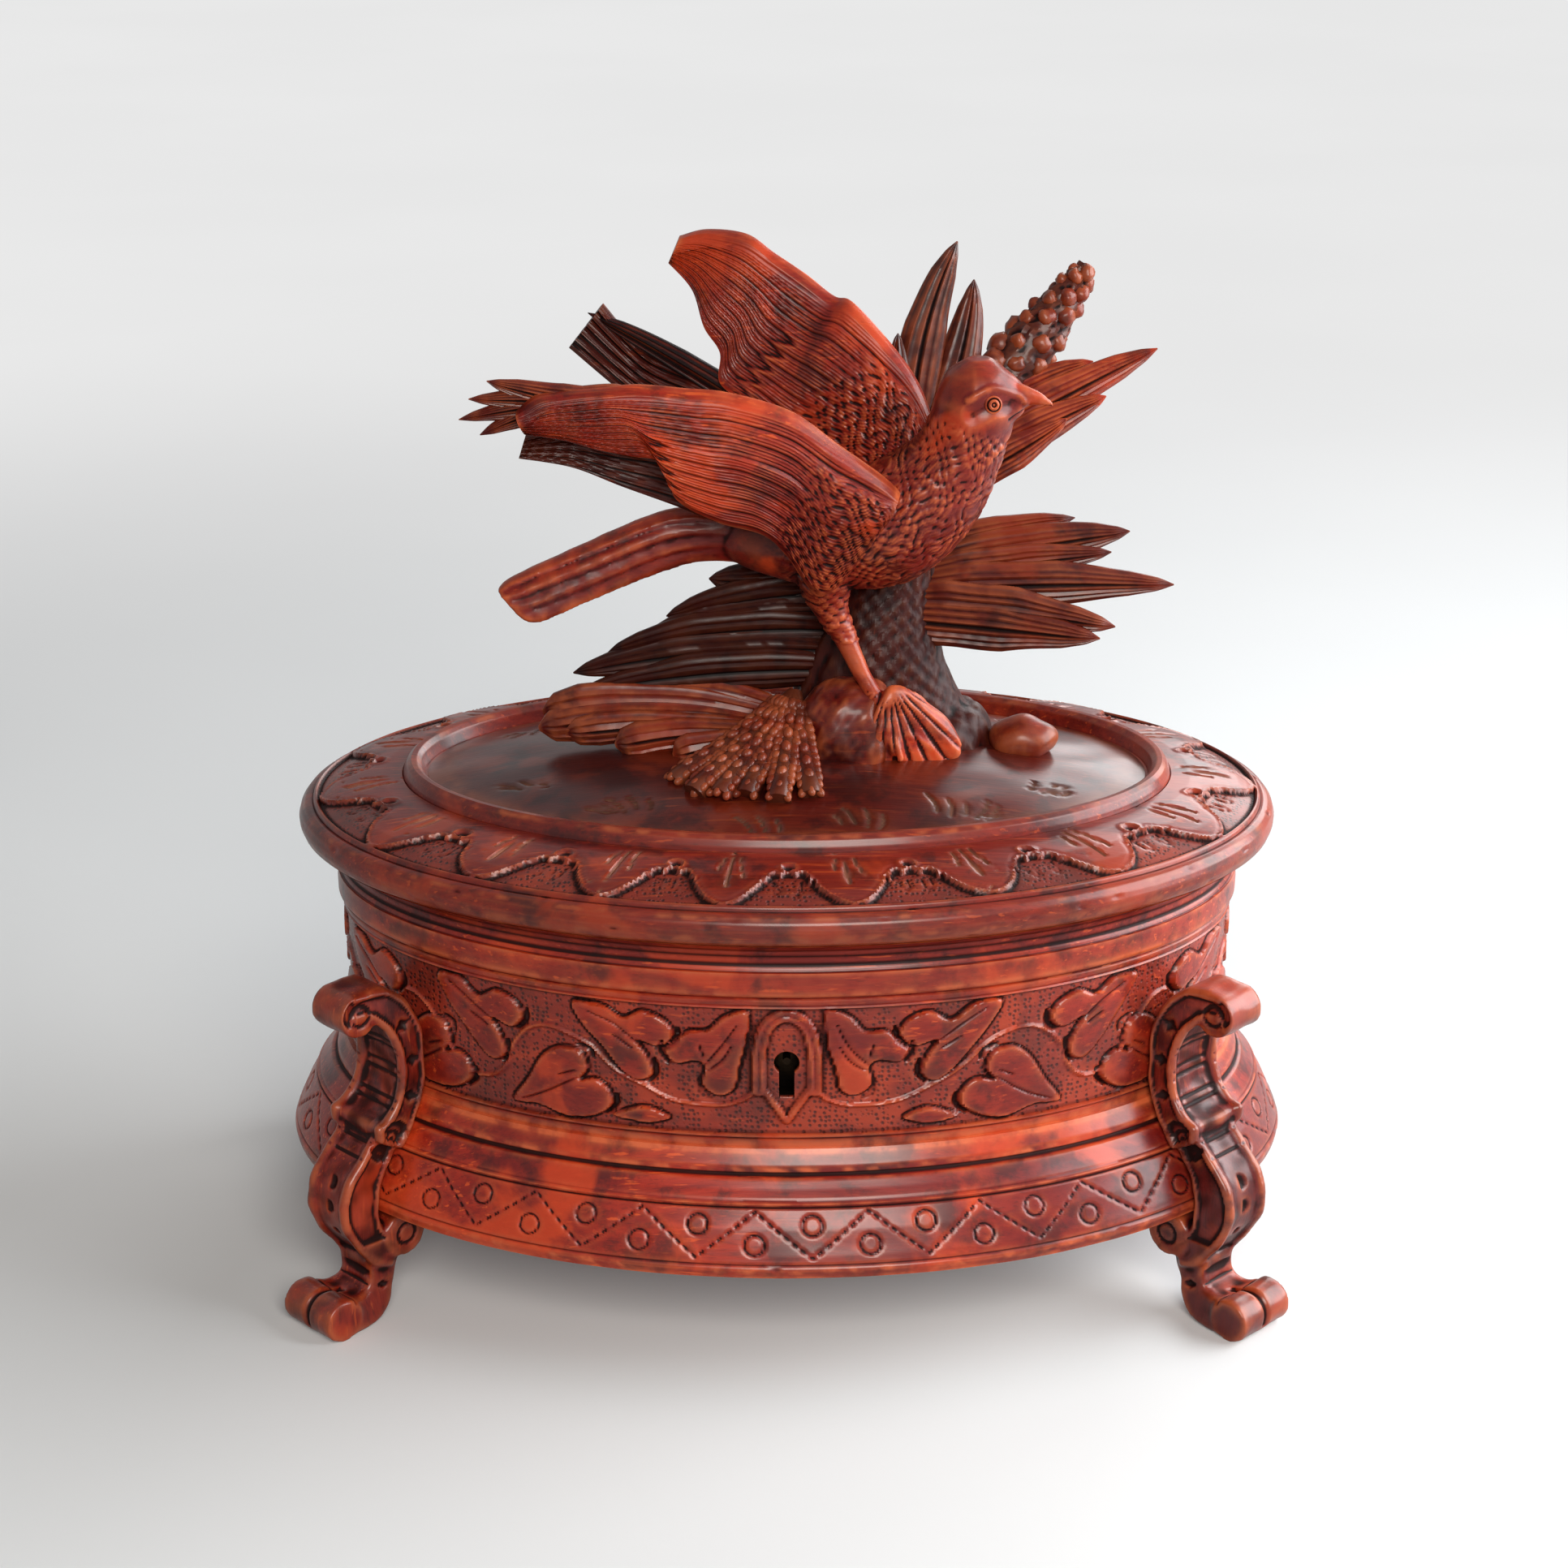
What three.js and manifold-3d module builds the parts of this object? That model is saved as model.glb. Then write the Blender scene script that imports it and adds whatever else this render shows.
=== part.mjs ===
// Oval carved walnut jewellery box on four scroll legs, with a bird and foliage carved on its lid.
// Millimetres. X runs along the box, -Y is the front with the keyhole, +Z is up.
// The origin is on the table under the middle of the oval.

import * as THREE from "three";
import { mergeVertices } from "three/addons/utils/BufferGeometryUtils.js";
import Module from "manifold-3d";

const wasm = await Module();
wasm.setup();

// Oval wall of the box
const box_length = 221;
const box_width = 146;
const wall_thickness = 10;
const wall_top = 93;
const wall_bottom = 55.3;
const rim_chamfer = 0.6;

// Flared base moulding and the floor board let into it
const base_bottom = 28;
const base_spread = 14.8;
const board_thickness = 6.5;
const board_top = 36;
const board_ledge = 3.8;

// Lid: a framed skirt with a hollow moulding, and the carved top plate above it
const lid_gap = 0.4;
const frame_height = 15.6;
const frame_spread = 7.6;
const top_spread = 9.5;
const edge_height = 9.2;
const ring_height = 17.2;
const ring_inset = 16;
const ring_width = 5.4;
const mound_inset = 22.4;
const border_height = 13.6;
const mound_crown = 22;

// Linings
const pad_thickness = 6;
const pad_crown = 1.4;
const lining_thickness = 1.2;
const lining_drop = 2;
const lid_pad_depth = 11.4;

// Scroll legs
const leg_turn_degrees = 45;
const leg_reach = 33.5;
const leg_height = 86.4;
const leg_width = 19.7;
const volute_radius = 5.5;
const inner_scroll_radius = 6.3;
const foot_radius = 5.5;
const foot_width = 18;
const foot_flat = 0.4;
const leg_screw_radius = 1.6;
const leg_screw_head = 3.1;
const leg_screw_grip = 6;
const leg_screw_height = 67;

// Hinges
const hinge_place = 22;
const hinge_width = 16;
const leaf_thickness = 1.2;
const leaf_depth = 8.6;
const knuckle_radius = 2.2;
const hinge_pin_radius = 1;
const pin_slack = 0.12;
const hinge_setback = 0.9;
const small_screw_radius = 0.9;
const small_screw_head = 1.8;
const small_screw_length = 8;

// Lock let into the front of the rim
const lock_half_length = 20;
const lock_below_keyhole = 13.3;
const lock_front_inset = 3.2;
const lock_depth = 5.5;
const lock_plate = 1.2;
const lock_wall = 1;
const selvedge_half_length = 28;
const keyhole_below_rim = 16.7;
const keyhole_radius = 3;
const keyhole_slot_half = 1.8;
const keyhole_drop = 8.6;
const key_post_radius = 0.9;
const bolt_thickness = 1;
const bolt_height = 4.6;
const bolt_rise = 2;
const bolt_half_length = 13;
const nib_height = 2.2;
const nib_length = 4;
const nib_arm = 2;
const nib_gap = 0.75;
const bolt_travel = 4;
const staple_thickness = 1.5;
const staple_width = 3.4;
const staple_clearance = 0.7;
const staple_rim = 1;
const spring_thickness = 0.5;
const spring_height = 3.5;
const link_half_length = 18;

// Carved group on the lid
const group_reach = 95;
const group_rise = 120;
const group_screw_radius = 2.1;
const group_screw_head = 4;
const group_screw_length = 38;
const group_screw_spacing = 20;

// Carving of the wall and the lid's border, in its main forms
const carving_depth = 1;
const ivy_pairs = 7;
const band_rim = 2.6;
const lobe_count = 18;

// Clearances and counts
const fit_gap = 0.3;
const cut_overrun = 1;
const oval_steps = 40;
const round_steps = 14;
const screw_steps = 8;

const half_length = box_length / 2;
const half_width = box_width / 2;
const frame_bottom = wall_top + lid_gap;
const top_bottom = frame_bottom + frame_height;
const crown_height = top_bottom + mound_crown;
const keyhole_y = -half_width;
const keyhole_height = wall_top - keyhole_below_rim;

// Solid helpers

function solid_of(geometry) {
  geometry.deleteAttribute("normal");
  geometry.deleteAttribute("uv");
  const merged = mergeVertices(geometry, fit_gap / 3000);
  return new wasm.Manifold(new wasm.Mesh({
    numProp: 3,
    vertProperties: new Float32Array(merged.attributes.position.array),
    triVerts: new Uint32Array(merged.index.array),
  }));
}

function geometry_of(solid) {
  const result = solid.getMesh();
  const positions = new Float32Array((result.vertProperties.length / result.numProp) * 3);
  for (let i = 0; i < positions.length / 3; i += 1) {
    for (let k = 0; k < 3; k += 1) positions[3 * i + k] = result.vertProperties[result.numProp * i + k];
  }
  const geometry = new THREE.BufferGeometry();
  geometry.setAttribute("position", new THREE.BufferAttribute(positions, 3));
  geometry.setIndex(new THREE.BufferAttribute(new Uint32Array(result.triVerts), 1));
  return geometry;
}

// A skin through rings of points. A plain loft has both ends closed, a looped one meets itself.
function loft(rings, looped = false) {
  const count = rings[0].length;
  const points = rings.flat();
  const faces = [];
  const last = looped ? rings.length : rings.length - 1;
  for (let i = 0; i < last; i += 1) {
    const a = i * count;
    const b = ((i + 1) % rings.length) * count;
    for (let k = 0; k < count; k += 1) {
      const next = (k + 1) % count;
      faces.push(a + k, a + next, b + next, a + k, b + next, b + k);
    }
  }
  if (!looped) {
    for (const [start, flip] of [[0, true], [(rings.length - 1) * count, false]]) {
      const middle = new THREE.Vector3();
      for (let k = 0; k < count; k += 1) middle.addScaledVector(points[start + k], 1 / count);
      points.push(middle);
      for (let k = 0; k < count; k += 1) {
        const next = start + ((k + 1) % count);
        const pair = flip ? [next, start + k] : [start + k, next];
        faces.push(pair[0], pair[1], points.length - 1);
      }
    }
  }
  let volume = 0;
  for (let i = 0; i < faces.length; i += 3) {
    const [a, b, c] = [points[faces[i]], points[faces[i + 1]], points[faces[i + 2]]];
    volume += a.dot(b.clone().cross(c));
  }
  if (volume < 0) faces.reverse();
  return new wasm.Manifold(new wasm.Mesh({
    numProp: 3,
    vertProperties: new Float32Array(points.flatMap((p) => [p.x, p.y, p.z])),
    triVerts: new Uint32Array(faces),
  }));
}

// A level oval that stands off the wall of the box by the spread
function oval(spread, height, share = 1) {
  const ring = [];
  for (let k = 0; k < oval_steps; k += 1) {
    const angle = (2 * Math.PI * k) / oval_steps;
    const x = (half_length + spread) * share * Math.cos(angle);
    const y = (half_width + spread) * share * Math.sin(angle);
    ring.push(new THREE.Vector3(x, y, height));
  }
  return ring;
}

// Distances along the wall from the middle of its front, and the angle round the oval at each
const run_steps = 720;
const wall_run = [0];
for (let i = 1; i <= run_steps; i += 1) {
  const angle = (2 * Math.PI * (i - 0.5)) / run_steps - Math.PI / 2;
  const step = (2 * Math.PI) / run_steps;
  wall_run.push(wall_run[i - 1] + step * Math.hypot(half_length * Math.sin(angle), half_width * Math.cos(angle)));
}
const girth = wall_run[run_steps];

function wall_point(place, spread, height) {
  const run = ((place % girth) + girth) % girth;
  const i = wall_run.findIndex((value) => value > run);
  const part = (run - wall_run[i - 1]) / (wall_run[i] - wall_run[i - 1]);
  const angle = (2 * Math.PI * (i - 1 + part)) / run_steps - Math.PI / 2;
  return new THREE.Vector3((half_length + spread) * Math.cos(angle), (half_width + spread) * Math.sin(angle), height);
}

// A raised form on a curved face: its outline at the sunk ground and at the face, then half way to its middle
function raised_form(outline, point_at) {
  const middle = [0, 1].map((k) => outline.reduce((sum, place) => sum + place[k], 0) / outline.length);
  const inner = outline.map(([u, v]) => [(u + middle[0]) / 2, (v + middle[1]) / 2]);
  return loft([
    outline.map(([u, v]) => point_at(u, v, carving_depth + fit_gap)),
    outline.map(([u, v]) => point_at(u, v, 0)),
    inner.map(([u, v]) => point_at(u, v, 0)),
  ]);
}

function block(low, high) {
  const size = high.map((value, k) => value - low[k]);
  const middle = high.map((value, k) => (value + low[k]) / 2);
  return solid_of(new THREE.BoxGeometry(...size).translate(...middle));
}

// A round bar from one point to another
function bar(from, to, radius, steps = round_steps) {
  const start = new THREE.Vector3(...from);
  const along = new THREE.Vector3(...to).sub(start);
  const geometry = new THREE.CylinderGeometry(radius, radius, along.length(), steps);
  const turn = new THREE.Quaternion().setFromUnitVectors(new THREE.Vector3(0, 1, 0), along.clone().normalize());
  geometry.applyQuaternion(turn);
  geometry.translate(...start.addScaledVector(along, 1 / 2).toArray());
  return solid_of(geometry);
}

// A countersunk wood screw: its head's face is at the start and its point is towards the aim
function screw(start, aim, radius, head, length, grow = 0) {
  const along = new THREE.Vector3(...aim).normalize();
  const profile = [
    new THREE.Vector2(0, -grow),
    new THREE.Vector2(head + grow, -grow),
    new THREE.Vector2(head + grow, head * 0.15),
    new THREE.Vector2(radius + grow, head * 0.75),
    new THREE.Vector2(radius + grow, length - radius * 2 + grow),
    new THREE.Vector2(0, length + grow),
  ];
  const geometry = new THREE.LatheGeometry(profile, screw_steps);
  geometry.applyQuaternion(new THREE.Quaternion().setFromUnitVectors(new THREE.Vector3(0, 1, 0), along));
  geometry.translate(...start);
  return solid_of(geometry);
}

function join(solids) {
  return solids.reduce((sum, next) => sum.add(next));
}

function cut(solid, cutters) {
  return cutters.reduce((sum, next) => sum.subtract(next), solid);
}

const group = new THREE.Group();
const sides = ["left", "right"];

function piece(name, solid, material, place) {
  const mesh = new THREE.Mesh(geometry_of(solid), material);
  mesh.name = name;
  if (place) {
    mesh.position.copy(place.position);
    mesh.rotation.z = place.turn;
  }
  group.add(mesh);
  return mesh;
}

const walnut = () => new THREE.MeshStandardMaterial({ color: 0x6b2a20, roughness: 0.38, metalness: 0 });
const brass = () => new THREE.MeshStandardMaterial({ color: 0xb08d4a, roughness: 0.35, metalness: 1 });
const velvet = () => new THREE.MeshStandardMaterial({ color: 0x5a1622, roughness: 0.9, metalness: 0 });

// Hinge line at the back of the rim
const hinge_axis_y = half_width + hinge_setback;
const hinge_axis_z = wall_top + lid_gap / 2;

function hinge_cutters() {
  return [-1, 1].flatMap((side) => {
    const x0 = side * hinge_place - hinge_width / 2 - fit_gap;
    const x1 = side * hinge_place + hinge_width / 2 + fit_gap;
    const reach = knuckle_radius + fit_gap;
    const far = hinge_axis_y + frame_spread;
    const barrel = block([x0, hinge_axis_y - reach, hinge_axis_z - reach], [x1, far, hinge_axis_z + reach]);
    const leaves_low = wall_top - leaf_thickness;
    const leaves_high = frame_bottom + leaf_thickness;
    const inner = hinge_axis_y - leaf_depth - fit_gap;
    return [barrel, block([x0, inner, leaves_low], [x1, far, leaves_high])];
  });
}

function hinge_screw_spots() {
  const y = hinge_axis_y - leaf_depth * 0.6;
  return [-1, 1].flatMap((side) => [-1, 1].map((end) => [side * hinge_place + end * hinge_width * 0.3, y]));
}

// Lock places, measured back from the front of the wall
const lock_front = -half_width + lock_front_inset;
const lock_back = lock_front + lock_depth;
const lock_bottom = keyhole_height - lock_below_keyhole;
const bolt_y = lock_front + lock_depth / 2 + lock_wall / 2;
const bolt_bottom = keyhole_height + bolt_rise;
const bolt_top = bolt_bottom + bolt_height;
const staple_bottom = bolt_top + staple_clearance;
const nib_top = staple_bottom + staple_rim + nib_height + fit_gap;
const selvedge_screw_x = (selvedge_half_length + lock_half_length) / 2 + fit_gap;
const link_screw_x = link_half_length * 0.7;

function keyhole(front, back, grow) {
  const round = bar([0, front, keyhole_height], [0, back, keyhole_height], keyhole_radius + grow);
  const slot_half = keyhole_slot_half + grow;
  const slot = block([-slot_half, front, keyhole_height - keyhole_drop - grow], [slot_half, back, keyhole_height]);
  return round.add(slot);
}

function selvedge_screws(grow) {
  return [-1, 1].map((side) => screw([side * selvedge_screw_x, (lock_front + lock_back) / 2, wall_top], [0, 0, -1],
    small_screw_radius, small_screw_head, small_screw_length, grow));
}

function link_screws(grow) {
  return [-1, 1].map((side) => screw([side * link_screw_x, (lock_front + lock_back) / 2, frame_bottom], [0, 0, 1],
    small_screw_radius, small_screw_head, small_screw_length, grow));
}

function leaf_screws(up, grow) {
  const start = up ? frame_bottom : wall_top;
  return hinge_screw_spots().map(([x, y]) => screw([x, y, start], [0, 0, up ? 1 : -1],
    small_screw_radius, small_screw_head, small_screw_length, grow));
}

// Legs stand where the wall's outward normal points to each corner
const leg_turn = THREE.MathUtils.degToRad(leg_turn_degrees);

function leg_place(side_x, side_y) {
  const nx = side_x * Math.sin(leg_turn);
  const ny = side_y * Math.cos(leg_turn);
  const scale = Math.hypot(half_length * nx, half_width * ny);
  const position = new THREE.Vector3((half_length ** 2 * nx) / scale, (half_width ** 2 * ny) / scale, 0);
  return { position, turn: Math.atan2(ny, nx) };
}

const corners = [
  ["front_left", leg_place(-1, -1)],
  ["front_right", leg_place(1, -1)],
  ["rear_left", leg_place(-1, 1)],
  ["rear_right", leg_place(1, 1)],
];

// A leg's screw in the leg's own frame: x is outwards from the wall's face
function leg_screw(grow) {
  const seat = -wall_thickness + fit_gap;
  return screw([seat, 0, leg_screw_height], [1, 0, 0], leg_screw_radius, leg_screw_head,
    wall_thickness + leg_screw_grip, grow);
}

function at_leg(solid, place) {
  const degrees = THREE.MathUtils.radToDeg(place.turn);
  return solid.rotate([0, 0, degrees]).translate(place.position.toArray());
}

// Outline of the base moulding: shares of its spread and of its height, from its top edge down
const base_height = wall_bottom - base_bottom;
const base_outline_shares = [
  [0.06, 1], [0.2, 0.86], [0.22, 0.81], [0.31, 0.79], [0.42, 0.71], [0.58, 0.61], [0.6, 0.57], [0.75, 0.42],
  [0.92, 0.22], [1, 0.1], [0.97, 0.03], [0.88, 0],
];

function box_outside(height) {
  const share = (height - base_bottom) / base_height;
  if (share > 1 || share < 0) return 0;
  for (let i = 1; i < base_outline_shares.length; i += 1) {
    const [above, below] = [base_outline_shares[i - 1], base_outline_shares[i]];
    if (share <= above[1] && share >= below[1]) {
      const mix = above[1] === below[1] ? 0 : (above[1] - share) / (above[1] - below[1]);
      return base_spread * (above[0] + (below[0] - above[0]) * mix);
    }
  }
  return 0;
}

// Box

const leg_screw_holes = corners.map(([, place]) => at_leg(leg_screw(fit_gap), place));

// Carved band of ivy. Outlines are shares of the leaves' pitch along the wall and of the band's height.
const band_bottom = wall_bottom + band_rim;
const band_top = wall_top - band_rim;
const keyhole_leaf_shares = [
  [0.24, 0.98], [0.5, 0.83], [0.63, 0.8], [0.75, 0.67], [0.7, 0.55], [0.55, 0.55], [0.54, 0.39], [0.43, 0.31],
  [0.33, 0.36], [0.28, 0.59],
];
const high_leaf_shares = [
  [1.36, 0.94], [1.18, 0.95], [1.03, 0.87], [0.9, 0.93], [0.76, 0.87], [0.72, 0.76], [0.8, 0.67], [0.91, 0.67],
  [0.85, 0.47], [0.92, 0.39], [1.01, 0.42], [1.15, 0.6], [1.3, 0.79],
];
const heart_leaf_shares = [
  [1.79, 0.09], [1.61, 0.09], [1.42, 0.04], [1.23, 0.07], [1.11, 0.17], [1.13, 0.3], [1.22, 0.36], [1.33, 0.34],
  [1.27, 0.45], [1.32, 0.56], [1.45, 0.59], [1.57, 0.48], [1.68, 0.29],
];
const keyhole_frame_shares = [
  [0.2, 0.36], [0.2, 0.65], [0.15, 0.85], [0, 0.97], [-0.15, 0.85], [-0.2, 0.65], [-0.2, 0.36], [0, 0.11],
];
const pitches_to_back = 7.81;

function ivy() {
  const pitch = girth / 2 / pitches_to_back;
  const tall = band_top - band_bottom;
  const on_wall = (u, v, sink) => wall_point(u * pitch, -sink, band_bottom + v * tall);
  const forms = [raised_form(keyhole_frame_shares, on_wall)];
  for (const side of [-1, 1]) {
    const add = (shares, shift) => forms.push(raised_form(shares.map(([u, v]) => [side * (u + shift), v]), on_wall));
    add(keyhole_leaf_shares, 0);
    for (let k = 0; k < ivy_pairs; k += 1) {
      add(high_leaf_shares, k);
      add(heart_leaf_shares, k);
    }
  }
  return join(forms);
}

function box_wall() {
  const shell = loft([
    oval(0, wall_bottom),
    oval(0, band_bottom),
    oval(-carving_depth, band_bottom + carving_depth / 2),
    oval(-carving_depth, band_top - carving_depth / 2),
    oval(0, band_top),
    oval(0, wall_top - rim_chamfer),
    oval(-rim_chamfer, wall_top),
    oval(-wall_thickness, wall_top),
    oval(-wall_thickness, wall_bottom),
  ], true);
  const inside = lock_back + wall_thickness;
  const half = lock_half_length + fit_gap;
  const pocket = block([-half, lock_front - fit_gap, lock_bottom - fit_gap], [half, inside, wall_top + cut_overrun]);
  const ear = selvedge_half_length + fit_gap;
  const rebate_back = lock_back + lock_plate + fit_gap;
  const rebate = block([-ear, lock_front - fit_gap, wall_top - lock_plate], [ear, rebate_back, wall_top + cut_overrun]);
  const hole = keyhole(keyhole_y - cut_overrun, lock_front + cut_overrun, 0);
  return cut(shell.add(ivy()), [pocket, rebate, hole, ...hinge_cutters(), ...leg_screw_holes,
    ...selvedge_screws(fit_gap), ...leaf_screws(false, fit_gap)]);
}

function base_moulding() {
  const outside = base_outline_shares.map(([out, up]) => oval(base_spread * out, base_bottom + base_height * up));
  return loft([
    ...outside,
    oval(-wall_thickness + board_ledge, base_bottom),
    oval(-wall_thickness + board_ledge, board_top),
    oval(-wall_thickness, board_top),
    oval(-wall_thickness, wall_bottom),
  ], true);
}

function bottom_board() {
  const inset = -wall_thickness + board_ledge - fit_gap;
  return loft([oval(inset, board_top), oval(inset, board_top - board_thickness)]);
}

function wall_lining() {
  const outer = -wall_thickness - fit_gap;
  const inner = outer - lining_thickness;
  const low = board_top + fit_gap;
  const high = wall_top - lining_drop;
  const ring = loft([oval(outer, low), oval(outer, high), oval(inner, high), oval(inner, low)], true);
  const half = lock_half_length + 3 * fit_gap;
  const front = -half_width;
  const window = block([-half, front, lock_bottom - 2 * fit_gap], [half, front / 2, wall_top]);
  return ring.subtract(window);
}

function floor_pad() {
  const edge = -wall_thickness - lining_thickness - 3 * fit_gap;
  const low = board_top + fit_gap;
  return loft([
    oval(edge - pad_crown, low),
    oval(edge, low + pad_thickness * 0.35),
    oval(edge - pad_crown * 0.6, low + pad_thickness * 0.8),
    oval(edge - pad_crown * 3, low + pad_thickness),
    oval(edge, low + pad_thickness + pad_crown * 0.7, 0.7),
    oval(edge, low + pad_thickness + pad_crown, 0.35),
  ]);
}

piece("box_wall", box_wall(), walnut());
piece("base_moulding", base_moulding(), walnut());
piece("bottom_board", bottom_board(), walnut());
piece("wall_lining", wall_lining(), velvet());
piece("floor_pad", floor_pad(), velvet());

// Legs. Each row is a slice of the leg: how far out and how high its back and front edges are,
// as shares of the leg's reach and height, then its width as a share of the leg's width.
const leg_upper_shares = [
  [0.52, 0.995, 0.54, 0.925, 0.61],
  [0.375, 1, 0.435, 0.915, 0.66],
  [0.24, 0.987, 0.36, 0.89, 0.74],
  [0.095, 0.93, 0.3, 0.86, 0.81],
  [0, 0.85, 0.257, 0.81, 0.89],
  [0, 0.775, 0.24, 0.765, 0.92],
  [0, 0.7, 0.25, 0.707, 0.94],
  [0.06, 0.635, 0.31, 0.655, 0.965],
  [0.12, 0.59, 0.4, 0.618, 0.99],
  [0.205, 0.542, 0.485, 0.606, 1],
  [0.25, 0.515, 0.475, 0.562, 0.99],
];
const leg_lower_shares = [
  [0.225, 0.538, 0.44, 0.574, 0.76],
  [0.29, 0.487, 0.6, 0.507, 0.76],
  [0.37, 0.445, 0.72, 0.452, 0.76],
  [0.42, 0.389, 0.776, 0.382, 0.76],
  [0.428, 0.33, 0.752, 0.312, 0.76],
  [0.406, 0.285, 0.645, 0.24, 0.76],
  [0.343, 0.254, 0.495, 0.172, 0.76],
  [0.263, 0.243, 0.346, 0.15, 0.76],
];
const leg_neck_shares = [
  [0.224, 0.19, 0.546, 0.19, 0.63],
  [0.3, 0.116, 0.534, 0.145, 0.63],
  [0.33, 0.054, 0.56, 0.113, 0.65],
  [0.433, 0.01, 0.666, 0.1, 0.73],
  [0.59, 0, 0.77, 0.11, 0.85],
  [0.806, 0, 0.836, 0.093, 0.9],
];

function leg_strip(rows) {
  return loft(rows.map(([back, back_up, front, front_up, width]) => {
    const back_height = back_up * leg_height;
    const back_out = Math.max(back * leg_reach, box_outside(back_height)) + fit_gap;
    const half = (width * leg_width) / 2;
    const front_out = front * leg_reach;
    const front_height = front_up * leg_height;
    return [
      new THREE.Vector3(back_out, -half, back_height),
      new THREE.Vector3(front_out, -half, front_height),
      new THREE.Vector3(front_out, half, front_height),
      new THREE.Vector3(back_out, half, back_height),
    ];
  }));
}

const volute_width_share = 0.6;
const volute_out_share = 0.507;
const scroll_out_share = 0.239;
const scroll_width_share = 0.83;

function roll(out, height, radius, width) {
  return bar([out, -width / 2, height], [out, width / 2, height], radius);
}

function leg() {
  const scroll_height = base_bottom - fit_gap - inner_scroll_radius;
  const scroll_out = Math.max(scroll_out_share * leg_reach, inner_scroll_radius / 2);
  const volute = roll(volute_out_share * leg_reach, leg_height - volute_radius, volute_radius,
    volute_width_share * leg_width);
  const scroll = roll(scroll_out, scroll_height, inner_scroll_radius, scroll_width_share * leg_width);
  const foot = roll(leg_reach - foot_radius, foot_radius - foot_flat, foot_radius, foot_width);
  const whole = join([leg_strip(leg_upper_shares), leg_strip(leg_lower_shares), leg_strip(leg_neck_shares),
    volute, scroll, foot]);
  const ground = block([-leg_reach, -leg_reach, -leg_reach], [2 * leg_reach, leg_reach, 0]);
  return cut(whole, [ground, leg_screw(fit_gap)]);
}

for (const [name, place] of corners) {
  piece(`leg_${name}`, leg(), walnut(), place);
  piece(`leg_screw_${name}`, leg_screw(0), brass(), place);
}

// Lid frame: a flat skirt with a hollow above it that carries the overhanging top.
// Shares of the frame's spread and height, from the bottom edge up.
const frame_outline_shares = [
  [0.04, 0], [0.12, 0.05], [0.12, 0.4], [0.02, 0.43], [-0.08, 0.5], [-0.05, 0.64], [0.16, 0.8], [0.52, 0.92], [1, 1],
];

function lid_frame() {
  const outside = frame_outline_shares.map(([out, up]) => oval(frame_spread * out, frame_bottom + frame_height * up));
  const ring = loft([...outside, oval(-wall_thickness, top_bottom), oval(-wall_thickness, frame_bottom)], true);
  const half = link_half_length + fit_gap;
  const link_seat = block([-half, lock_front - fit_gap, frame_bottom - cut_overrun],
    [half, lock_back + fit_gap, frame_bottom + lock_plate]);
  return cut(ring, [link_seat, ...hinge_cutters(), ...link_screws(fit_gap), ...leaf_screws(true, fit_gap)]);
}

// Carved top: overhanging bead, sloping border, half-round ring and the mound inside it
const edge_outline_shares = [
  [0.78, 0], [0.95, 0.14], [1, 0.45], [0.92, 0.78], [0.65, 0.9], [0.56, 1],
];
const ring_outline_shares = [
  [0, 0], [0.1, 0.66], [0.45, 1], [0.75, 0.85], [1, 0.1],
];
const mound_steps_share = [1, 0.85, 0.6, 0.3];

// Carved border: a raised band along the ring, and lobes that reach out from it over the sunk ground.
// The slope's shares run from the ring outwards, and its drop is a share of the height between ring and bead.
const slope_shares = [[0, 0], [0.23, 0.07], [0.51, 0.25], [0.77, 0.55], [1, 1]];
const band_edge_share = 0.43;
const band_reach_share = 0.44;
const bead_side_share = 0.99;
const lobe_shares = [
  [-0.27, 0.38], [-0.27, 0.52], [-0.21, 0.71], [-0.15, 0.84], [-0.07, 0.94], [0, 0.98], [0.07, 0.94], [0.15, 0.84],
  [0.21, 0.71], [0.27, 0.52], [0.27, 0.38],
];
const front_lobe_shares = [-0.1758, -0.1235, -0.0713, -0.0239, 0.0247, 0.0784, 0.1333, 0.1894];
const slope_reach = top_spread * edge_outline_shares[5][0] + ring_inset;

function slope_point(place, out, sink) {
  const i = Math.max(slope_shares.findIndex(([reach]) => reach >= out), 1);
  const [before, after] = [slope_shares[i - 1], slope_shares[i]];
  const part = (out - before[0]) / (after[0] - before[0]);
  const drop = before[1] + (after[1] - before[1]) * part;
  const height = top_bottom + border_height - (border_height - edge_height) * drop - sink;
  return wall_point(place, out * slope_reach - ring_inset, height);
}

function lobe_places() {
  const last = front_lobe_shares.length - 1;
  const span = 1 + front_lobe_shares[0] - front_lobe_shares[last];
  const more = Array.from({ length: lobe_count - last - 1 }, (_, k) => (
    front_lobe_shares[last] + (span * (k + 1)) / (lobe_count - last)));
  return [...front_lobe_shares, ...more].map((share) => share * girth);
}

function lobes() {
  const places = lobe_places();
  return places.map((place, k) => {
    const before = (place - places[(k + places.length - 1) % places.length] + girth) % girth;
    const after = (places[(k + 1) % places.length] - place + girth) % girth;
    const outline = lobe_shares.map(([u, v]) => [u * (u < 0 ? before : after), v]);
    return raised_form(outline, (u, v, sink) => slope_point(place + u, v, sink));
  });
}

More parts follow.
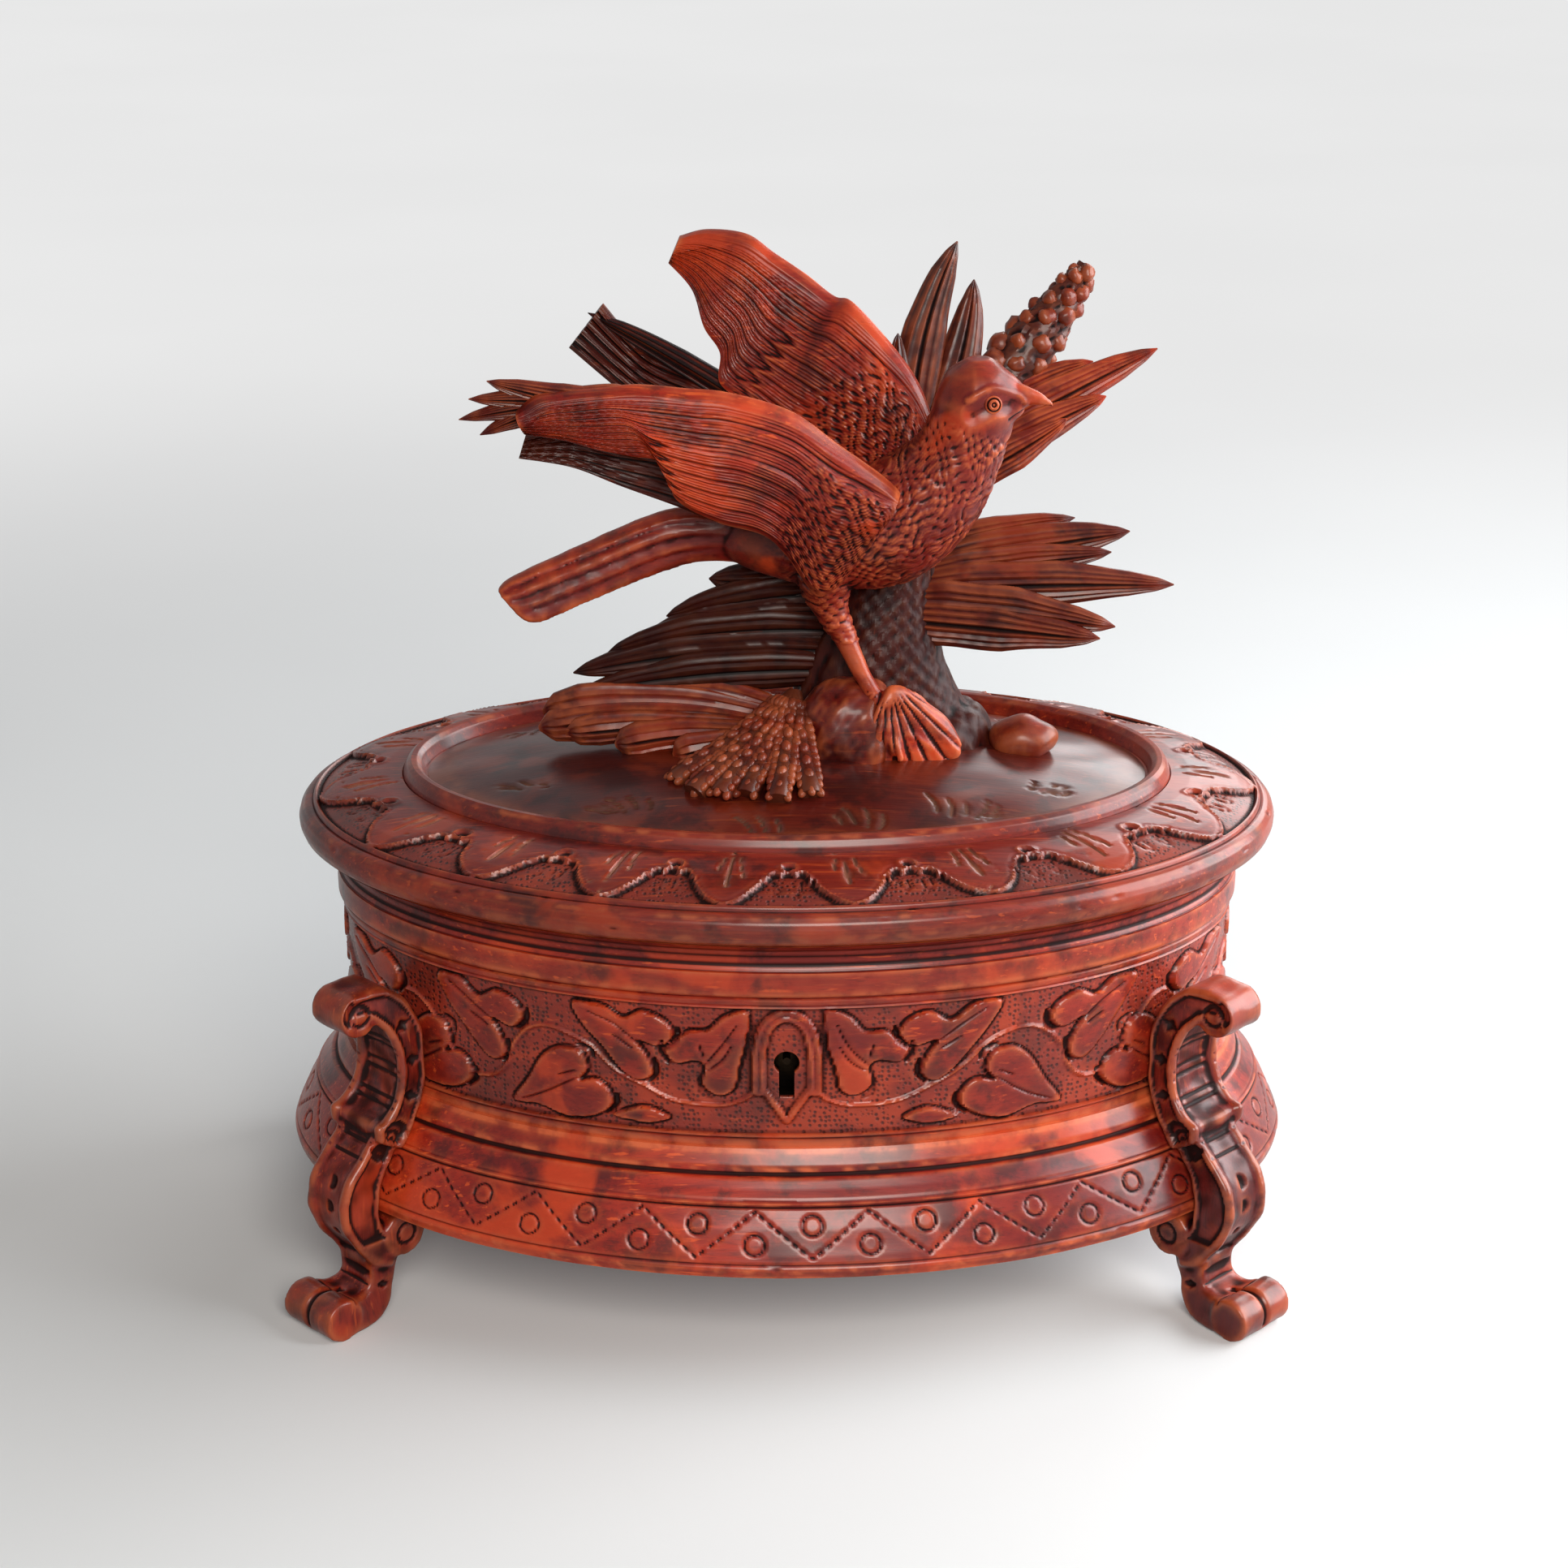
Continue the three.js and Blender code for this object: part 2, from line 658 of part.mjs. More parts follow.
function lid_top_solid(grow) {
  const rings = [];
  for (const [out, up] of edge_outline_shares) {
    rings.push(oval(top_spread * out + grow, top_bottom + edge_height * up + (up > 0.5 ? grow : 0)));
  }
  const slope_ring = (out, sink) => {
    const height = slope_point(0, out, sink).z;
    return oval(out * slope_reach - ring_inset + grow, height + grow);
  };
  const sunk = slope_shares.map(([out]) => Math.min(out, bead_side_share)).filter((out) => out > band_reach_share);
  for (const out of sunk.reverse()) rings.push(slope_ring(out, carving_depth));
  rings.push(slope_ring(band_reach_share, carving_depth), slope_ring(band_edge_share, 0));
  rings.push(slope_ring(slope_shares[1][0], 0));
  for (const [out, up] of ring_outline_shares) {
    const height = border_height + (ring_height - border_height) * up;
    rings.push(oval(-ring_inset - ring_width * out + grow, top_bottom + height + grow));
  }
  for (const share of mound_steps_share) {
    const height = border_height + (mound_crown - border_height) * (1 - share * share);
    rings.push(oval(-mound_inset, top_bottom + height + grow, share));
  }
  return join([loft(rings), ...(grow > 0 ? [] : lobes())]);
}

function group_screws(grow) {
  return [-1, 1].map((side) => screw([stump_middle().x + (side * group_screw_spacing) / 2, stump_middle().y, top_bottom],
    [0, 0, 1], group_screw_radius, group_screw_head, group_screw_length, grow));
}

function lid_pad() {
  const edge = -wall_thickness - fit_gap;
  const high = top_bottom - fit_gap;
  return loft([
    oval(edge, high),
    oval(edge, high - lid_pad_depth * 0.7),
    oval(edge - pad_crown, high - lid_pad_depth * 0.9),
    oval(edge - pad_crown * 4, high - lid_pad_depth),
    oval(edge, high - lid_pad_depth - pad_crown * 0.5, 0.6),
  ]);
}

// Carved group. Places are shares of the group's reach (across, back) and rise (up from the crown).
function spot([across, back, up]) {
  return new THREE.Vector3(across * group_reach, back * group_reach, crown_height + up * group_rise);
}

const section_round = 8;

// A limb of round or oval section: each row is a place, then its half width and half depth
function limb(rows, grow = 0, sides = section_round) {
  const centres = rows.map(spot);
  const rings = centres.map((centre, i) => {
    const before = centres[Math.max(i - 1, 0)];
    const after = centres[Math.min(i + 1, centres.length - 1)];
    const along = after.clone().sub(before).normalize();
    const deep = new THREE.Vector3(0, 1, 0).addScaledVector(along, -along.y).normalize();
    const wide = deep.clone().cross(along);
    const half_wide = rows[i][3] * group_reach + grow;
    const half_deep = (rows[i][4] ?? rows[i][3]) * group_reach + grow;
    const end = i === 0 ? -1 : 1;
    const shift = i === 0 || i === centres.length - 1 ? grow * end : 0;
    return Array.from({ length: sides }, (_, k) => {
      const angle = (2 * Math.PI * (k + 0.5)) / sides;
      return centre.clone().addScaledVector(along, shift)
        .addScaledVector(wide, half_wide * Math.cos(angle)).addScaledVector(deep, half_deep * Math.sin(angle));
    });
  });
  return loft(rings);
}

// A leaf blade from root to tip by way of a bend, with its broad side to the front
const blade_fullness = 0.58;
const blade_width_shares = [[0, 0.6], [0.3, 1], [0.6, 0.95], [0.85, 0.5], [1, 0.08]];
function blade([root, bend, tip, width, thickness], grow = 0) {
  const [a, b, c] = [root, bend, tip].map(spot);
  const curve = new THREE.QuadraticBezierCurve3(a, b.clone().multiplyScalar(2).sub(a.clone().add(c).divideScalar(2)), c);
  const rings = blade_width_shares.map(([step, wide]) => {
    const centre = curve.getPoint(step);
    const along = curve.getTangent(step);
    const deep = new THREE.Vector3(0, 1, 0).addScaledVector(along, -along.y).normalize();
    const across = deep.clone().cross(along);
    const half = blade_fullness * width * group_reach * wide + grow;
    const depth = blade_fullness * thickness * group_reach * (0.5 + 0.8 * wide) + grow;
    const end = Number(step === 1) - Number(step === 0);
    return [[1, 0], [0, 1], [-1, 0], [0, -1]].map(([u, v]) => centre.clone()
      .addScaledVector(along, grow * end).addScaledVector(across, u * half).addScaledVector(deep, v * depth));
  });
  return loft(rings);
}

// A spread of feathers between a leading and a trailing edge, arched a little towards the front
function wing(lead, trail, thickness, arch, grow = 0) {
  const depth = thickness * group_reach;
  const rings = lead.map((_, i) => {
    const a = spot(lead[i]);
    const b = spot(trail[i]);
    const chord = b.clone().sub(a).normalize();
    const out = new THREE.Vector3(0, -1, 0).addScaledVector(chord, chord.y).normalize();
    const middle = a.clone().lerp(b, 0.4).addScaledVector(out, arch * group_reach);
    const taper = 1 - (0.45 * i) / (lead.length - 1);
    const front = (depth / 2) * taper + grow;
    const edge = (depth / 6) * taper + grow;
    a.addScaledVector(chord, -grow);
    b.addScaledVector(chord, grow);
    const step = Number(i === lead.length - 1) - Number(i === 0);
    const along = spot(lead[Math.min(i + 1, lead.length - 1)]).sub(spot(lead[Math.max(i - 1, 0)])).normalize();
    return [[a, front * 0.7], [middle, front], [b, edge], [b, -edge], [middle, -front], [a, -front * 0.7]]
      .map(([p, lift]) => p.clone().addScaledVector(out, lift).addScaledVector(along, grow * step));
  });
  return loft(rings);
}

function knob([place, across, back, up], grow = 0, detail = 1) {
  const geometry = new THREE.IcosahedronGeometry(1, detail);
  geometry.scale(across * group_reach + grow, back * group_reach + grow, up * group_reach + grow);
  return solid_of(geometry.translate(...spot(place).toArray()));
}

// Stump that carries the group, with the rocks at its foot
const stump_shares = [
  [0.24, 0.08, -0.12, 0.31, 0.2],
  [0.24, 0.08, -0.03, 0.29, 0.19],
  [0.23, 0.08, 0.04, 0.23, 0.15],
  [0.23, 0.09, 0.14, 0.18, 0.13],
  [0.25, 0.12, 0.27, 0.13, 0.11],
  [0.28, 0.14, 0.41, 0.1, 0.09],
  [0.31, 0.15, 0.52, 0.09, 0.08],
  [0.33, 0.16, 0.58, 0.05, 0.05],
];
const boulder_shares = [[0.16, -0.06, 0.02], 0.14, 0.11, 0.15];
const stone_shares = [[0.61, 0.02, -0.015], 0.09, 0.07, 0.055];

function stump_middle() {
  return spot(stump_shares[0]);
}

function stump(grow) {
  return join([limb(stump_shares, grow, 10), knob(boulder_shares, grow)]);
}

// Bird: body, head and beak, tail, leg and foot carved in one
const body_shares = [
  [-0.16, 0.02, 0.415, 0.04],
  [-0.1, 0.015, 0.415, 0.075],
  [0.06, -0.01, 0.42, 0.12],
  [0.16, -0.025, 0.435, 0.14],
  [0.26, -0.04, 0.46, 0.15],
  [0.36, -0.06, 0.53, 0.135],
  [0.42, -0.075, 0.6, 0.11],
  [0.45, -0.08, 0.665, 0.1],
  [0.467, -0.08, 0.715, 0.102],
  [0.47, -0.08, 0.77, 0.078],
  [0.47, -0.08, 0.8, 0.03],
];
const beak_shares = [
  [0.5, -0.085, 0.725, 0.06, 0.05],
  [0.57, -0.095, 0.722, 0.042, 0.034],
  [0.61, -0.1, 0.715, 0.02, 0.016],
  [0.655, -0.11, 0.702, 0.006, 0.005],
];
const tail_upper_shares = [
  [-0.05, 0.02, 0.47], [-0.18, 0.015, 0.48], [-0.31, 0.01, 0.475], [-0.51, 0, 0.41], [-0.69, -0.015, 0.345],
  [-0.73, -0.03, 0.32],
];
const tail_lower_shares = [
  [-0.05, 0.0, 0.36], [-0.2, 0, 0.37], [-0.33, -0.03, 0.35], [-0.5, -0.06, 0.3], [-0.63, -0.08, 0.26],
  [-0.68, -0.07, 0.28],
];
const leg_limb_shares = [
  [0.08, -0.05, 0.36, 0.06],
  [0.1, -0.06, 0.31, 0.048],
  [0.13, -0.07, 0.26, 0.03],
  [0.19, -0.1, 0.16, 0.022],
  [0.25, -0.12, 0.08, 0.024],
  [0.27, -0.12, 0.03, 0.026],
];
const foot_upper_shares = [[0.22, -0.13, 0.09], [0.26, -0.12, 0.14], [0.33, -0.1, 0.12], [0.41, -0.08, 0.06], [0.45, -0.08, 0]];
const foot_lower_shares = [[0.19, -0.15, -0.03], [0.26, -0.15, -0.03], [0.31, -0.14, -0.03], [0.39, -0.13, -0.03], [0.44, -0.1, -0.02]];

function bird_body(grow) {
  return join([limb(body_shares, grow, 10), limb(beak_shares, grow), limb(leg_limb_shares, grow, 6),
    wing(tail_upper_shares, tail_lower_shares, 0.05, 0.01, grow),
    wing(foot_upper_shares, foot_lower_shares, 0.045, 0.005, grow)]);
}

const near_lead_shares = [
  [0.28, -0.17, 0.55], [0.23, -0.185, 0.59], [0.13, -0.2, 0.65], [0.01, -0.21, 0.72], [-0.14, -0.23, 0.76],
  [-0.24, -0.24, 0.77], [-0.36, -0.25, 0.78], [-0.45, -0.26, 0.77], [-0.55, -0.27, 0.76], [-0.64, -0.28, 0.77],
  [-0.68, -0.29, 0.78], [-0.74, -0.29, 0.74],
];
const near_trail_shares = [
  [0.23, -0.15, 0.47], [0.16, -0.14, 0.38], [0.08, -0.13, 0.33], [0, -0.16, 0.42], [-0.06, -0.19, 0.47],
  [-0.17, -0.21, 0.5], [-0.27, -0.23, 0.55], [-0.3, -0.25, 0.625], [-0.38, -0.25, 0.64], [-0.46, -0.26, 0.66],
  [-0.54, -0.27, 0.69], [-0.75, -0.29, 0.69],
];
const far_lead_shares = [
  [0.38, 0, 0.62], [0.34, 0.05, 0.71], [0.28, 0.09, 0.78], [0.17, 0.14, 0.87], [0.12, 0.17, 0.88], [0.05, 0.19, 0.92],
  [-0.03, 0.21, 0.96], [-0.1, 0.23, 0.995], [-0.2, 0.26, 1], [-0.27, 0.27, 0.985],
];
const far_trail_shares = [
  [0.27, -0.02, 0.52], [0.19, 0.04, 0.58], [0.1, 0.08, 0.6], [-0.02, 0.13, 0.63], [-0.1, 0.16, 0.665],
  [-0.17, 0.19, 0.7], [-0.17, 0.2, 0.76], [-0.21, 0.21, 0.81], [-0.24, 0.24, 0.88], [-0.3, 0.27, 0.93],
];
const under_lead_shares = [
  [0.05, -0.06, 0.57], [-0.14, -0.09, 0.66], [-0.3, -0.11, 0.68], [-0.42, -0.12, 0.68], [-0.54, -0.13, 0.68],
  [-0.64, -0.135, 0.66],
];
const under_trail_shares = [
  [0.05, -0.05, 0.43], [-0.14, -0.07, 0.46], [-0.29, -0.09, 0.51], [-0.41, -0.11, 0.55], [-0.53, -0.12, 0.59],
  [-0.66, -0.13, 0.61],
];
const rear_lead_shares = [
  [0.24, 0.12, 0.52], [0.02, 0.17, 0.62], [-0.14, 0.21, 0.68], [-0.23, 0.24, 0.71], [-0.36, 0.28, 0.75],
  [-0.47, 0.32, 0.84],
];
const rear_trail_shares = [
  [0.22, 0.12, 0.43], [0.0, 0.16, 0.5], [-0.15, 0.2, 0.56], [-0.26, 0.23, 0.6], [-0.38, 0.26, 0.64],
  [-0.56, 0.31, 0.75],
];

// Blades: root, bend and tip, then width and thickness
const upper_blade_shares = [
  [[0.32, 0.15, 0.54], [0.34, 0.19, 0.77], [0.43, 0.23, 0.98], 0.1, 0.045],
  [[0.34, 0.15, 0.54], [0.43, 0.2, 0.72], [0.475, 0.25, 0.9], 0.095, 0.04],
  [[0.31, 0.14, 0.54], [0.285, 0.13, 0.69], [0.28, 0.14, 0.81], 0.06, 0.04],
];
const right_upper_shares = [
  [[0.33, 0.15, 0.5], [0.63, 0.17, 0.645], [0.94, 0.19, 0.77], 0.1, 0.045],
  [[0.33, 0.16, 0.53], [0.57, 0.19, 0.66], [0.78, 0.21, 0.74], 0.09, 0.04],
  [[0.33, 0.14, 0.48], [0.6, 0.14, 0.6], [0.81, 0.15, 0.68], 0.09, 0.045],
  [[0.32, 0.13, 0.46], [0.54, 0.11, 0.555], [0.71, 0.12, 0.64], 0.08, 0.04],
];
const right_lower_shares = [
  [[0.27, 0.14, 0.34], [0.5, 0.2, 0.375], [0.75, 0.25, 0.405], 0.085, 0.045],
  [[0.27, 0.13, 0.32], [0.6, 0.19, 0.355], [0.89, 0.21, 0.385], 0.1, 0.045],
  [[0.27, 0.12, 0.3], [0.56, 0.16, 0.325], [0.84, 0.17, 0.35], 0.09, 0.045],
  [[0.26, 0.11, 0.28], [0.62, 0.12, 0.295], [1, 0.13, 0.29], 0.1, 0.045],
  [[0.25, 0.1, 0.26], [0.53, 0.07, 0.255], [0.84, 0.01, 0.23], 0.11, 0.06],
  [[0.24, 0.08, 0.235], [0.5, 0.05, 0.225], [0.8, -0.01, 0.21], 0.11, 0.06],
];
const dark_fan_shares = [
  [[0.16, 0.09, 0.32], [-0.03, 0.09, 0.31], [-0.2, 0.1, 0.31], 0.1, 0.05],
  [[0.16, 0.09, 0.29], [-0.08, 0.08, 0.275], [-0.31, 0.08, 0.235], 0.1, 0.05],
  [[0.16, 0.08, 0.25], [-0.11, 0.07, 0.24], [-0.37, 0.06, 0.195], 0.1, 0.05],
  [[0.16, 0.07, 0.21], [-0.17, 0.06, 0.21], [-0.46, 0.05, 0.165], 0.1, 0.05],
  [[0.15, 0.06, 0.17], [-0.21, 0.045, 0.17], [-0.55, 0.035, 0.125], 0.1, 0.05],
  [[0.15, 0.05, 0.13], [-0.19, 0.03, 0.13], [-0.53, 0.02, 0.09], 0.1, 0.05],
];
const light_fan_shares = [
  [[0.02, 0.02, 0.03], [-0.18, 0.02, 0.08], [-0.38, 0.03, 0.07], 0.1, 0.05],
  [[0.02, 0.01, 0.02], [-0.3, 0.01, 0.07], [-0.63, 0.02, 0.045], 0.1, 0.05],
  [[0.02, 0, 0.01], [-0.31, -0.01, 0.045], [-0.64, 0, 0.015], 0.09, 0.05],
  [[0.02, -0.02, 0], [-0.28, -0.03, 0.03], [-0.57, -0.03, 0.012], 0.08, 0.05],
  [[0.02, -0.04, 0], [-0.22, -0.06, 0.022], [-0.44, -0.07, -0.002], 0.08, 0.05],
  [[0.02, -0.06, -0.01], [-0.14, -0.1, 0.01], [-0.29, -0.12, -0.01], 0.08, 0.05],
];
const ear_radius_share = 0.036;
const ear_top_share = [0.02, -0.04];
const ear_slice_shares = [[0, 0.1, 0.8], [0.5, 0.025, 1], [0.9, -0.015, 1], [1, -0.03, 0.6]];
const ear_end_shares = [
  [-0.28, -0.25], [-0.23, -0.33], [-0.165, -0.35], [-0.1, -0.35], [-0.02, -0.38], [0.06, -0.35],
];

function wheat_ears(grow) {
  const [across, back] = ear_top_share;
  return join(ear_end_shares.map(([end_across, end_back]) => limb(ear_slice_shares.map(([along, up, round]) => [
    across + (end_across - across) * along,
    back + (end_back - back) * along,
    up,
    ear_radius_share * round,
  ]), grow, 6)));
}

const spike_shares = [
  [0.32, 0.15, 0.52, 0.03],
  [0.48, 0.2, 0.645, 0.045],
  [0.56, 0.23, 0.71, 0.072],
  [0.64, 0.26, 0.785, 0.068],
  [0.71, 0.285, 0.86, 0.045],
  [0.765, 0.3, 0.92, 0.02],
];
const bud_count = 16;
const bud_turn = 2.4;
const bud_share = 0.04;
const bud_spread_share = 0.07;
const bud_first_share = [0.5, 0.21, 0.66];
const bud_last_share = [0.765, 0.3, 0.92];

function flower_spike(grow) {
  const buds = Array.from({ length: bud_count }, (_, k) => {
    const along = (k + 0.5) / bud_count;
    const spread = bud_spread_share * (1 - along) ** 0.6;
    const turn = new THREE.Vector3(0.75 * Math.cos(bud_turn * k), Math.sin(bud_turn * k), -0.6 * Math.cos(bud_turn * k));
    const out = turn.multiplyScalar(spread).toArray();
    const place = bud_first_share.map((first, axis) => first + (bud_last_share[axis] - first) * along + out[axis]);
    const size = bud_share * (1 - 0.35 * along);
    return knob([place, size, size, size], grow, 0);
  });
  return join([limb(spike_shares, grow), ...buds]);
}

// Each piece of the group gives way to the pieces listed before it
const fan = (rows) => (grow) => join(rows.map((row) => blade(row, grow)));
const group_pieces = [
  ["finial_stump", stump],
  ["finial_stone", (grow) => knob(stone_shares, grow)],
  ["bird_body", bird_body],
  ["bird_near_wing", (grow) => wing(near_lead_shares, near_trail_shares, 0.06, 0.03, grow)],
  ["bird_far_wing", (grow) => wing(far_lead_shares, far_trail_shares, 0.055, 0.02, grow)],
  ["under_wing_feathers", (grow) => wing(under_lead_shares, under_trail_shares, 0.05, 0.01, grow)],
  ["rear_left_feathers", (grow) => wing(rear_lead_shares, rear_trail_shares, 0.07, 0.02, grow)],
  ["upper_leaves", fan(upper_blade_shares)],
  ["flower_spike", flower_spike],
  ["right_upper_leaves", fan(right_upper_shares)],
  ["right_lower_leaves", fan(right_lower_shares)],
  ["left_dark_fan", fan(dark_fan_shares)],
  ["left_light_fan", fan(light_fan_shares)],
  ["wheat_ears", wheat_ears],
];

piece("lid_frame", lid_frame(), walnut());
piece("lid_top", cut(lid_top_solid(0), group_screws(fit_gap)), walnut());
piece("lid_pad", lid_pad(), velvet());
const already = [lid_top_solid(fit_gap)];
for (const [name, make] of group_pieces) {
  const solid = cut(make(0), name === "finial_stump" ? [...already, ...group_screws(fit_gap)] : already);
  piece(name, solid, walnut());
  already.push(make(fit_gap));
}
group_screws(0).forEach((solid, k) => piece(`group_screw_${sides[k]}`, solid, brass()));

// Hinges: the lower leaf has the outer knuckles and the upper leaf the middle one
function hinge_leaf(side, up) {
  const x0 = side * hinge_place - hinge_width / 2;
  const third = hinge_width / 3;
  const low = up ? frame_bottom : wall_top - leaf_thickness;
  const plate_back = hinge_axis_y - knuckle_radius / 2;
  const plate = block([x0, hinge_axis_y - leaf_depth, low], [x0 + hinge_width, plate_back, low + leaf_thickness]);
  const knuckle = (from, to) => bar([from, hinge_axis_y, hinge_axis_z], [to, hinge_axis_y, hinge_axis_z], knuckle_radius);
  const slack = fit_gap / 2;
  const middle = block([x0 + third - slack, hinge_axis_y - knuckle_radius - fit_gap, low - cut_overrun],
    [x0 + 2 * third + slack, plate_back + cut_overrun, low + leaf_thickness + cut_overrun]);
  const outer = [[x0, x0 + third], [x0 + 2 * third, x0 + hinge_width]];
  const outer_room = outer.map(([from, to]) => block(
    [from - slack, hinge_axis_y - knuckle_radius - fit_gap, low - cut_overrun],
    [to + slack, plate_back + cut_overrun, low + leaf_thickness + cut_overrun]));
  const knuckles = up ? [knuckle(x0 + third + slack, x0 + 2 * third - slack)]
    : outer.map(([from, to], k) => knuckle(from + (k ? slack : 0), to - (k ? 0 : slack)));
  const base = cut(plate, up ? outer_room : [middle]);
  const bore = bar([x0 - cut_overrun, hinge_axis_y, hinge_axis_z], [x0 + hinge_width + cut_overrun, hinge_axis_y,
    hinge_axis_z], (hinge_pin_radius + pin_slack) / Math.cos(Math.PI / round_steps));
  return cut(join([base, ...knuckles]), [bore, ...leaf_screws(up, fit_gap)]);
}

for (const [k, side] of [-1, 1].entries()) {
  const name = sides[k];
  piece(`hinge_${name}_lower_leaf`, hinge_leaf(side, false), brass());
  piece(`hinge_${name}_upper_leaf`, hinge_leaf(side, true), brass());
  const x0 = side * hinge_place - hinge_width / 2;
  piece(`hinge_${name}_pin`, bar([x0, hinge_axis_y, hinge_axis_z], [x0 + hinge_width, hinge_axis_y, hinge_axis_z],
    hinge_pin_radius), brass());
}
leaf_screws(false, 0).forEach((solid, k) => piece(`hinge_lower_screw_${k + 1}`, solid, brass()));
leaf_screws(true, 0).forEach((solid, k) => piece(`hinge_upper_screw_${k + 1}`, solid, brass()));

// Lock: a case with its selvedge in the rim, a cover, a post for the key, a sliding bolt and its spring
function lock_case() {
  const front = lock_front;
  const outer = block([-lock_half_length, front, lock_bottom], [lock_half_length, lock_back, wall_top]);
  const selvedge = block([-selvedge_half_length, front, wall_top - lock_plate],
    [selvedge_half_length, lock_back + lock_plate, wall_top]);
  const hollow = block([-lock_half_length + lock_wall, front + lock_wall, lock_bottom + lock_wall],
    [lock_half_length - lock_wall, lock_back + cut_overrun, wall_top - lock_plate]);
  const slot_half = staple_thickness / 2 + fit_gap * 1.5;
  const slot_reach = staple_width / 2 + fit_gap * 1.6;
  const slot = block([-slot_half, bolt_y - slot_reach, wall_top - lock_plate - cut_overrun],
    [slot_half, bolt_y + slot_reach, wall_top + cut_overrun]);
  const hole = keyhole(front - cut_overrun, front + lock_wall + cut_overrun, 0);
  return cut(join([cut(outer, [hollow]), selvedge]), [slot, hole, ...selvedge_screws(fit_gap)]);
}

function lock_cover() {
  return block([-lock_half_length, lock_back, lock_bottom],
    [lock_half_length, lock_back + lock_plate, wall_top - lock_plate - fit_gap / 3]);
}

function key_post() {
  return bar([0, lock_back, keyhole_height], [0, lock_front - lock_wall, keyhole_height], key_post_radius);
}

function lock_bolt() {
  const [y0, y1] = [bolt_y - bolt_thickness / 2, bolt_y + bolt_thickness / 2];
  const rail = block([-bolt_half_length, y0, bolt_bottom], [bolt_half_length, y1, bolt_top]);
  const arm_x = -nib_gap - staple_thickness / 2 - nib_length;
  const arm = block([arm_x - nib_arm, y0, bolt_top - nib_arm], [arm_x, y1, nib_top]);
  const nib = block([arm_x - nib_arm / 2, y0, nib_top - nib_height], [arm_x + nib_length, y1, nib_top]);
  const talon_half = keyhole_slot_half + fit_gap;
  const talon = block([-talon_half - bolt_travel, y0 - cut_overrun, bolt_bottom - cut_overrun],
    [talon_half, y1 + cut_overrun, bolt_bottom + bolt_height / 2]);
  return cut(join([rail, arm, nib]), [talon]);
}

function lock_spring() {
  const y0 = bolt_y - bolt_thickness / 2;
  const wall = lock_half_length - lock_wall - fit_gap;
  const rest = bolt_top + fit_gap;
  const shape = new THREE.Shape();
  shape.moveTo(wall, rest + spring_height);
  shape.lineTo(bolt_half_length / 2, rest);
  shape.lineTo(bolt_half_length / 3, rest + spring_thickness);
  shape.lineTo(bolt_half_length / 2, rest + spring_thickness * 1.4);
  shape.lineTo(wall, rest + spring_height + spring_thickness * 1.4);
  const geometry = new THREE.ExtrudeGeometry(shape, { depth: bolt_thickness, bevelEnabled: false });
  geometry.rotateX(Math.PI / 2);
  geometry.translate(0, y0 + bolt_thickness, 0);
  return solid_of(geometry);
}

function link_plate() {
  const plate = block([-link_half_length, lock_front, frame_bottom],
    [link_half_length, lock_back, frame_bottom + lock_plate]);
  const half = staple_thickness / 2;
  const reach = staple_width / 2;
  const low = staple_bottom;
  const tongue = block([-half, bolt_y - reach, low], [half, bolt_y + reach, frame_bottom + lock_plate / 2]);
  const eye = block([-half - cut_overrun, bolt_y - reach + staple_rim, low + staple_rim],
    [half + cut_overrun, bolt_y + reach - staple_rim, nib_top + fit_gap]);
  return cut(join([plate, tongue]), [eye, ...link_screws(fit_gap)]);
}

piece("lock_case", lock_case(), brass());
piece("lock_cover", lock_cover(), brass());
piece("lock_key_post", key_post(), brass());
piece("lock_bolt", lock_bolt(), brass());
piece("lock_spring", lock_spring(), brass());
selvedge_screws(0).forEach((solid, k) => piece(`lock_screw_${sides[k]}`, solid, brass()));
piece("lock_link_plate", link_plate(), brass());
link_screws(0).forEach((solid, k) => piece(`link_screw_${sides[k]}`, solid, brass()));

export default group;
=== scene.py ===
# %% [markdown]
# # A carved oval jewellery box
# The real box is turned and carved from solid walnut, stained red-brown and varnished. Its oval wall
# carries a band of ivy, it stands on four scroll legs, and a bird among leaves is carved on its lid.
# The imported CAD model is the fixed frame. Everything made here is laid over it, in metres.

# %% Load the fixed frame
import math

import bpy
import numpy as np
from mathutils import Matrix, Vector


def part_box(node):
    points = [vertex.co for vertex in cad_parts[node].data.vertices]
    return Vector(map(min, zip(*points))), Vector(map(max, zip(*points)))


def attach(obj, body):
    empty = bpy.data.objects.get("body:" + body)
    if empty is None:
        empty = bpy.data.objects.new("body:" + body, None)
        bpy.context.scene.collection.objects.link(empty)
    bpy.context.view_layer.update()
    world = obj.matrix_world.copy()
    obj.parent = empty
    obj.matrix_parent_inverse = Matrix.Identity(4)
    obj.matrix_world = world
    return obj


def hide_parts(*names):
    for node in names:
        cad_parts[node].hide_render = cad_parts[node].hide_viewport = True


mm = 0.001
mm_per_metre = 1000
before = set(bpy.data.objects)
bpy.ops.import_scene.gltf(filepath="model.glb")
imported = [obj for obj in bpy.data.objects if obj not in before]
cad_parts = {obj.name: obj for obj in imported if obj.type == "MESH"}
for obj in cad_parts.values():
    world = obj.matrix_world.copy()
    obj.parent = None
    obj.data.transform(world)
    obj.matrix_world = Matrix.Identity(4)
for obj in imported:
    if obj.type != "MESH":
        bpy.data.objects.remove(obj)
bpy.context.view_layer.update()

# %% [markdown]
# ## Camera, floor and light
# The photograph looks down on the box from the front, from about 0.8 m away. A camera can be set by eye
# or worked out from known shapes. The ovals of the lid, wall and base gave this one.

# %% Camera
view_down = math.radians(20.506)
view_distance = 0.8
look_height = 0.1182


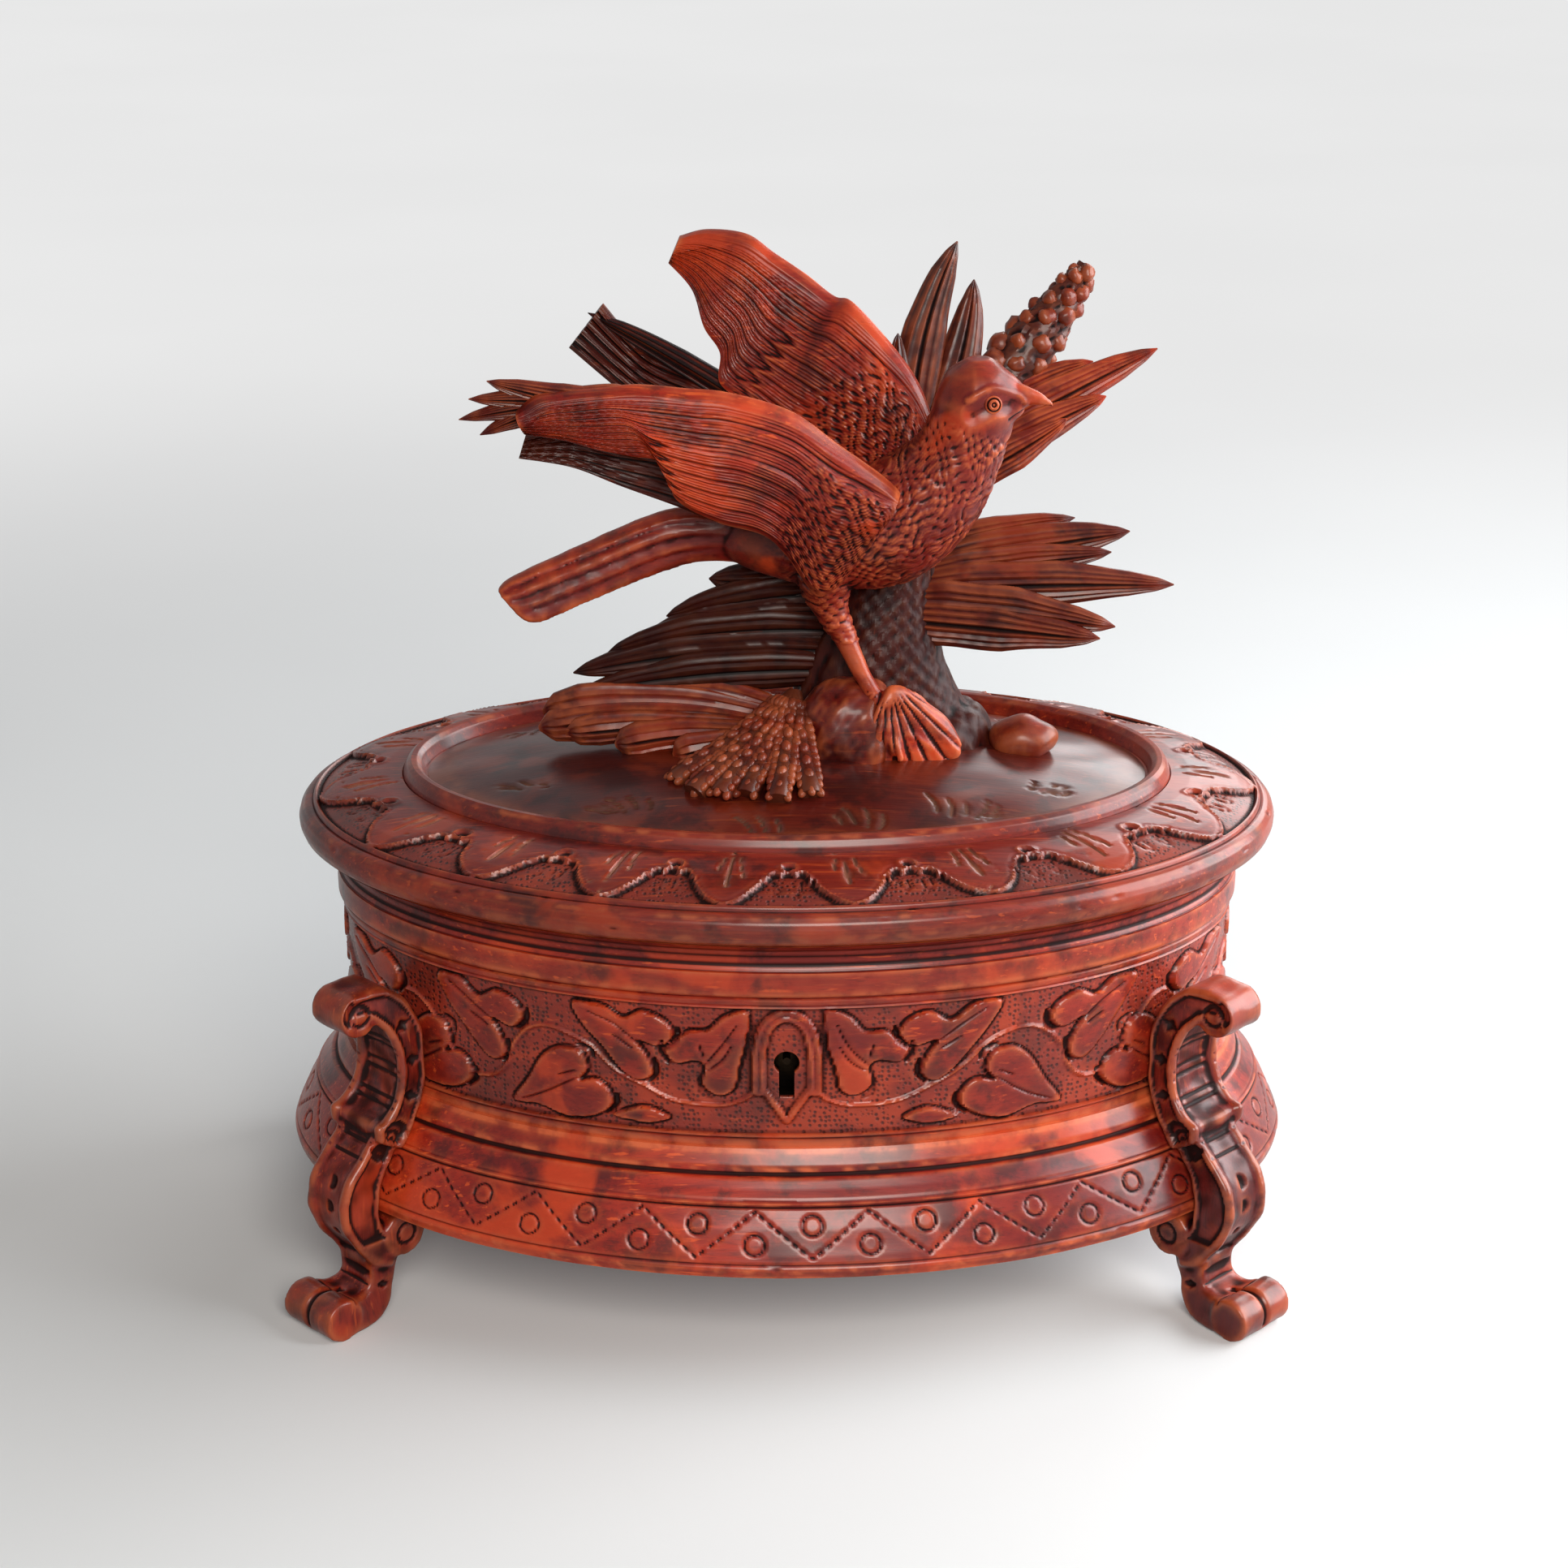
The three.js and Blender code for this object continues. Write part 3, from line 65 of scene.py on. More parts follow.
def link_object(name, data):
    obj = bpy.data.objects.new(name, data)
    bpy.context.scene.collection.objects.link(obj)
    return obj


camera_data = bpy.data.cameras.new("photo_camera")
camera_data.sensor_width = 36
camera_data.lens = 74.39
camera_data.shift_x = -0.0017
camera = link_object("photo_camera", camera_data)
camera.location = (0, -view_distance * math.cos(view_down), look_height + view_distance * math.sin(view_down))
camera.rotation_euler = (math.pi / 2 - view_down, 0, 0)
bpy.context.scene.camera = camera
print("camera at", [round(value, 3) for value in camera.location])


# %% [markdown]
# ## Shader maths
# A finish is a small sum: grain plus wear plus dirt and painted shade. Math nodes can be wired one by one,
# but a sum is easier to read as a sum. This class wraps a socket, so that Python's own signs add the Math
# nodes.

# %% A socket that can be added and multiplied
class Wire:
    """One socket of a finish. Its signs add Math nodes, and node() adds any other node."""

    def __init__(self, tree, socket=None):
        self.tree = tree
        self.socket = socket

    def node(self, kind, settings=None, values=None, output=0):
        made = self.tree.nodes.new(kind)
        for key, value in (settings or {}).items():
            setattr(made, key, value)
        for key, value in (values or {}).items():
            if isinstance(value, Wire):
                self.tree.links.new(value.socket, made.inputs[key])
            else:
                made.inputs[key].default_value = value
        return Wire(self.tree, made.outputs[output] if len(made.outputs) else None)

    def math(self, operation, first, second=0.0, clamp=False):
        settings = {"operation": operation, "use_clamp": clamp}
        return self.node("ShaderNodeMath", settings, {0: first, 1: second})

    def __add__(self, other):
        return self.math("ADD", self, other)

    __radd__ = __add__

    def __sub__(self, other):
        return self.math("SUBTRACT", self, other)

    def __rsub__(self, other):
        return self.math("SUBTRACT", other, self)

    def __mul__(self, other):
        return self.math("MULTIPLY", self, other)

    __rmul__ = __mul__

    def clamp(self):
        return self.math("ADD", self, 0.0, clamp=True)

    def band(self, low, high):
        """0 below low, 1 above high, smooth between them."""
        return self.node("ShaderNodeMapRange", {"interpolation_type": "SMOOTHSTEP"},
                         {"Value": self, "From Min": low, "From Max": high})

    def mix(self, first, second):
        """The second colour where this is 1, the first where it is 0."""
        return self.node("ShaderNodeMix", {"data_type": "RGBA"}, {0: self, 6: first, 7: second}, 2)


print("signs of a socket ready")


# %% Colours, noise and the shader that ends a finish
def new_finish(name):
    material = bpy.data.materials.new(name)
    material.use_nodes = True
    material.node_tree.nodes.clear()
    return material, Wire(material.node_tree)


def linear(value):
    """One channel, 0 to 255 as a picture editor shows it, as the linear value that a shader takes."""
    return ((value / 255 + 0.055) / 1.055) ** 2.4 if value > 10 else value / 255 / 12.92


def rgb(red, green, blue):
    return linear(red), linear(green), linear(blue), 1


def noise(start, place, scale, detail, roughness=0.5, distortion=0.0):
    """Blender's noise, 0 to 1, with that many features in a metre."""
    return start.node("ShaderNodeTexNoise", {}, {"Vector": place, "Scale": scale, "Detail": detail,
                                                 "Roughness": roughness, "Distortion": distortion})


def close_finish(material, start, values, bump, depth):
    """Puts the values and a bump, that deep in metres, into a Principled shader."""
    normal = start.node("ShaderNodeBump", {}, {"Height": bump, "Distance": depth})
    shader = start.node("ShaderNodeBsdfPrincipled", {}, {**values, "Normal": normal})
    start.node("ShaderNodeOutputMaterial", {}, {"Surface": shader})
    return material


print("shader maths ready")

# %% [markdown]
# ## Floor and lamps
# A large soft lamp stands on the right, as a window would. A warmer one fills the front, a small one lights
# the back, and the sky light is weak and even. The pale background could be a bright world, but that would
# wash out the varnish. So only the camera sees it in full, and a reflection sees a part of it.

# %% Floor, lamps and background
mirrored = 0.45
backdrop = rgb(233, 233, 233)
floor_half = 6.0


def sees_backdrop(start):
    """1 for rays from the camera or through glass, and a part of it for rays that a shiny finish reflects."""
    camera_ray = start.node("ShaderNodeLightPath", {}, {}, 0)
    glossy_ray = start.node("ShaderNodeLightPath", {}, {}, 3)
    glass_ray = start.node("ShaderNodeLightPath", {}, {}, 6)
    return (camera_ray + glass_ray + glossy_ray * mirrored).clamp()


floor_mesh = bpy.data.meshes.new("studio_floor")
floor_corners = [(floor_half * x, floor_half * y, 0) for x, y in ((-1, -1), (1, -1), (1, 1), (-1, 1))]
floor_mesh.from_pydata(floor_corners, [], [(0, 1, 2, 3)])
studio_floor = link_object("studio_floor", floor_mesh)
paper, start = new_finish("pale_paper")
spot = start.node("ShaderNodeTexCoord", {}, {}, 3)
mottle = noise(start, spot, 3.0, 3.0).band(0.3, 0.7)
far_out = start.node("ShaderNodeVectorMath", {"operation": "LENGTH"}, {0: spot}, 1).band(0.25, 1.1)
shown = sees_backdrop(start)
shade = shown.mix(rgb(150, 148, 146), mottle.mix(rgb(233, 234, 235), rgb(237, 238, 239)))
lit = start.node("ShaderNodeBsdfPrincipled", {},
                 {"Base Color": shade, "Roughness": 0.9, "Specular IOR Level": 0.2})
glow = mottle.mix(rgb(231, 231, 231), backdrop)
even = start.node("ShaderNodeEmission", {}, {"Color": glow, "Strength": 1.0})
blend_in = shown * (0.1 + 0.9 * far_out)
paper_mix = start.node("ShaderNodeMixShader", {}, {0: blend_in, 1: lit, 2: even})
start.node("ShaderNodeOutputMaterial", {}, {"Surface": paper_mix})
floor_mesh.materials.append(paper)


def add_lamp(name, place, aim, size, power, tint):
    data = bpy.data.lights.new(name, "AREA")
    data.shape = "RECTANGLE"
    data.size, data.size_y = size
    data.energy = power
    data.color = tint
    lamp = link_object(name, data)
    lamp.location = place
    lamp.rotation_euler = (Vector(aim) - Vector(place)).to_track_quat("-Z", "Y").to_euler()


add_lamp("window", (0.9, 0.0, 0.5), (0, 0, 0.1), (1.0, 0.8), 17.0, (0.94, 0.98, 1))
add_lamp("front_fill", (0.16, -1.12, 0.76), (0, 0, 0.08), (0.6, 0.5), 11.0, (1, 0.95, 0.88))
add_lamp("back_light", (0.6, 0.95, 0.6), (0.03, 0, 0.12), (0.8, 0.5), 5.0, (1, 1, 1))
world = bpy.data.worlds.new("studio_air")
bpy.context.scene.world = world
world.use_nodes = True
world.node_tree.nodes.clear()
air = Wire(world.node_tree)
seen = sees_backdrop(air)
around = air.node("ShaderNodeBackground", {}, {"Color": (1, 1, 1, 1), "Strength": 0.06})
behind = air.node("ShaderNodeBackground", {}, {"Color": backdrop, "Strength": 1.0})
sky = air.node("ShaderNodeMixShader", {}, {0: seen, 1: around, 2: behind})
air.node("ShaderNodeOutputWorld", {}, {"Surface": sky})
bpy.context.scene.view_settings.view_transform = "Standard"


# %% [markdown]
# ## Walnut, worn by hand
# Carved walnut that has been stained and varnished is dark in its hollows, where wax and dust stay and where
# shade falls, and orange on the ridges, where hands rub the stain away. Painting that by hand would need a
# map for every piece. Here each carved mesh measures itself: a point that stands out of its smoothed
# neighbours is worn, and one that lies below them gets dirt and painted shade. The finish reads both as
# attributes.

# %% Measure ridges and hollows
near_passes = 4
far_passes = 24


def smoothed(mesh, passes):
    """Gives the mesh's points after each pass, in which every point goes to the middle of its neighbours."""
    points = mesh_points(mesh)
    edges = np.empty(len(mesh.edges) * 2, int)
    mesh.edges.foreach_get("vertices", edges)
    edges = edges.reshape(-1, 2)
    counts = np.maximum(np.bincount(edges.ravel(), minlength=len(points)), 1)
    for _ in range(passes):
        total = np.zeros_like(points)
        for axis in range(3):
            total[:, axis] = np.bincount(edges[:, 0], points[edges[:, 1], axis], len(points))
            total[:, axis] += np.bincount(edges[:, 1], points[edges[:, 0], axis], len(points))
        points = total / counts[:, None]
        yield points


def mesh_points(mesh):
    points = np.empty(len(mesh.vertices) * 3)
    mesh.vertices.foreach_get("co", points)
    return points.reshape(-1, 3)


def mesh_normals(mesh):
    normals = np.empty(len(mesh.vertices) * 3)
    mesh.vertex_normals.foreach_get("vector", normals)
    return normals.reshape(-1, 3)


def move_points(mesh, points):
    mesh.vertices.foreach_set("co", points.ravel())
    mesh.update()


def store(mesh, name, values):
    made = mesh.attributes.get(name) or mesh.attributes.new(name, "FLOAT", "POINT")
    made.data.foreach_set("value", np.asarray(values, np.float32))


def stored(mesh, name):
    """The values of an attribute, or zeros where the mesh has none of that name."""
    values = np.zeros(len(mesh.vertices))
    if name in mesh.attributes:
        mesh.attributes[name].data.foreach_get("value", values)
    return values


print("mesh readers ready")


# %% Store wear and dirt
def age(obj, fine=0.00014, broad=0.0012, flat=-1.0):
    """Stores worn and deep, 0 to 1, from how far each point stands from its smoothed place. deep is dirt and
    painted shade in the hollows. fine and broad are the heights, in metres, that count as full. A plain face
    at the height flat, in mm, isn't worn."""
    mesh = obj.data
    points = mesh_points(mesh)
    normals = mesh_normals(mesh)
    near, far = [np.einsum("ij,ij->i", points - smooth, normals)
                 for done, smooth in enumerate(smoothed(mesh, far_passes), 1)
                 if done in (near_passes, far_passes)]
    worn = np.clip(near / fine * 0.6 + far / broad * 0.6, 0, 1)
    store(mesh, "worn", worn * (np.abs(points[:, 2] * mm_per_metre - flat) > 0.2))
    # deep is dirt and painted shade: the broad smoothing darkens wide hollows as shade would.
    hollow = -near / fine * 0.6 - far / broad * 0.8
    store(mesh, "deep", np.clip(np.maximum(stored(mesh, "dust"), hollow), 0, 1))
    return obj


def rub(obj, levels):
    """Adds broken wear along turned edges. Each is a height and a reach in millimetres."""
    points = mesh_points(obj.data) * mm_per_metre
    worn = stored(obj.data, "worn")
    broken = np.clip(0.35 + ripple(points, 5, 71), 0, 1)
    for level, reach in levels:
        worn = np.maximum(worn, broken * ridge(np.abs(points[:, 2] - level), reach, 1.2))
    store(obj.data, "worn", worn)


print("wear measures ready")

# %% Carved walnut
grain_stretch = {"x": (4, 60, 60), "z": (60, 60, 5)}
stump_foot = (-0.022, -0.008, -0.165)


def carved_walnut(name, along="x", tint=1.0, shine=0.8, wear=1.0, plain=False, stump_shade=0.0):
    """Stained and varnished walnut, with its grain along one axis. Its last argument paints shade round the
    stump.
    """
    def tone(red, green, blue):
        return rgb(red * tint, green * tint, blue * tint)

    material, start = new_finish(name)
    place = start.node("ShaderNodeTexCoord", {}, {}, 3)
    along_grain = start.node("ShaderNodeMapping", {}, {"Vector": place, "Scale": grain_stretch[along]})
    figure = noise(start, along_grain, 6.5, 5.0, 0.66, 0.3)
    pores = noise(start, along_grain, 32.0, 2.0)
    patches = noise(start, place, 13.0, 3.0)
    streaks = noise(start, along_grain, 15.0, 3.0).band(0.6, 0.7)
    colour = figure.band(0.34, 0.68).mix(tone(128, 25, 15), tone(166, 43, 23))
    colour = (patches.band(0.42, 0.64) * 0.7).mix(colour, tone(84, 11, 16))
    colour = (pores.band(0.56, 0.7) * 0.35).mix(colour, tone(52, 8, 10))
    colour = (streaks * (1 - patches.band(0.44, 0.6)) * 0.8).mix(colour, tone(216, 84, 36))
    stains = noise(start, place, 88.0, 6.0, 0.62)
    glow = noise(start, place, 47.0, 5.0, 0.5, 0.4)
    colour = (stains.band(0.5, 0.62) * 0.7).mix(colour, tone(52, 6, 10))
    colour = (glow.band(0.53, 0.64) * 0.6).mix(colour, tone(212, 70, 28))
    roughness = 0.33 + pores * 0.1 + stains * 0.1
    bump = pores * 0.2 + figure * 0.15
    # Painted shade round the stump, darker nearer to it.
    if stump_shade:
        flat = start.node("ShaderNodeMapping", {},
                          {"Vector": place, "Location": stump_foot, "Scale": (1, 1, 0.62)})
        from_stump = start.node("ShaderNodeVectorMath", {"operation": "LENGTH"}, {0: flat}, 1)
        painted_shade_near_stump = 1 - from_stump.band(0.02, 0.052)
        colour = (painted_shade_near_stump * stump_shade).mix(colour, tone(38, 9, 9))
    if not plain:
        worn, deep, punched_and_cut_highlight = [start.node("ShaderNodeAttribute", {"attribute_name": label}, {}, 2)
                               for label in ("worn", "deep", "punched_and_cut_highlight")]
        scuff = noise(start, place, 160.0, 4.0).band(0.36, 0.62)
        dots = start.node("ShaderNodeTexVoronoi", {}, {"Vector": place, "Scale": 820.0, "Randomness": 0.55})
        pit = 1 - dots.band(0.12, 0.46)
        # A negative punched value carries a painted highlight along the gouge cuts.
        cut_highlight = (0 - punched_and_cut_highlight).clamp()
        punched_and_cut_highlight = punched_and_cut_highlight.clamp()
        colour = (punched_and_cut_highlight * 0.4).mix(colour, tone(150, 60, 42))
        colour = (worn * wear * (scuff * 0.7 + 0.2)).clamp().mix(colour, tone(206, 98, 56))
        # Dirt and painted shade in the hollows.
        colour = (deep.band(0.1, 0.75) * 0.95).mix(colour, tone(20, 5, 5))
        colour = (punched_and_cut_highlight * pit * 0.75).mix(colour, tone(42, 9, 9))
        # Painted highlight: pale where light catches the gouge cuts.
        colour = (cut_highlight * (scuff * 0.35 + 0.65)).clamp().mix(colour, tone(222, 142, 112))
        roughness = roughness + deep * 0.2 + punched_and_cut_highlight * 0.12
        bump = bump - punched_and_cut_highlight * pit * 1.6
        # The varnish's sheen is taken out of the hollows along with the painted shade.
        shine = (1 - deep.band(0.1, 0.6) * 0.9) * shine
    values = {"Base Color": colour, "Roughness": roughness.clamp(), "Specular IOR Level": 0.15,
              "Coat Weight": shine, "Coat Roughness": 0.26}
    return close_finish(material, start, values, bump, 0.00022)


body_walnut = carved_walnut("body_walnut")
leg_walnut = carved_walnut("leg_walnut", "z", 0.9, 0.85, 0.95)
# Painted light and shade in the tints: the base is a lighter copy of the walnut, and the lid's mound and
# border are darker copies, for how the light falls on them.
base_walnut_painted_light = carved_walnut("base_walnut_painted_light", tint=1.1)
mound_walnut_painted_shade = carved_walnut("mound_walnut_painted_shade", tint=0.56)
border_walnut_painted_shade = carved_walnut("border_walnut_painted_shade", tint=0.82)
group_walnut = carved_walnut("group_walnut", "x", 1.0, 0.5, 1.0)
lit_walnut = carved_walnut("lit_walnut", "x", 0.98, 0.25, 1.1)
# The shade, rear, dark, low and leaf walnut carry painted shade round the stump.
shade_walnut = carved_walnut("shade_walnut", "x", 0.74, 0.5, 1.1, stump_shade=0.85)
rear_walnut = carved_walnut("rear_walnut", "x", 0.5, 0.4, 0.9, stump_shade=0.85)
dark_walnut = carved_walnut("dark_walnut", "x", 0.36, 0.2, 0.7, stump_shade=0.8)
low_walnut = carved_walnut("low_walnut", "x", 0.66, 0.6, 1.1, stump_shade=0.9)
bark_walnut = carved_walnut("bark_walnut", "z", 0.4, 0.08, 0.9)
leaf_walnut = carved_walnut("leaf_walnut", "x", 0.98, 0.5, 1.0, stump_shade=0.9)
wheat_walnut = carved_walnut("wheat_walnut", "x", 0.72, 0.4, 1.1)
print("walnut finishes ready")


# %% [markdown]
# ## Meshes from grids
# Carving on a turned oval is a height above a known surface. A displacement modifier with an image could
# raise it, but a grid of points that are moved along their own normals keeps the cut edges crisp and needs
# no image. The grid follows a short profile round the oval, in millimetres.

# %% Meshes and their faces
half_long = 110.5
half_wide = 73.0
sharp_angle = 0.7


def build_mesh(name, points, faces, material):
    """A mesh object from points in millimetres. Its faces are turned outwards and its sharp edges kept."""
    mesh = bpy.data.meshes.new(name)
    mesh.from_pydata((np.asarray(points, float) * mm).tolist(), [], [tuple(face) for face in faces])
    mesh.update()
    turn_outwards(mesh)
    smooth_faces(mesh)
    mesh.set_sharp_from_angle(angle=sharp_angle)
    mesh.materials.append(material)
    return link_object(name, mesh)


def smooth_faces(mesh):
    mesh.polygons.foreach_set("use_smooth", np.ones(len(mesh.polygons), bool))


def turn_outwards(mesh):
    mesh.calc_loop_triangles()
    corners = np.empty(len(mesh.loop_triangles) * 3, int)
    mesh.loop_triangles.foreach_get("vertices", corners)
    a, b, c = mesh_points(mesh)[corners].reshape(-1, 3, 3).transpose(1, 0, 2)
    if np.einsum("ij,ij->i", a, np.cross(b, c)).sum() < 0:
        mesh.flip_normals()
        mesh.update()


def grid_faces(rows, columns, closed=False):
    """Four corners of each face of a grid whose columns go round. Where it is closed, its rows do too."""
    r = np.arange(rows if closed else rows - 1)
    r, c = [axis.ravel() for axis in np.meshgrid(r, np.arange(columns), indexing="ij")]
    below, beside = (r + 1) % rows, (c + 1) % columns
    return np.stack([r * columns + c, r * columns + beside, below * columns + beside, below * columns + c], 1)


def grid_normals(points):
    """Normals of a grid whose rows and columns both go round."""
    across = np.roll(points, -1, 1) - np.roll(points, 1, 1)
    down = np.roll(points, -1, 0) - np.roll(points, 1, 0)
    normals = np.cross(across, down)
    return normals / np.maximum(np.linalg.norm(normals, axis=2, keepdims=True), 1e-9)


print("meshes ready")


# %% Steps, ripples and curves
def full_turn(count):
    """Equal steps round a circle, in radians."""
    return np.arange(count) * 2 * math.pi / count


def ridge(far, half, top=1):
    """1 where the distance far is nothing, 0 from half on, straight between. A higher top widens the 1."""
    return np.clip(top - far / half, 0, 1)


def step(values, width):
    """0 below nothing, 1 above the width, smooth between."""
    t = np.clip(np.asarray(values) / width, 0, 1)
    return t * t * (3 - 2 * t)


def ripple(points, size, seed):
    """A smooth random height, about -1 to 1, with features of that size. Points are in millimetres."""
    draw = np.random.default_rng(seed)
    waves = 14
    total = 0
    for _ in range(waves):
        turn = draw.normal(size=points.shape[-1])
        turn /= np.linalg.norm(turn)
        pitch = size * draw.uniform(0.7, 1.5)
        total = total + np.sin(points @ turn * (2 * math.pi / pitch) + draw.uniform(0, 6.3))
    return total / math.sqrt(waves)


def curve_through(points, closed=False, count=7):
    """A smooth line through a few points, with count steps in each span."""
    p = np.asarray(points, float)
    spans = len(p) if closed else len(p) - 1
    line = []
    for i in range(spans):
        if closed:
            before, first, second, after = p[i - 1], p[i], p[(i + 1) % len(p)], p[(i + 2) % len(p)]
        else:
            before, first, second, after = p[max(i - 1, 0)], p[i], p[i + 1], p[min(i + 2, len(p) - 1)]
        bend = 2 * before - 5 * first + 4 * second - after
        twist = 3 * first - before - 3 * second + after
        for t in np.arange(count) / count:
            line.append(0.5 * (2 * first + (second - before) * t + bend * t * t + twist * t ** 3))
    if not closed:
        line.append(p[-1])
    return np.array(line)


def line_distance(x, y, line, closed=False):
    """How far each point is from a line in the plane, and its nearest place along the line, 0 to 1."""
    starts = line
    ends = np.roll(line, -1, 0)
    if not closed:
        starts, ends = starts[:-1], ends[:-1]
    best = np.full(np.shape(x), 1e9)
    along = np.zeros(np.shape(x))
    for k, (a, b) in enumerate(zip(starts, ends)):
        span = b - a
        length = max(span @ span, 1e-12)
        t = np.clip(((x - a[0]) * span[0] + (y - a[1]) * span[1]) / length, 0, 1)
        far = np.hypot(x - a[0] - t * span[0], y - a[1] - t * span[1])
        nearer = far < best
        best = np.where(nearer, far, best)
        along = np.where(nearer, (k + t) / len(starts), along)
    return best, along


def inside_outline(x, y, outline):
    """Distance inside a closed outline, below zero outside it."""
    far, _ = line_distance(x, y, outline, True)
    inside = np.zeros(np.shape(x), bool)
    for a, b in zip(outline, np.roll(outline, -1, 0)):
        crosses = (a[1] > y) != (b[1] > y)
        slope = (b[0] - a[0]) / (b[1] - a[1] if b[1] != a[1] else 1e-9)
        inside ^= crosses & (x < a[0] + (y - a[1]) * slope)
    return np.where(inside, far, -far)


print("curves ready")


# %% Skins round the oval
def oval_columns(count):
    """Angles at equal steps along the wall's oval, from the front's middle to the right, with their places
    in millimetres and the oval's whole girth."""
    fine = np.linspace(-math.pi / 2, 1.5 * math.pi, 20001)
    x, y = half_long * np.cos(fine), half_wide * np.sin(fine)
    run = np.concatenate([[0], np.cumsum(np.hypot(np.diff(x), np.diff(y)))])
    places = run[-1] * np.arange(count) / count
    return np.interp(places, run, fine), places, run[-1]


def profile_rows(profile, fine):
    """Puts rows along a profile of spreads and heights, no further apart than fine or a point's own step."""
    rows = []
    for k, row in enumerate(profile):
        following = profile[(k + 1) % len(profile)]
        gap = math.hypot(following[0] - row[0], following[1] - row[1])
        pitch = row[2] if len(row) > 2 else fine
        steps = max(1, math.ceil(gap / pitch))
        for j in range(steps):
            rows.append([row[axis] + (following[axis] - row[axis]) * j / steps for axis in (0, 1)])
    return np.array(rows)


def oval_skin(name, profile, columns, relief, material, fine=0.5, ages=(0.0002, 0.0018)):
    """A closed ring round the oval. relief gives its height in millimetres and its punched ground."""
    angles, places, girth = oval_columns(columns)
    rows = profile_rows(profile, fine)
    spread, height = rows[:, 0][:, None], rows[:, 1][:, None]
    points = np.stack([(half_long + spread) * np.cos(angles), (half_wide + spread) * np.sin(angles),
                       height + 0 * angles], 2)
    normals = grid_normals(points)
    outward = np.sign((normals[..., 0] * np.cos(angles) + normals[..., 1] * np.sin(angles))[0].sum())
    place = np.where(places > girth / 2, places - girth, places)[None, :] + 0 * spread
    raised, punched_and_cut_highlight = relief(place, spread + 0 * place, height + 0 * place, girth)
    points += normals * outward * raised[..., None]
    obj = build_mesh(name, points.reshape(-1, 3), grid_faces(len(rows), columns, True), material)
    store(obj.data, "punched_and_cut_highlight", punched_and_cut_highlight.ravel())
    return age(obj, *ages)


def place_piece(obj, body, *nodes, slot="walnut"):
    """Hangs the finished piece on its body, in place of the frame's nodes."""
    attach(obj, body)
    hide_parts(*nodes)
    triangles = sum(len(face.vertices) - 2 for face in obj.data.polygons)
    print(obj.name, triangles, "triangles")


print("skins round the oval ready")


# %% [markdown]
# ## The ivy band
# The wall is carved in low relief: heart-shaped ivy leaves on a waving stem, on a ground sunk about a
# millimetre and punched with dots. A horseshoe frames the keyhole. The leaves are drawn here as outlines in
# millimetres, along the wall and up from the table. Inside an outline the wood stays high, and short lines
# are cut into it for veins and hollows. The same pair of leaves repeats round to the back, as the carver's
# own pattern would.

# %% Shapes of the ivy, for one side of the keyhole
ground_depth = 1.05
keyhole_leaf = [(8.9, 89.6), (14.5, 88.2), (18.5, 84.6), (23.5, 84), (28, 79.6), (26, 75.8), (21.3, 76.6),
                (19.3, 75), (20, 70.5), (16.2, 67.9), (12.3, 69.5), (10.9, 75), (9.2, 81.5)]
high_leaf = [(50.8, 88.6), (44, 89), (38.5, 86), (33.5, 88.2), (28.2, 86.2), (26.6, 82.6), (29.5, 79.4),
             (34.8, 80.6), (32.2, 76.6), (31.4, 72.4), (34.3, 70.4), (37.6, 71.6), (43, 77.4), (48.4, 83.4)]
heart_leaf = [(66.9, 60.8), (60, 60.9), (53, 59.2), (46, 60), (41.3, 63.4), (41.6, 67.6), (45, 69.9),
              (49.2, 68.9), (47.2, 72.2), (49.2, 76.4), (54, 77), (58.6, 73.6), (62.6, 67.4)]
low_sprig = [(27, 61.6), (32, 63.6), (36.5, 63), (41, 60.8), (35, 59.7), (30.5, 60)]
first_stem = [(7, 69.4), (9.5, 67), (16.5, 65.3), (27, 66.4), (35, 69.6), (42, 74), (48.5, 79.2), (56, 81.4),
              (62, 80), (66.6, 75), (69, 69.4), (72.5, 66), (77, 65)]
wave_stem = [(77, 65), (83, 68), (88, 75), (94, 80.6), (100, 81), (104, 75.5), (107, 68.5), (110, 66),
             (114.3, 65)]
leaf_pitch = 37.3
leaf_pairs = 7
keyhole_veins = [[(19, 75.6), (14.8, 80.5), (11.2, 86.5)], [(18.4, 74.2), (14.6, 77), (12.2, 81)],
                 [(19, 77.5), (20.5, 81.2)]]
high_veins = [[(33.6, 79.2), (40.5, 84.2), (47.8, 87.6)], [(35.6, 78.6), (41, 81.6)]]
heart_veins = [[(49.6, 69.6), (56.4, 65.2), (64.6, 61.6)], [(50, 71.4), (54.5, 69.4)]]
keyhole_hollows = [[(28.9, 81.4), (29.4, 78.2), (27, 75.2)], [(21, 72.2), (20.4, 68.6), (17.4, 67)]]
high_hollows = [[(25.8, 85), (25.8, 81.6), (28.2, 79)], [(31, 76.4), (30.4, 72.6), (32.6, 69.9)]]
heart_hollows = [[(40.3, 66.8), (40.2, 63.6), (43, 61)], [(46.2, 74.4), (46.8, 76.8), (50.2, 78)]]
print("leaf pairs on each side", leaf_pairs)


# %% Cutting leaves, stems and veins
def moved(shape, by):
    return [(x + by, y) for x, y in shape]


def near_shape(x, y, line, reach):
    low, high = line.min(0) - reach, line.max(0) + reach
    return np.nonzero((x > low[0]) & (x < high[0]) & (y > low[1]) & (y < high[1]))


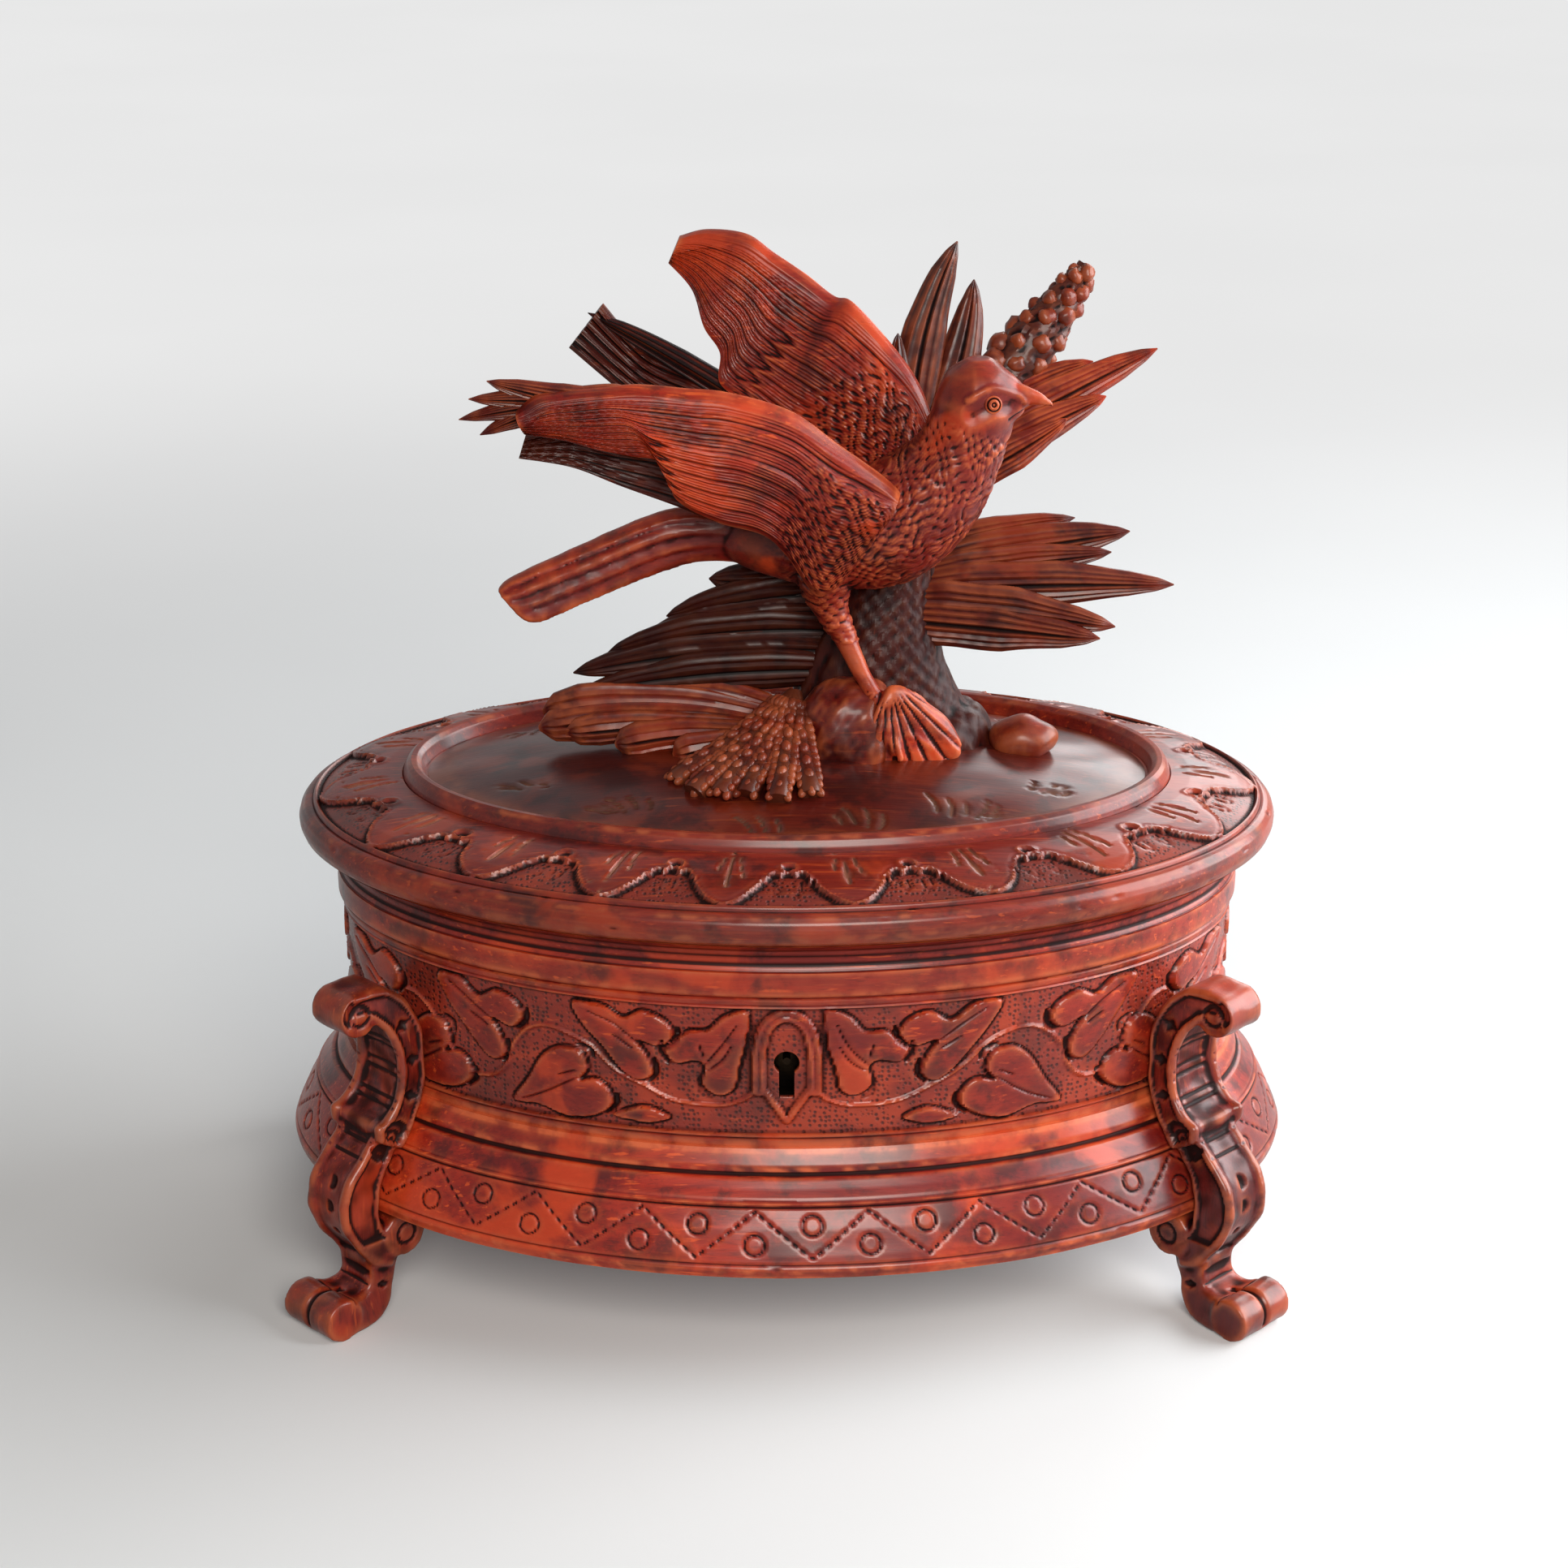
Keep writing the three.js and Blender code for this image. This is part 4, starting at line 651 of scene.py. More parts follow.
def raise_leaf(carved, x, y, outline, top=0.05):
    line = curve_through(outline, True)
    spot = near_shape(x, y, line, 1)
    inside = inside_outline(x[spot], y[spot], line)
    height = -ground_depth + (ground_depth - 0.06) * step(inside, 0.38) + (0.06 + top) * step(inside, 3)
    moat = -0.35 * ridge(np.abs(inside + 0.3), 0.38)
    over = np.maximum(carved[spot], np.where(inside > 0, height, -ground_depth))
    carved[spot] = over + np.where(carved[spot] < -ground_depth + 0.05, moat, 0)


def raise_stem(carved, x, y, points, half, top):
    line = curve_through(points)
    spot = near_shape(x, y, line, half + 1)
    far, _ = line_distance(x[spot], y[spot], line)
    height = -ground_depth + (ground_depth + top) * step(half - far, half * 0.9)
    carved[spot] = np.maximum(carved[spot], np.where(far < half, height, -ground_depth))


def cut_line(carved, x, y, points, half, depth):
    """A gouge stroke, deepest in its middle and pointed at its ends."""
    line = curve_through(points)
    spot = near_shape(x, y, line, half + 0.5)
    far, along = line_distance(x[spot], y[spot], line)
    width = half * np.sqrt(np.clip(4 * along * (1 - along), 0.02, 1))
    carved[spot] -= depth * ridge(far, width) ** 0.8


def cut_lines(carved, x, y, by, veins, hollows):
    for vein in veins:
        cut_line(carved, x, y, moved(vein, by), 0.55, 0.55)
    for hollow in hollows:
        cut_line(carved, x, y, moved(hollow, by), 0.95, 1.0)


def carve_ivy(place, height, half_girth):
    spots = np.stack([place, height], -1)
    x = np.abs(place) + 0.22 * ripple(spots, 15, 3)
    y = height + 0.22 * ripple(spots, 15, 4)
    carved = np.full(np.shape(x), -ground_depth)
    drawn_length = 30 + leaf_pitch * (leaf_pairs - 1) + 7.4
    shift = [k * leaf_pitch * (half_girth - 30) / drawn_length for k in range(leaf_pairs)]
    raise_stem(carved, x, y, first_stem, 0.75, -0.35)
    for by in shift[:-1]:
        raise_stem(carved, x, y, moved(wave_stem, by), 0.75, -0.35)
    raise_leaf(carved, x, y, keyhole_leaf)
    raise_leaf(carved, x, y, low_sprig, -0.2)
    for by in shift:
        raise_leaf(carved, x, y, moved(high_leaf, by))
        raise_leaf(carved, x, y, moved(heart_leaf, by))
        cut_lines(carved, x, y, by, high_veins + heart_veins, high_hollows + heart_hollows)
    cut_lines(carved, x, y, 0, keyhole_veins, keyhole_hollows)
    return carved


def cut_grooves(raised, height, grooves):
    """Turned grooves, each a height, a depth and half a width in millimetres."""
    for level, depth, half in grooves:
        raised -= depth * ridge(np.abs(height - level), half)


print("leaf cuts ready")

# %% The horseshoe round the keyhole, the grooves and the ground
horseshoe = [(6.6, 69.6), (6.5, 78), (5.2, 84.6), (2.6, 87.6), (0, 88.4)]
shield_point = [(5.4, 69.6), (2.6, 65.6), (0, 61.6)]
band_top = 90.5
band_bottom = 58.2


def carve_keyhole_frame(carved, place, height):
    x = np.abs(place)
    spot = np.nonzero((x < 9) & (height > 60) & (height < band_top))
    far, _ = line_distance(x[spot], height[spot], curve_through(horseshoe + [(-2.6, 87.6)]))
    arch = -ground_depth + (ground_depth - 0.1) * step(1.75 - far, 0.5)
    arch -= 0.4 * ridge(far, 0.5)
    point, _ = line_distance(x[spot], height[spot], curve_through(shield_point))
    arch = np.maximum(arch, -ground_depth + (ground_depth - 0.2) * step(1.0 - point, 0.5))
    carved[spot] = np.maximum(carved[spot], arch)


def wall_relief(place, spread, height, girth):
    carved = carve_ivy(place, height, girth / 2)
    carve_keyhole_frame(carved, place, height)
    in_band = step(height - band_bottom, 0.5) * step(band_top - height, 0.4)
    outside = spread > -1.9
    punched_and_cut_highlight = in_band * (carved < -ground_depth + 0.12) * outside
    raised = carved * in_band
    cut_grooves(raised, height, [(90.9, 0.55, 0.45), (57.4, 0.5, 0.4)])
    raised += 0.02 * ripple(np.stack([place, height * 2], -1), 14, 5)
    near_lock = (np.abs(place) < 24) * (height > 62)
    raised = np.where(near_lock, np.maximum(raised, -1.4), raised)
    return raised * outside, punched_and_cut_highlight


print("ivy band from", band_bottom, "to", band_top)

# %% [markdown]
# ## Cutting openings
# The keyhole, the pocket for the lock and the seats of the hinges are cut after the carving, with plain
# blocks and bars, as a joiner cuts them. Blender's Boolean modifier does this, and the result is made a
# plain mesh again.

# %% Cutters and the Boolean
def block_shape(low, high):
    x, y, z = zip(low, high)
    points = [(x[i], y[j], z[k]) for i in (0, 1) for j in (0, 1) for k in (0, 1)]
    faces = [(0, 1, 3, 2), (4, 6, 7, 5), (0, 4, 5, 1), (2, 3, 7, 6), (0, 2, 6, 4), (1, 5, 7, 3)]
    return points, faces


def bar_shape(start, end, radius, sides=40):
    start, end = np.array(start, float), np.array(end, float)
    along = (end - start) / np.linalg.norm(end - start)
    wide = np.cross(along, [0.31, 0.17, 0.93])
    wide /= np.linalg.norm(wide)
    deep = np.cross(along, wide)
    turn = full_turn(sides)
    ring = radius * (np.cos(turn)[:, None] * wide + np.sin(turn)[:, None] * deep)
    points = np.concatenate([start + ring, end + ring])
    faces = [(k, (k + 1) % sides, sides + (k + 1) % sides, sides + k) for k in range(sides)]
    return points, faces + [tuple(range(sides))[::-1], tuple(range(sides, 2 * sides))]


def settle(obj):
    """Turns an object with modifiers into a plain mesh, and removes them."""
    plain = bpy.data.meshes.new_from_object(obj.evaluated_get(bpy.context.evaluated_depsgraph_get()))
    obj.modifiers.clear()
    obj.data = plain
    return obj


def cut_out(obj, cutters):
    made = []
    for points, faces in cutters:
        cutter = build_mesh("cutter", points, faces, obj.data.materials[0])
        cutter.data.materials.clear()
        modifier = obj.modifiers.new("cut", "BOOLEAN")
        modifier.operation = "DIFFERENCE"
        modifier.solver = "MANIFOLD"
        modifier.object = cutter
        made.append(cutter)
    settle(obj)
    for cutter in made:
        bpy.data.objects.remove(cutter)
    return obj


print("cutters ready")

# %% Seats of the hinges and the lock, and the keyhole
hinge_seats = []
for side in (-1, 1):
    low_x, high_x = side * 22 - 8.3, side * 22 + 8.3
    hinge_seats.append(block_shape((low_x, 71.4, 90.7), (high_x, 82, 95.7)))
    hinge_seats.append(block_shape((low_x, 65, 91.8), (high_x, 82, 94.6)))
lock_seats = [block_shape((-20.3, -70.1, 62.7), (20.3, -54, 94)),
              block_shape((-28.3, -70.1, 91.8), (28.3, -62.8, 94))]
keyhole_cut = [bar_shape((0, -76, 76.3), (0, -68.5, 76.3), 3),
               block_shape((-1.8, -76, 67.7), (1.8, -68.5, 76.3))]
link_seat = [block_shape((-18.3, -70.1, 92), (18.3, -64, 94.6))]
print("cuts", len(hinge_seats) + len(lock_seats) + len(keyhole_cut) + len(link_seat))


# %% Box wall
def find_place(points):
    """Where each point lies along the wall, from the front's middle, and how far it stands off the wall."""
    turn = np.arctan2(points[:, 1] / half_wide, points[:, 0] / half_long)
    turn = np.where(turn < -math.pi / 2, turn + 2 * math.pi, turn)
    angles, places, girth = oval_columns(2000)
    place = np.interp(turn, angles, places)
    place = np.where(place > girth / 2, place - girth, place)
    size = np.hypot(points[:, 0] / half_long, points[:, 1] / half_wide)
    return place, (size - 1) * np.hypot(points[:, 0], points[:, 1]) / size, girth


wall_profile = [(0, 55.3, 0.6), (0, 57, 0.4), (0, 92.4, 0.4), (-0.6, 93, 1), (-1, 93, 4.5), (-10, 93, 10),
                (-10, 55.3, 5)]
wall = oval_skin("box_wall_carved", wall_profile, 900, wall_relief, body_walnut, 0.52)
cut_out(wall, lock_seats + keyhole_cut + hinge_seats)
points = mesh_points(wall.data) / mm
place, spread, girth = find_place(points)
_, punched_and_cut_highlight = wall_relief(place, spread, points[:, 2], girth)
store(wall.data, "punched_and_cut_highlight", punched_and_cut_highlight)
age(wall, 0.00031, 0.0034, flat=93)
place_piece(wall, "box", "box_wall")


# %% [markdown]
# ## The base moulding
# The foot of the box is a turned moulding: a hollow curve that flares to a sloping skirt. The skirt is
# decorated with a zigzag of short punched dashes and a small ring in each angle, as made with a ring punch.
# The same grid makes it, with the punch marks pressed in.

# %% Zigzag and rings on the skirt
zigzag_count = 24
zigzag_phase = 5.4
zigzag_low = 33.4
zigzag_high = 43.2
ring_punch = 2.1
high_ring = 40.3
low_ring = 36.2


def skirt_relief(place, spread, height, girth):
    outside = spread > 0.9
    raised = 0.025 * ripple(np.stack([place, height * 2], -1), 16, 6)
    cut_grooves(raised, height, [(44.1, 0.6, 0.45), (31.9, 0.45, 0.4), (45.3, 0.25, 0.35), (49.9, 0.35, 0.5)])
    pitch = girth / zigzag_count
    across = (place - zigzag_phase) / pitch
    turn = (across - np.floor(across + 0.5)) * pitch
    half = pitch / 2
    corner = zigzag_low + (zigzag_high - zigzag_low) * np.abs(turn) / half
    slope = (zigzag_high - zigzag_low) / half
    far = np.abs(height - corner) / math.hypot(1, slope)
    dashes = 0.55 + 0.45 * np.cos(place * 2 * math.pi / 1.75)
    raised -= 0.5 * ridge(far, 0.5) * np.clip(dashes * 1.5, 0.25, 1)
    for middle, level in ((0, high_ring), (half, low_ring)):
        sideways = turn if middle == 0 else np.abs(np.abs(turn) - half)
        round_far = np.abs(np.hypot(sideways, height - level) - ring_punch)
        raised -= 0.45 * ridge(round_far, 0.5)
    chip_line = ridge(np.abs(height - 30.8), 1.2)
    raised -= 0.55 * chip_line * np.clip(ripple(np.stack([place, height], -1), 7, 8) - 0.9, 0, 1)
    return raised * outside, np.zeros(np.shape(place))


base_profile = [(0.9, 55.3), (3, 51.9), (3.3, 50.2), (4.6, 49.5), (6.2, 47.4), (8.6, 44.7), (8.9, 43.6, 0.45),
                (11.1, 39.5, 0.45), (13.6, 34, 0.45), (14.4, 32, 0.45), (14.8, 30.7, 0.4), (14.4, 28.8, 0.6),
                (13, 28, 5), (-6.2, 28, 4), (-6.2, 36, 4), (-10, 36, 8), (-10, 55.3, 5)]
base = oval_skin("base_moulding_carved", base_profile, 1140, skirt_relief, base_walnut_painted_light, 0.5)
rub(base, [(30.6, 1.3), (50.9, 1.0), (44.6, 0.5)])
place_piece(base, "box", "base_moulding")

# %% [markdown]
# ## The lid's frame and its carved top
# The lid is built of a moulded frame with a hollow under its edge, and a top whose border is carved with
# pointed lobes. Each lobe is a smooth field with a thin raised rim and a few gouge cuts, and the ground
# between the lobes is punched. One lobe and the gap beside it are drawn once, in a cell of their own, and
# the cell is laid along the oval eighteen times, spaced at the front as listed, as the carver spaced them.

# %% Lid frame
def plain_relief(place, spread, height, girth):
    raised = 0.02 * ripple(np.stack([place, height * 2], -1), 20, 7)
    cut_grooves(raised, height, [(99.9, 0.4, 0.35), (101.1, 0.2, 0.3)])
    return raised * (spread > -3), np.zeros(np.shape(place))


frame_profile = [(0.3, 93.4, 0.5), (0.9, 94.1), (0.95, 97), (0.85, 99.6, 0.4), (0.1, 100.2), (-0.6, 101.4),
                 (-0.5, 103.4), (0.4, 105.2), (2.2, 106.9), (4.6, 108.2), (7.3, 109, 6), (-10, 109, 8),
                 (-10, 93.4, 5)]
lid_ring = oval_skin("lid_frame_moulded", frame_profile, 700, plain_relief, body_walnut, 0.6)
cut_out(lid_ring, hinge_seats + link_seat)
age(lid_ring, flat=93.4)
place_piece(lid_ring, "lid", "lid_frame")

# %% One lobe of the border, and where the lobes stand
border_width = 21.6
ring_foot = 16.2
lobe_edge = [(0, 21.5), (2.7, 20.6), (5, 19), (6.9, 16.9), (8.3, 14.6), (9.1, 12.4)]
lobe_cusps = [(9.1, 12.4), (9.7, 13.5), (10.4, 11.3), (11.4, 10), (12.4, 9.9), (13, 10.9), (14, 10.6),
              (14.8, 9.6), (15.5, 9.3)]
front_lobes = [-102.4, -71.9, -41.5, -13.9, 14.4, 45.7, 77.7, 110.3]
lobe_count = 18
lobe_half = 15.5


def lobe_middles(girth):
    first, last = front_lobes[-1], girth + front_lobes[0]
    between = lobe_count - len(front_lobes)
    more = [first + (last - first) * (k + 1) / (between + 1) for k in range(between)]
    return np.array(front_lobes + more)


def border_relief(place, spread, height, girth):
    middles = np.sort(np.mod(lobe_middles(girth), girth))
    around = np.mod(place, girth)
    ends = np.concatenate([[middles[-1] - girth], middles, [middles[0] + girth]])
    after = np.searchsorted(ends, around, side="right")
    before = np.clip(after - 1, 0, len(ends) - 2)
    gap = ends[before + 1] - ends[before]
    share = (around - ends[before]) / gap
    x = np.minimum(share, 1 - share) * 2 * lobe_half
    side = np.where(share < 0.5, 1, -1)
    out = spread + ring_foot
    spots = np.stack([place, spread], -1)
    x = x + 0.25 * ripple(spots, 12, 9)
    y = out + 0.25 * ripple(spots, 12, 10)
    line = np.concatenate([curve_through(lobe_edge), curve_through(lobe_cusps)])
    top_side = (out > -0.4) & (out < border_width + 0.4) & (height > 117)
    spot = np.nonzero(top_side)
    far, _ = line_distance(x[spot], y[spot], line)
    edge_at = np.interp(np.abs(x[spot]), line[:, 0], line[:, 1])
    inside = np.where(y[spot] < edge_at, far, -far)
    field = step(inside + 0.1, 0.55)
    rim = 0.2 * ridge(np.abs(inside - 0.5), 0.45)
    rim = rim - 0.22 * ridge(np.abs(inside - 1.25), 0.5)
    lowered = -1.15 * step(border_width - out[spot], 0.6)
    carved = lowered * (1 - field) + rim * field
    cut_highlight = np.zeros(np.shape(far))
    for centre, first, last, half in ((0, 2.5, 15.5, 0.7), (2.4, 2, 12.5, 0.65), (-2.1, 3, 10.5, 0.6)):
        aside = np.abs(x[spot] * side[spot] - centre - 0.05 * centre * y[spot])
        along = np.clip((y[spot] - first) / (last - first), 0, 1)
        cut = ridge(aside, half * np.sqrt(np.clip(4 * along * (1 - along), 0.001, 1)))
        carved -= 0.7 * field * cut
        cut_highlight = np.maximum(cut_highlight, field * cut)
    hollow = np.hypot(x[spot] - lobe_half, (y[spot] - 7.4) * 1.15)
    carved -= 1.2 * ridge(hollow, 1.5, 1.25)
    carved += 0.3 * ridge(np.abs(hollow - 2.3), 0.8) * (y[spot] > 5)
    sickle = np.hypot((x[spot] - 12.9) * 1.3, (y[spot] - 14) * 0.5)
    carved -= 0.35 * ridge(np.abs(sickle - 1.4), 0.5) * (y[spot] > 12) * (1 - field)
    raised = 0.025 * ripple(spots, 18, 11)
    raised[spot] += carved
    chips = np.clip(ripple(np.stack([place, height * 1.5], -1), 6, 12) - 1.3, 0, 1)
    raised -= 0.4 * chips * (height < 117) * (height > 110)
    punched_and_cut_highlight = np.zeros(np.shape(place))
    # Punched ground is stored as positive, the cuts' painted highlight as negative.
    punched_and_cut_highlight[spot] = (1 - field) * (out[spot] < border_width - 0.3) * (hollow > 2) - cut_highlight
    return raised * (height > 109.3), punched_and_cut_highlight


top_profile = [(7.4, 109.3, 0.6), (8.7, 110.2), (9.4, 112), (9.5, 113.4), (9, 115.2), (7.9, 116.6),
               (6.9, 117, 0.35), (6.1, 116.9, 0.35), (5.8, 117.9, 0.3), (5.3, 118.3), (0.5, 120.2),
               (-5, 121.5), (-11, 122.3), (-15.9, 122.5, 0.35), (-16.2, 122.2, 0.35), (-16.5, 123.6, 0.4),
               (-17.2, 125.2, 0.4), (-18.3, 126.1, 0.4), (-19.6, 126, 0.4), (-20.8, 124.9, 0.4),
               (-21.3, 123.3, 0.4), (-21.7, 122.1, 0.4), (-22.6, 121.9, 3), (-22.6, 109.3, 8)]
lid_border = oval_skin("lid_border_carved", top_profile, 840, border_relief, border_walnut_painted_shade, 0.53,
                       (0.00024, 0.0026))
rub(lid_border, [(111.4, 1.6), (116.2, 0.6), (125.6, 0.7)])
place_piece(lid_border, "lid", "lid_top")

# %% The mound inside the ring
mound_low = 122.2
mound_rise = 8.8
mound_inset = 22.3
mound_under = 109.4
tufts = [(-38, -36.5, -62, 5), (17.5, -44.5, -86, 4), (43, -38, -118, 6), (-5, -47, -80, 3),
         (62, -24, -140, 4), (-62, -22, -50, 4), (-30, 40, 60, 4), (20, 42, 95, 5), (58, 30, 130, 4),
         (-66, 20, 40, 4)]


def mound_cuts(x, y):
    """Tufts of curved gouge strokes, as grass, with a painted highlight along them. Each has a place, a
    direction in degrees and its strokes.
    """
    carved = 0.12 * ripple(np.stack([x, y], -1), 16, 13)
    cut_highlight = np.zeros(np.shape(x))
    for tuft_x, tuft_y, aim, strokes in tufts:
        for k in range(strokes):
            off_middle = k - (strokes - 1) / 2
            turn = math.radians(aim + 180 + 14 * off_middle)
            bend = turn + 0.35
            root = np.array([tuft_x + 3.0 * off_middle * math.sin(turn) * -1, tuft_y + 0.6 * (k % 2)])
            reach = 5.5 + 1.6 * ((k * 7) % 3)
            middle = root + reach * 0.5 * np.array([math.cos(turn), math.sin(turn)])
            tip = middle + reach * 0.5 * np.array([math.cos(bend), math.sin(bend)])
            cut_line(carved, x, y, [root, middle, tip], 0.6, 0.6)
            cut_line(cut_highlight, x, y, [root, middle, tip], 0.6, 1.0)
    return carved, cut_highlight


columns = 500
rings = 74
angles, places, girth = oval_columns(columns)
share = np.linspace(1, 0.02, rings)[:, None]
mound_x = (half_long - mound_inset) * share * np.cos(angles)
mound_y = (half_wide - mound_inset) * share * np.sin(angles)
mound_carved, mound_cut_highlight = mound_cuts(mound_x, mound_y)
mound_z = mound_low + mound_rise * (1 - share ** 2) + 0 * angles + mound_carved * (share < 0.98)
mound_points = np.stack([mound_x, mound_y, mound_z], 2).reshape(-1, 3)
under_ring = np.stack([mound_x[0], mound_y[0], np.full(columns, mound_under)], 1)
mound_ends = [[0, 0, mound_low + mound_rise], [0, 0, mound_under]]
mound_points = np.concatenate([under_ring, mound_points, mound_ends])
mound_faces = grid_faces(rings + 1, columns).tolist()
crown, under = len(mound_points) - 2, len(mound_points) - 1
for k in range(columns):
    following = (k + 1) % columns
    mound_faces.append((rings * columns + k, rings * columns + following, crown))
    mound_faces.append((following, k, under))
mound = age(build_mesh("lid_mound_carved", mound_points, mound_faces, mound_walnut_painted_shade), 0.0002, 0.0012)
# The grass cuts' painted highlight, stored as negative punched.
cut_highlight_marks = np.clip(mound_cut_highlight.ravel(), -1, 0)
store(mound.data, "punched_and_cut_highlight", np.concatenate([np.zeros(columns), cut_highlight_marks, [0, 0]]))
place_piece(mound, "lid", "lid_top")


# %% [markdown]
# ## Scroll legs
# Each leg is sawn from a board as a double scroll, then its faces are hollowed and its edges left as raised
# rims. It could be sculpted, but its outline is known: rows across it give a back and a front edge. Skins
# through those rows, and the rolls of the scrolls and foot, are fused into one surface by a voxel remesh,
# which also rounds the joints as a carver's gouge does. The cuts come after, along the leg's own curves.

# %% Rows across the leg, in millimetres: back out and up, front out and up, width
leg_upper = [(17.4, 86, 18.1, 79.9, 12), (12.6, 86.4, 14.6, 79.1, 13), (8, 85.3, 12.1, 76.9, 14.6),
             (3.2, 80.4, 10, 74.3, 16), (0.3, 73.4, 8.6, 70, 17.5), (0.3, 67, 8, 66.1, 18.1),
             (0.3, 60.5, 8.4, 61.1, 18.5), (2.3, 54.9, 10.4, 56.6, 19), (4.3, 51, 13.4, 53.4, 19.5),
             (6.9, 46.8, 16.2, 52.4, 19.7), (8.7, 44.5, 15.9, 48.6, 19.5)]
leg_lower = [(8, 46.5, 14.7, 49.6, 15), (10, 42.1, 20.1, 43.8, 15), (12.7, 38.4, 24.1, 39.1, 15),
             (14.4, 33.6, 26, 33, 15), (14.6, 28.5, 25.2, 27, 15), (13.9, 24.6, 21.6, 20.7, 15),
             (11.8, 21.9, 16.6, 14.9, 15), (9.1, 21, 11.6, 13, 15)]
leg_neck = [(7.8, 16.4, 18.3, 16.4, 12.4), (10.3, 10, 17.9, 12.5, 12.4), (11.4, 4.7, 18.8, 9.8, 12.8),
            (14.8, 0.9, 22.3, 8.6, 14.4), (20.1, 0, 25.8, 9.5, 16.7), (27.3, 0, 28, 8, 17.7)]
leg_spots = {"front_left": (-1, -1), "front_right": (1, -1), "rear_left": (-1, 1), "rear_right": (1, 1)}
print("rows across the leg", len(leg_upper) + len(leg_lower) + len(leg_neck))


# %% Skins through rings, and several of them fused
def skin_points(rings):
    """A closed skin through rings of points, with a fan over each end."""
    rings = np.asarray(rings, float)
    count, sides = rings.shape[:2]
    faces = grid_faces(count, sides).tolist()
    points = np.concatenate([rings.reshape(-1, 3), [rings[0].mean(0), rings[-1].mean(0)]])
    for k in range(sides):
        following = (k + 1) % sides
        faces.append((following, k, count * sides))
        faces.append(((count - 1) * sides + k, (count - 1) * sides + following, count * sides + 1))
    return points, faces


def put_together(shapes):
    points, faces, start = [], [], 0
    for shape_points, shape_faces in shapes:
        points.append(np.asarray(shape_points, float))
        faces += [tuple(int(corner) + start for corner in face) for face in shape_faces]
        start += len(shape_points)
    return np.concatenate(points), faces


def outward(shape):
    """The shape with its faces turned out, so that a remesh can tell inside from outside."""
    points, faces = np.asarray(shape[0], float), shape[1]
    volume = sum(points[face[0]] @ np.cross(points[face[k]], points[face[k + 1]])
                 for face in faces for k in range(1, len(face) - 1))
    return (points, faces) if volume > 0 else (points, [tuple(face)[::-1] for face in faces])


def even_mesh(obj, voxel):
    """Wraps the object in one even skin of quads, that many millimetres across."""
    remesh = obj.modifiers.new("even", "REMESH")
    remesh.mode = "VOXEL"
    remesh.voxel_size = voxel * mm
    settle(obj)


def fuse(name, shapes, voxel, material, passes):
    """One smooth surface round several overlapping shapes."""
    obj = build_mesh(name, *put_together([outward(shape) for shape in shapes]), material)
    even_mesh(obj, voxel)
    *_, points = smoothed(obj.data, passes)
    move_points(obj.data, points)
    return obj


def push(obj, heights):
    """Moves each point along its normal by a height in millimetres."""
    move_points(obj.data, mesh_points(obj.data) + mesh_normals(obj.data) * np.asarray(heights)[:, None] * mm)
    smooth_faces(obj.data)
    return obj


print("skins ready")


# %% The leg's strips, rolls and cuts
def leg_shell(rows, dish):
    """A strip of the leg. Its front is dished between two rims."""
    rings = []
    for back_out, back_up, front_out, front_up, width in curve_through(rows, count=5):
        back, front = np.array([back_out, back_up]), np.array([front_out, front_up])
        depth = np.linalg.norm(front - back)
        aim = (front - back) / depth
        half = width / 2
        inner = depth - dish
        loop = [(0, 1.2 - half), (0.9, -half), (depth - 0.9, -half), (depth, 0.8 - half), (depth, 2 - half),
                (inner, 3.2 - half), (inner - dish * 0.3, 0), (inner, half - 3.2), (depth, half - 2),
                (depth, half - 0.8), (depth - 0.9, half), (0.9, half), (0, half - 1.2)]
        rings.append([(back[0] + aim[0] * p, w, back[1] + aim[1] * p) for p, w in loop])
    return skin_points(rings)


def cross_roll(out, up, radius, width):
    return bar_shape((out, -width / 2, up), (out, width / 2, up), radius, 28)


def side_curves(rows):
    line = curve_through(rows, count=5)
    return line[:, 0:2], line[:, 2:4]


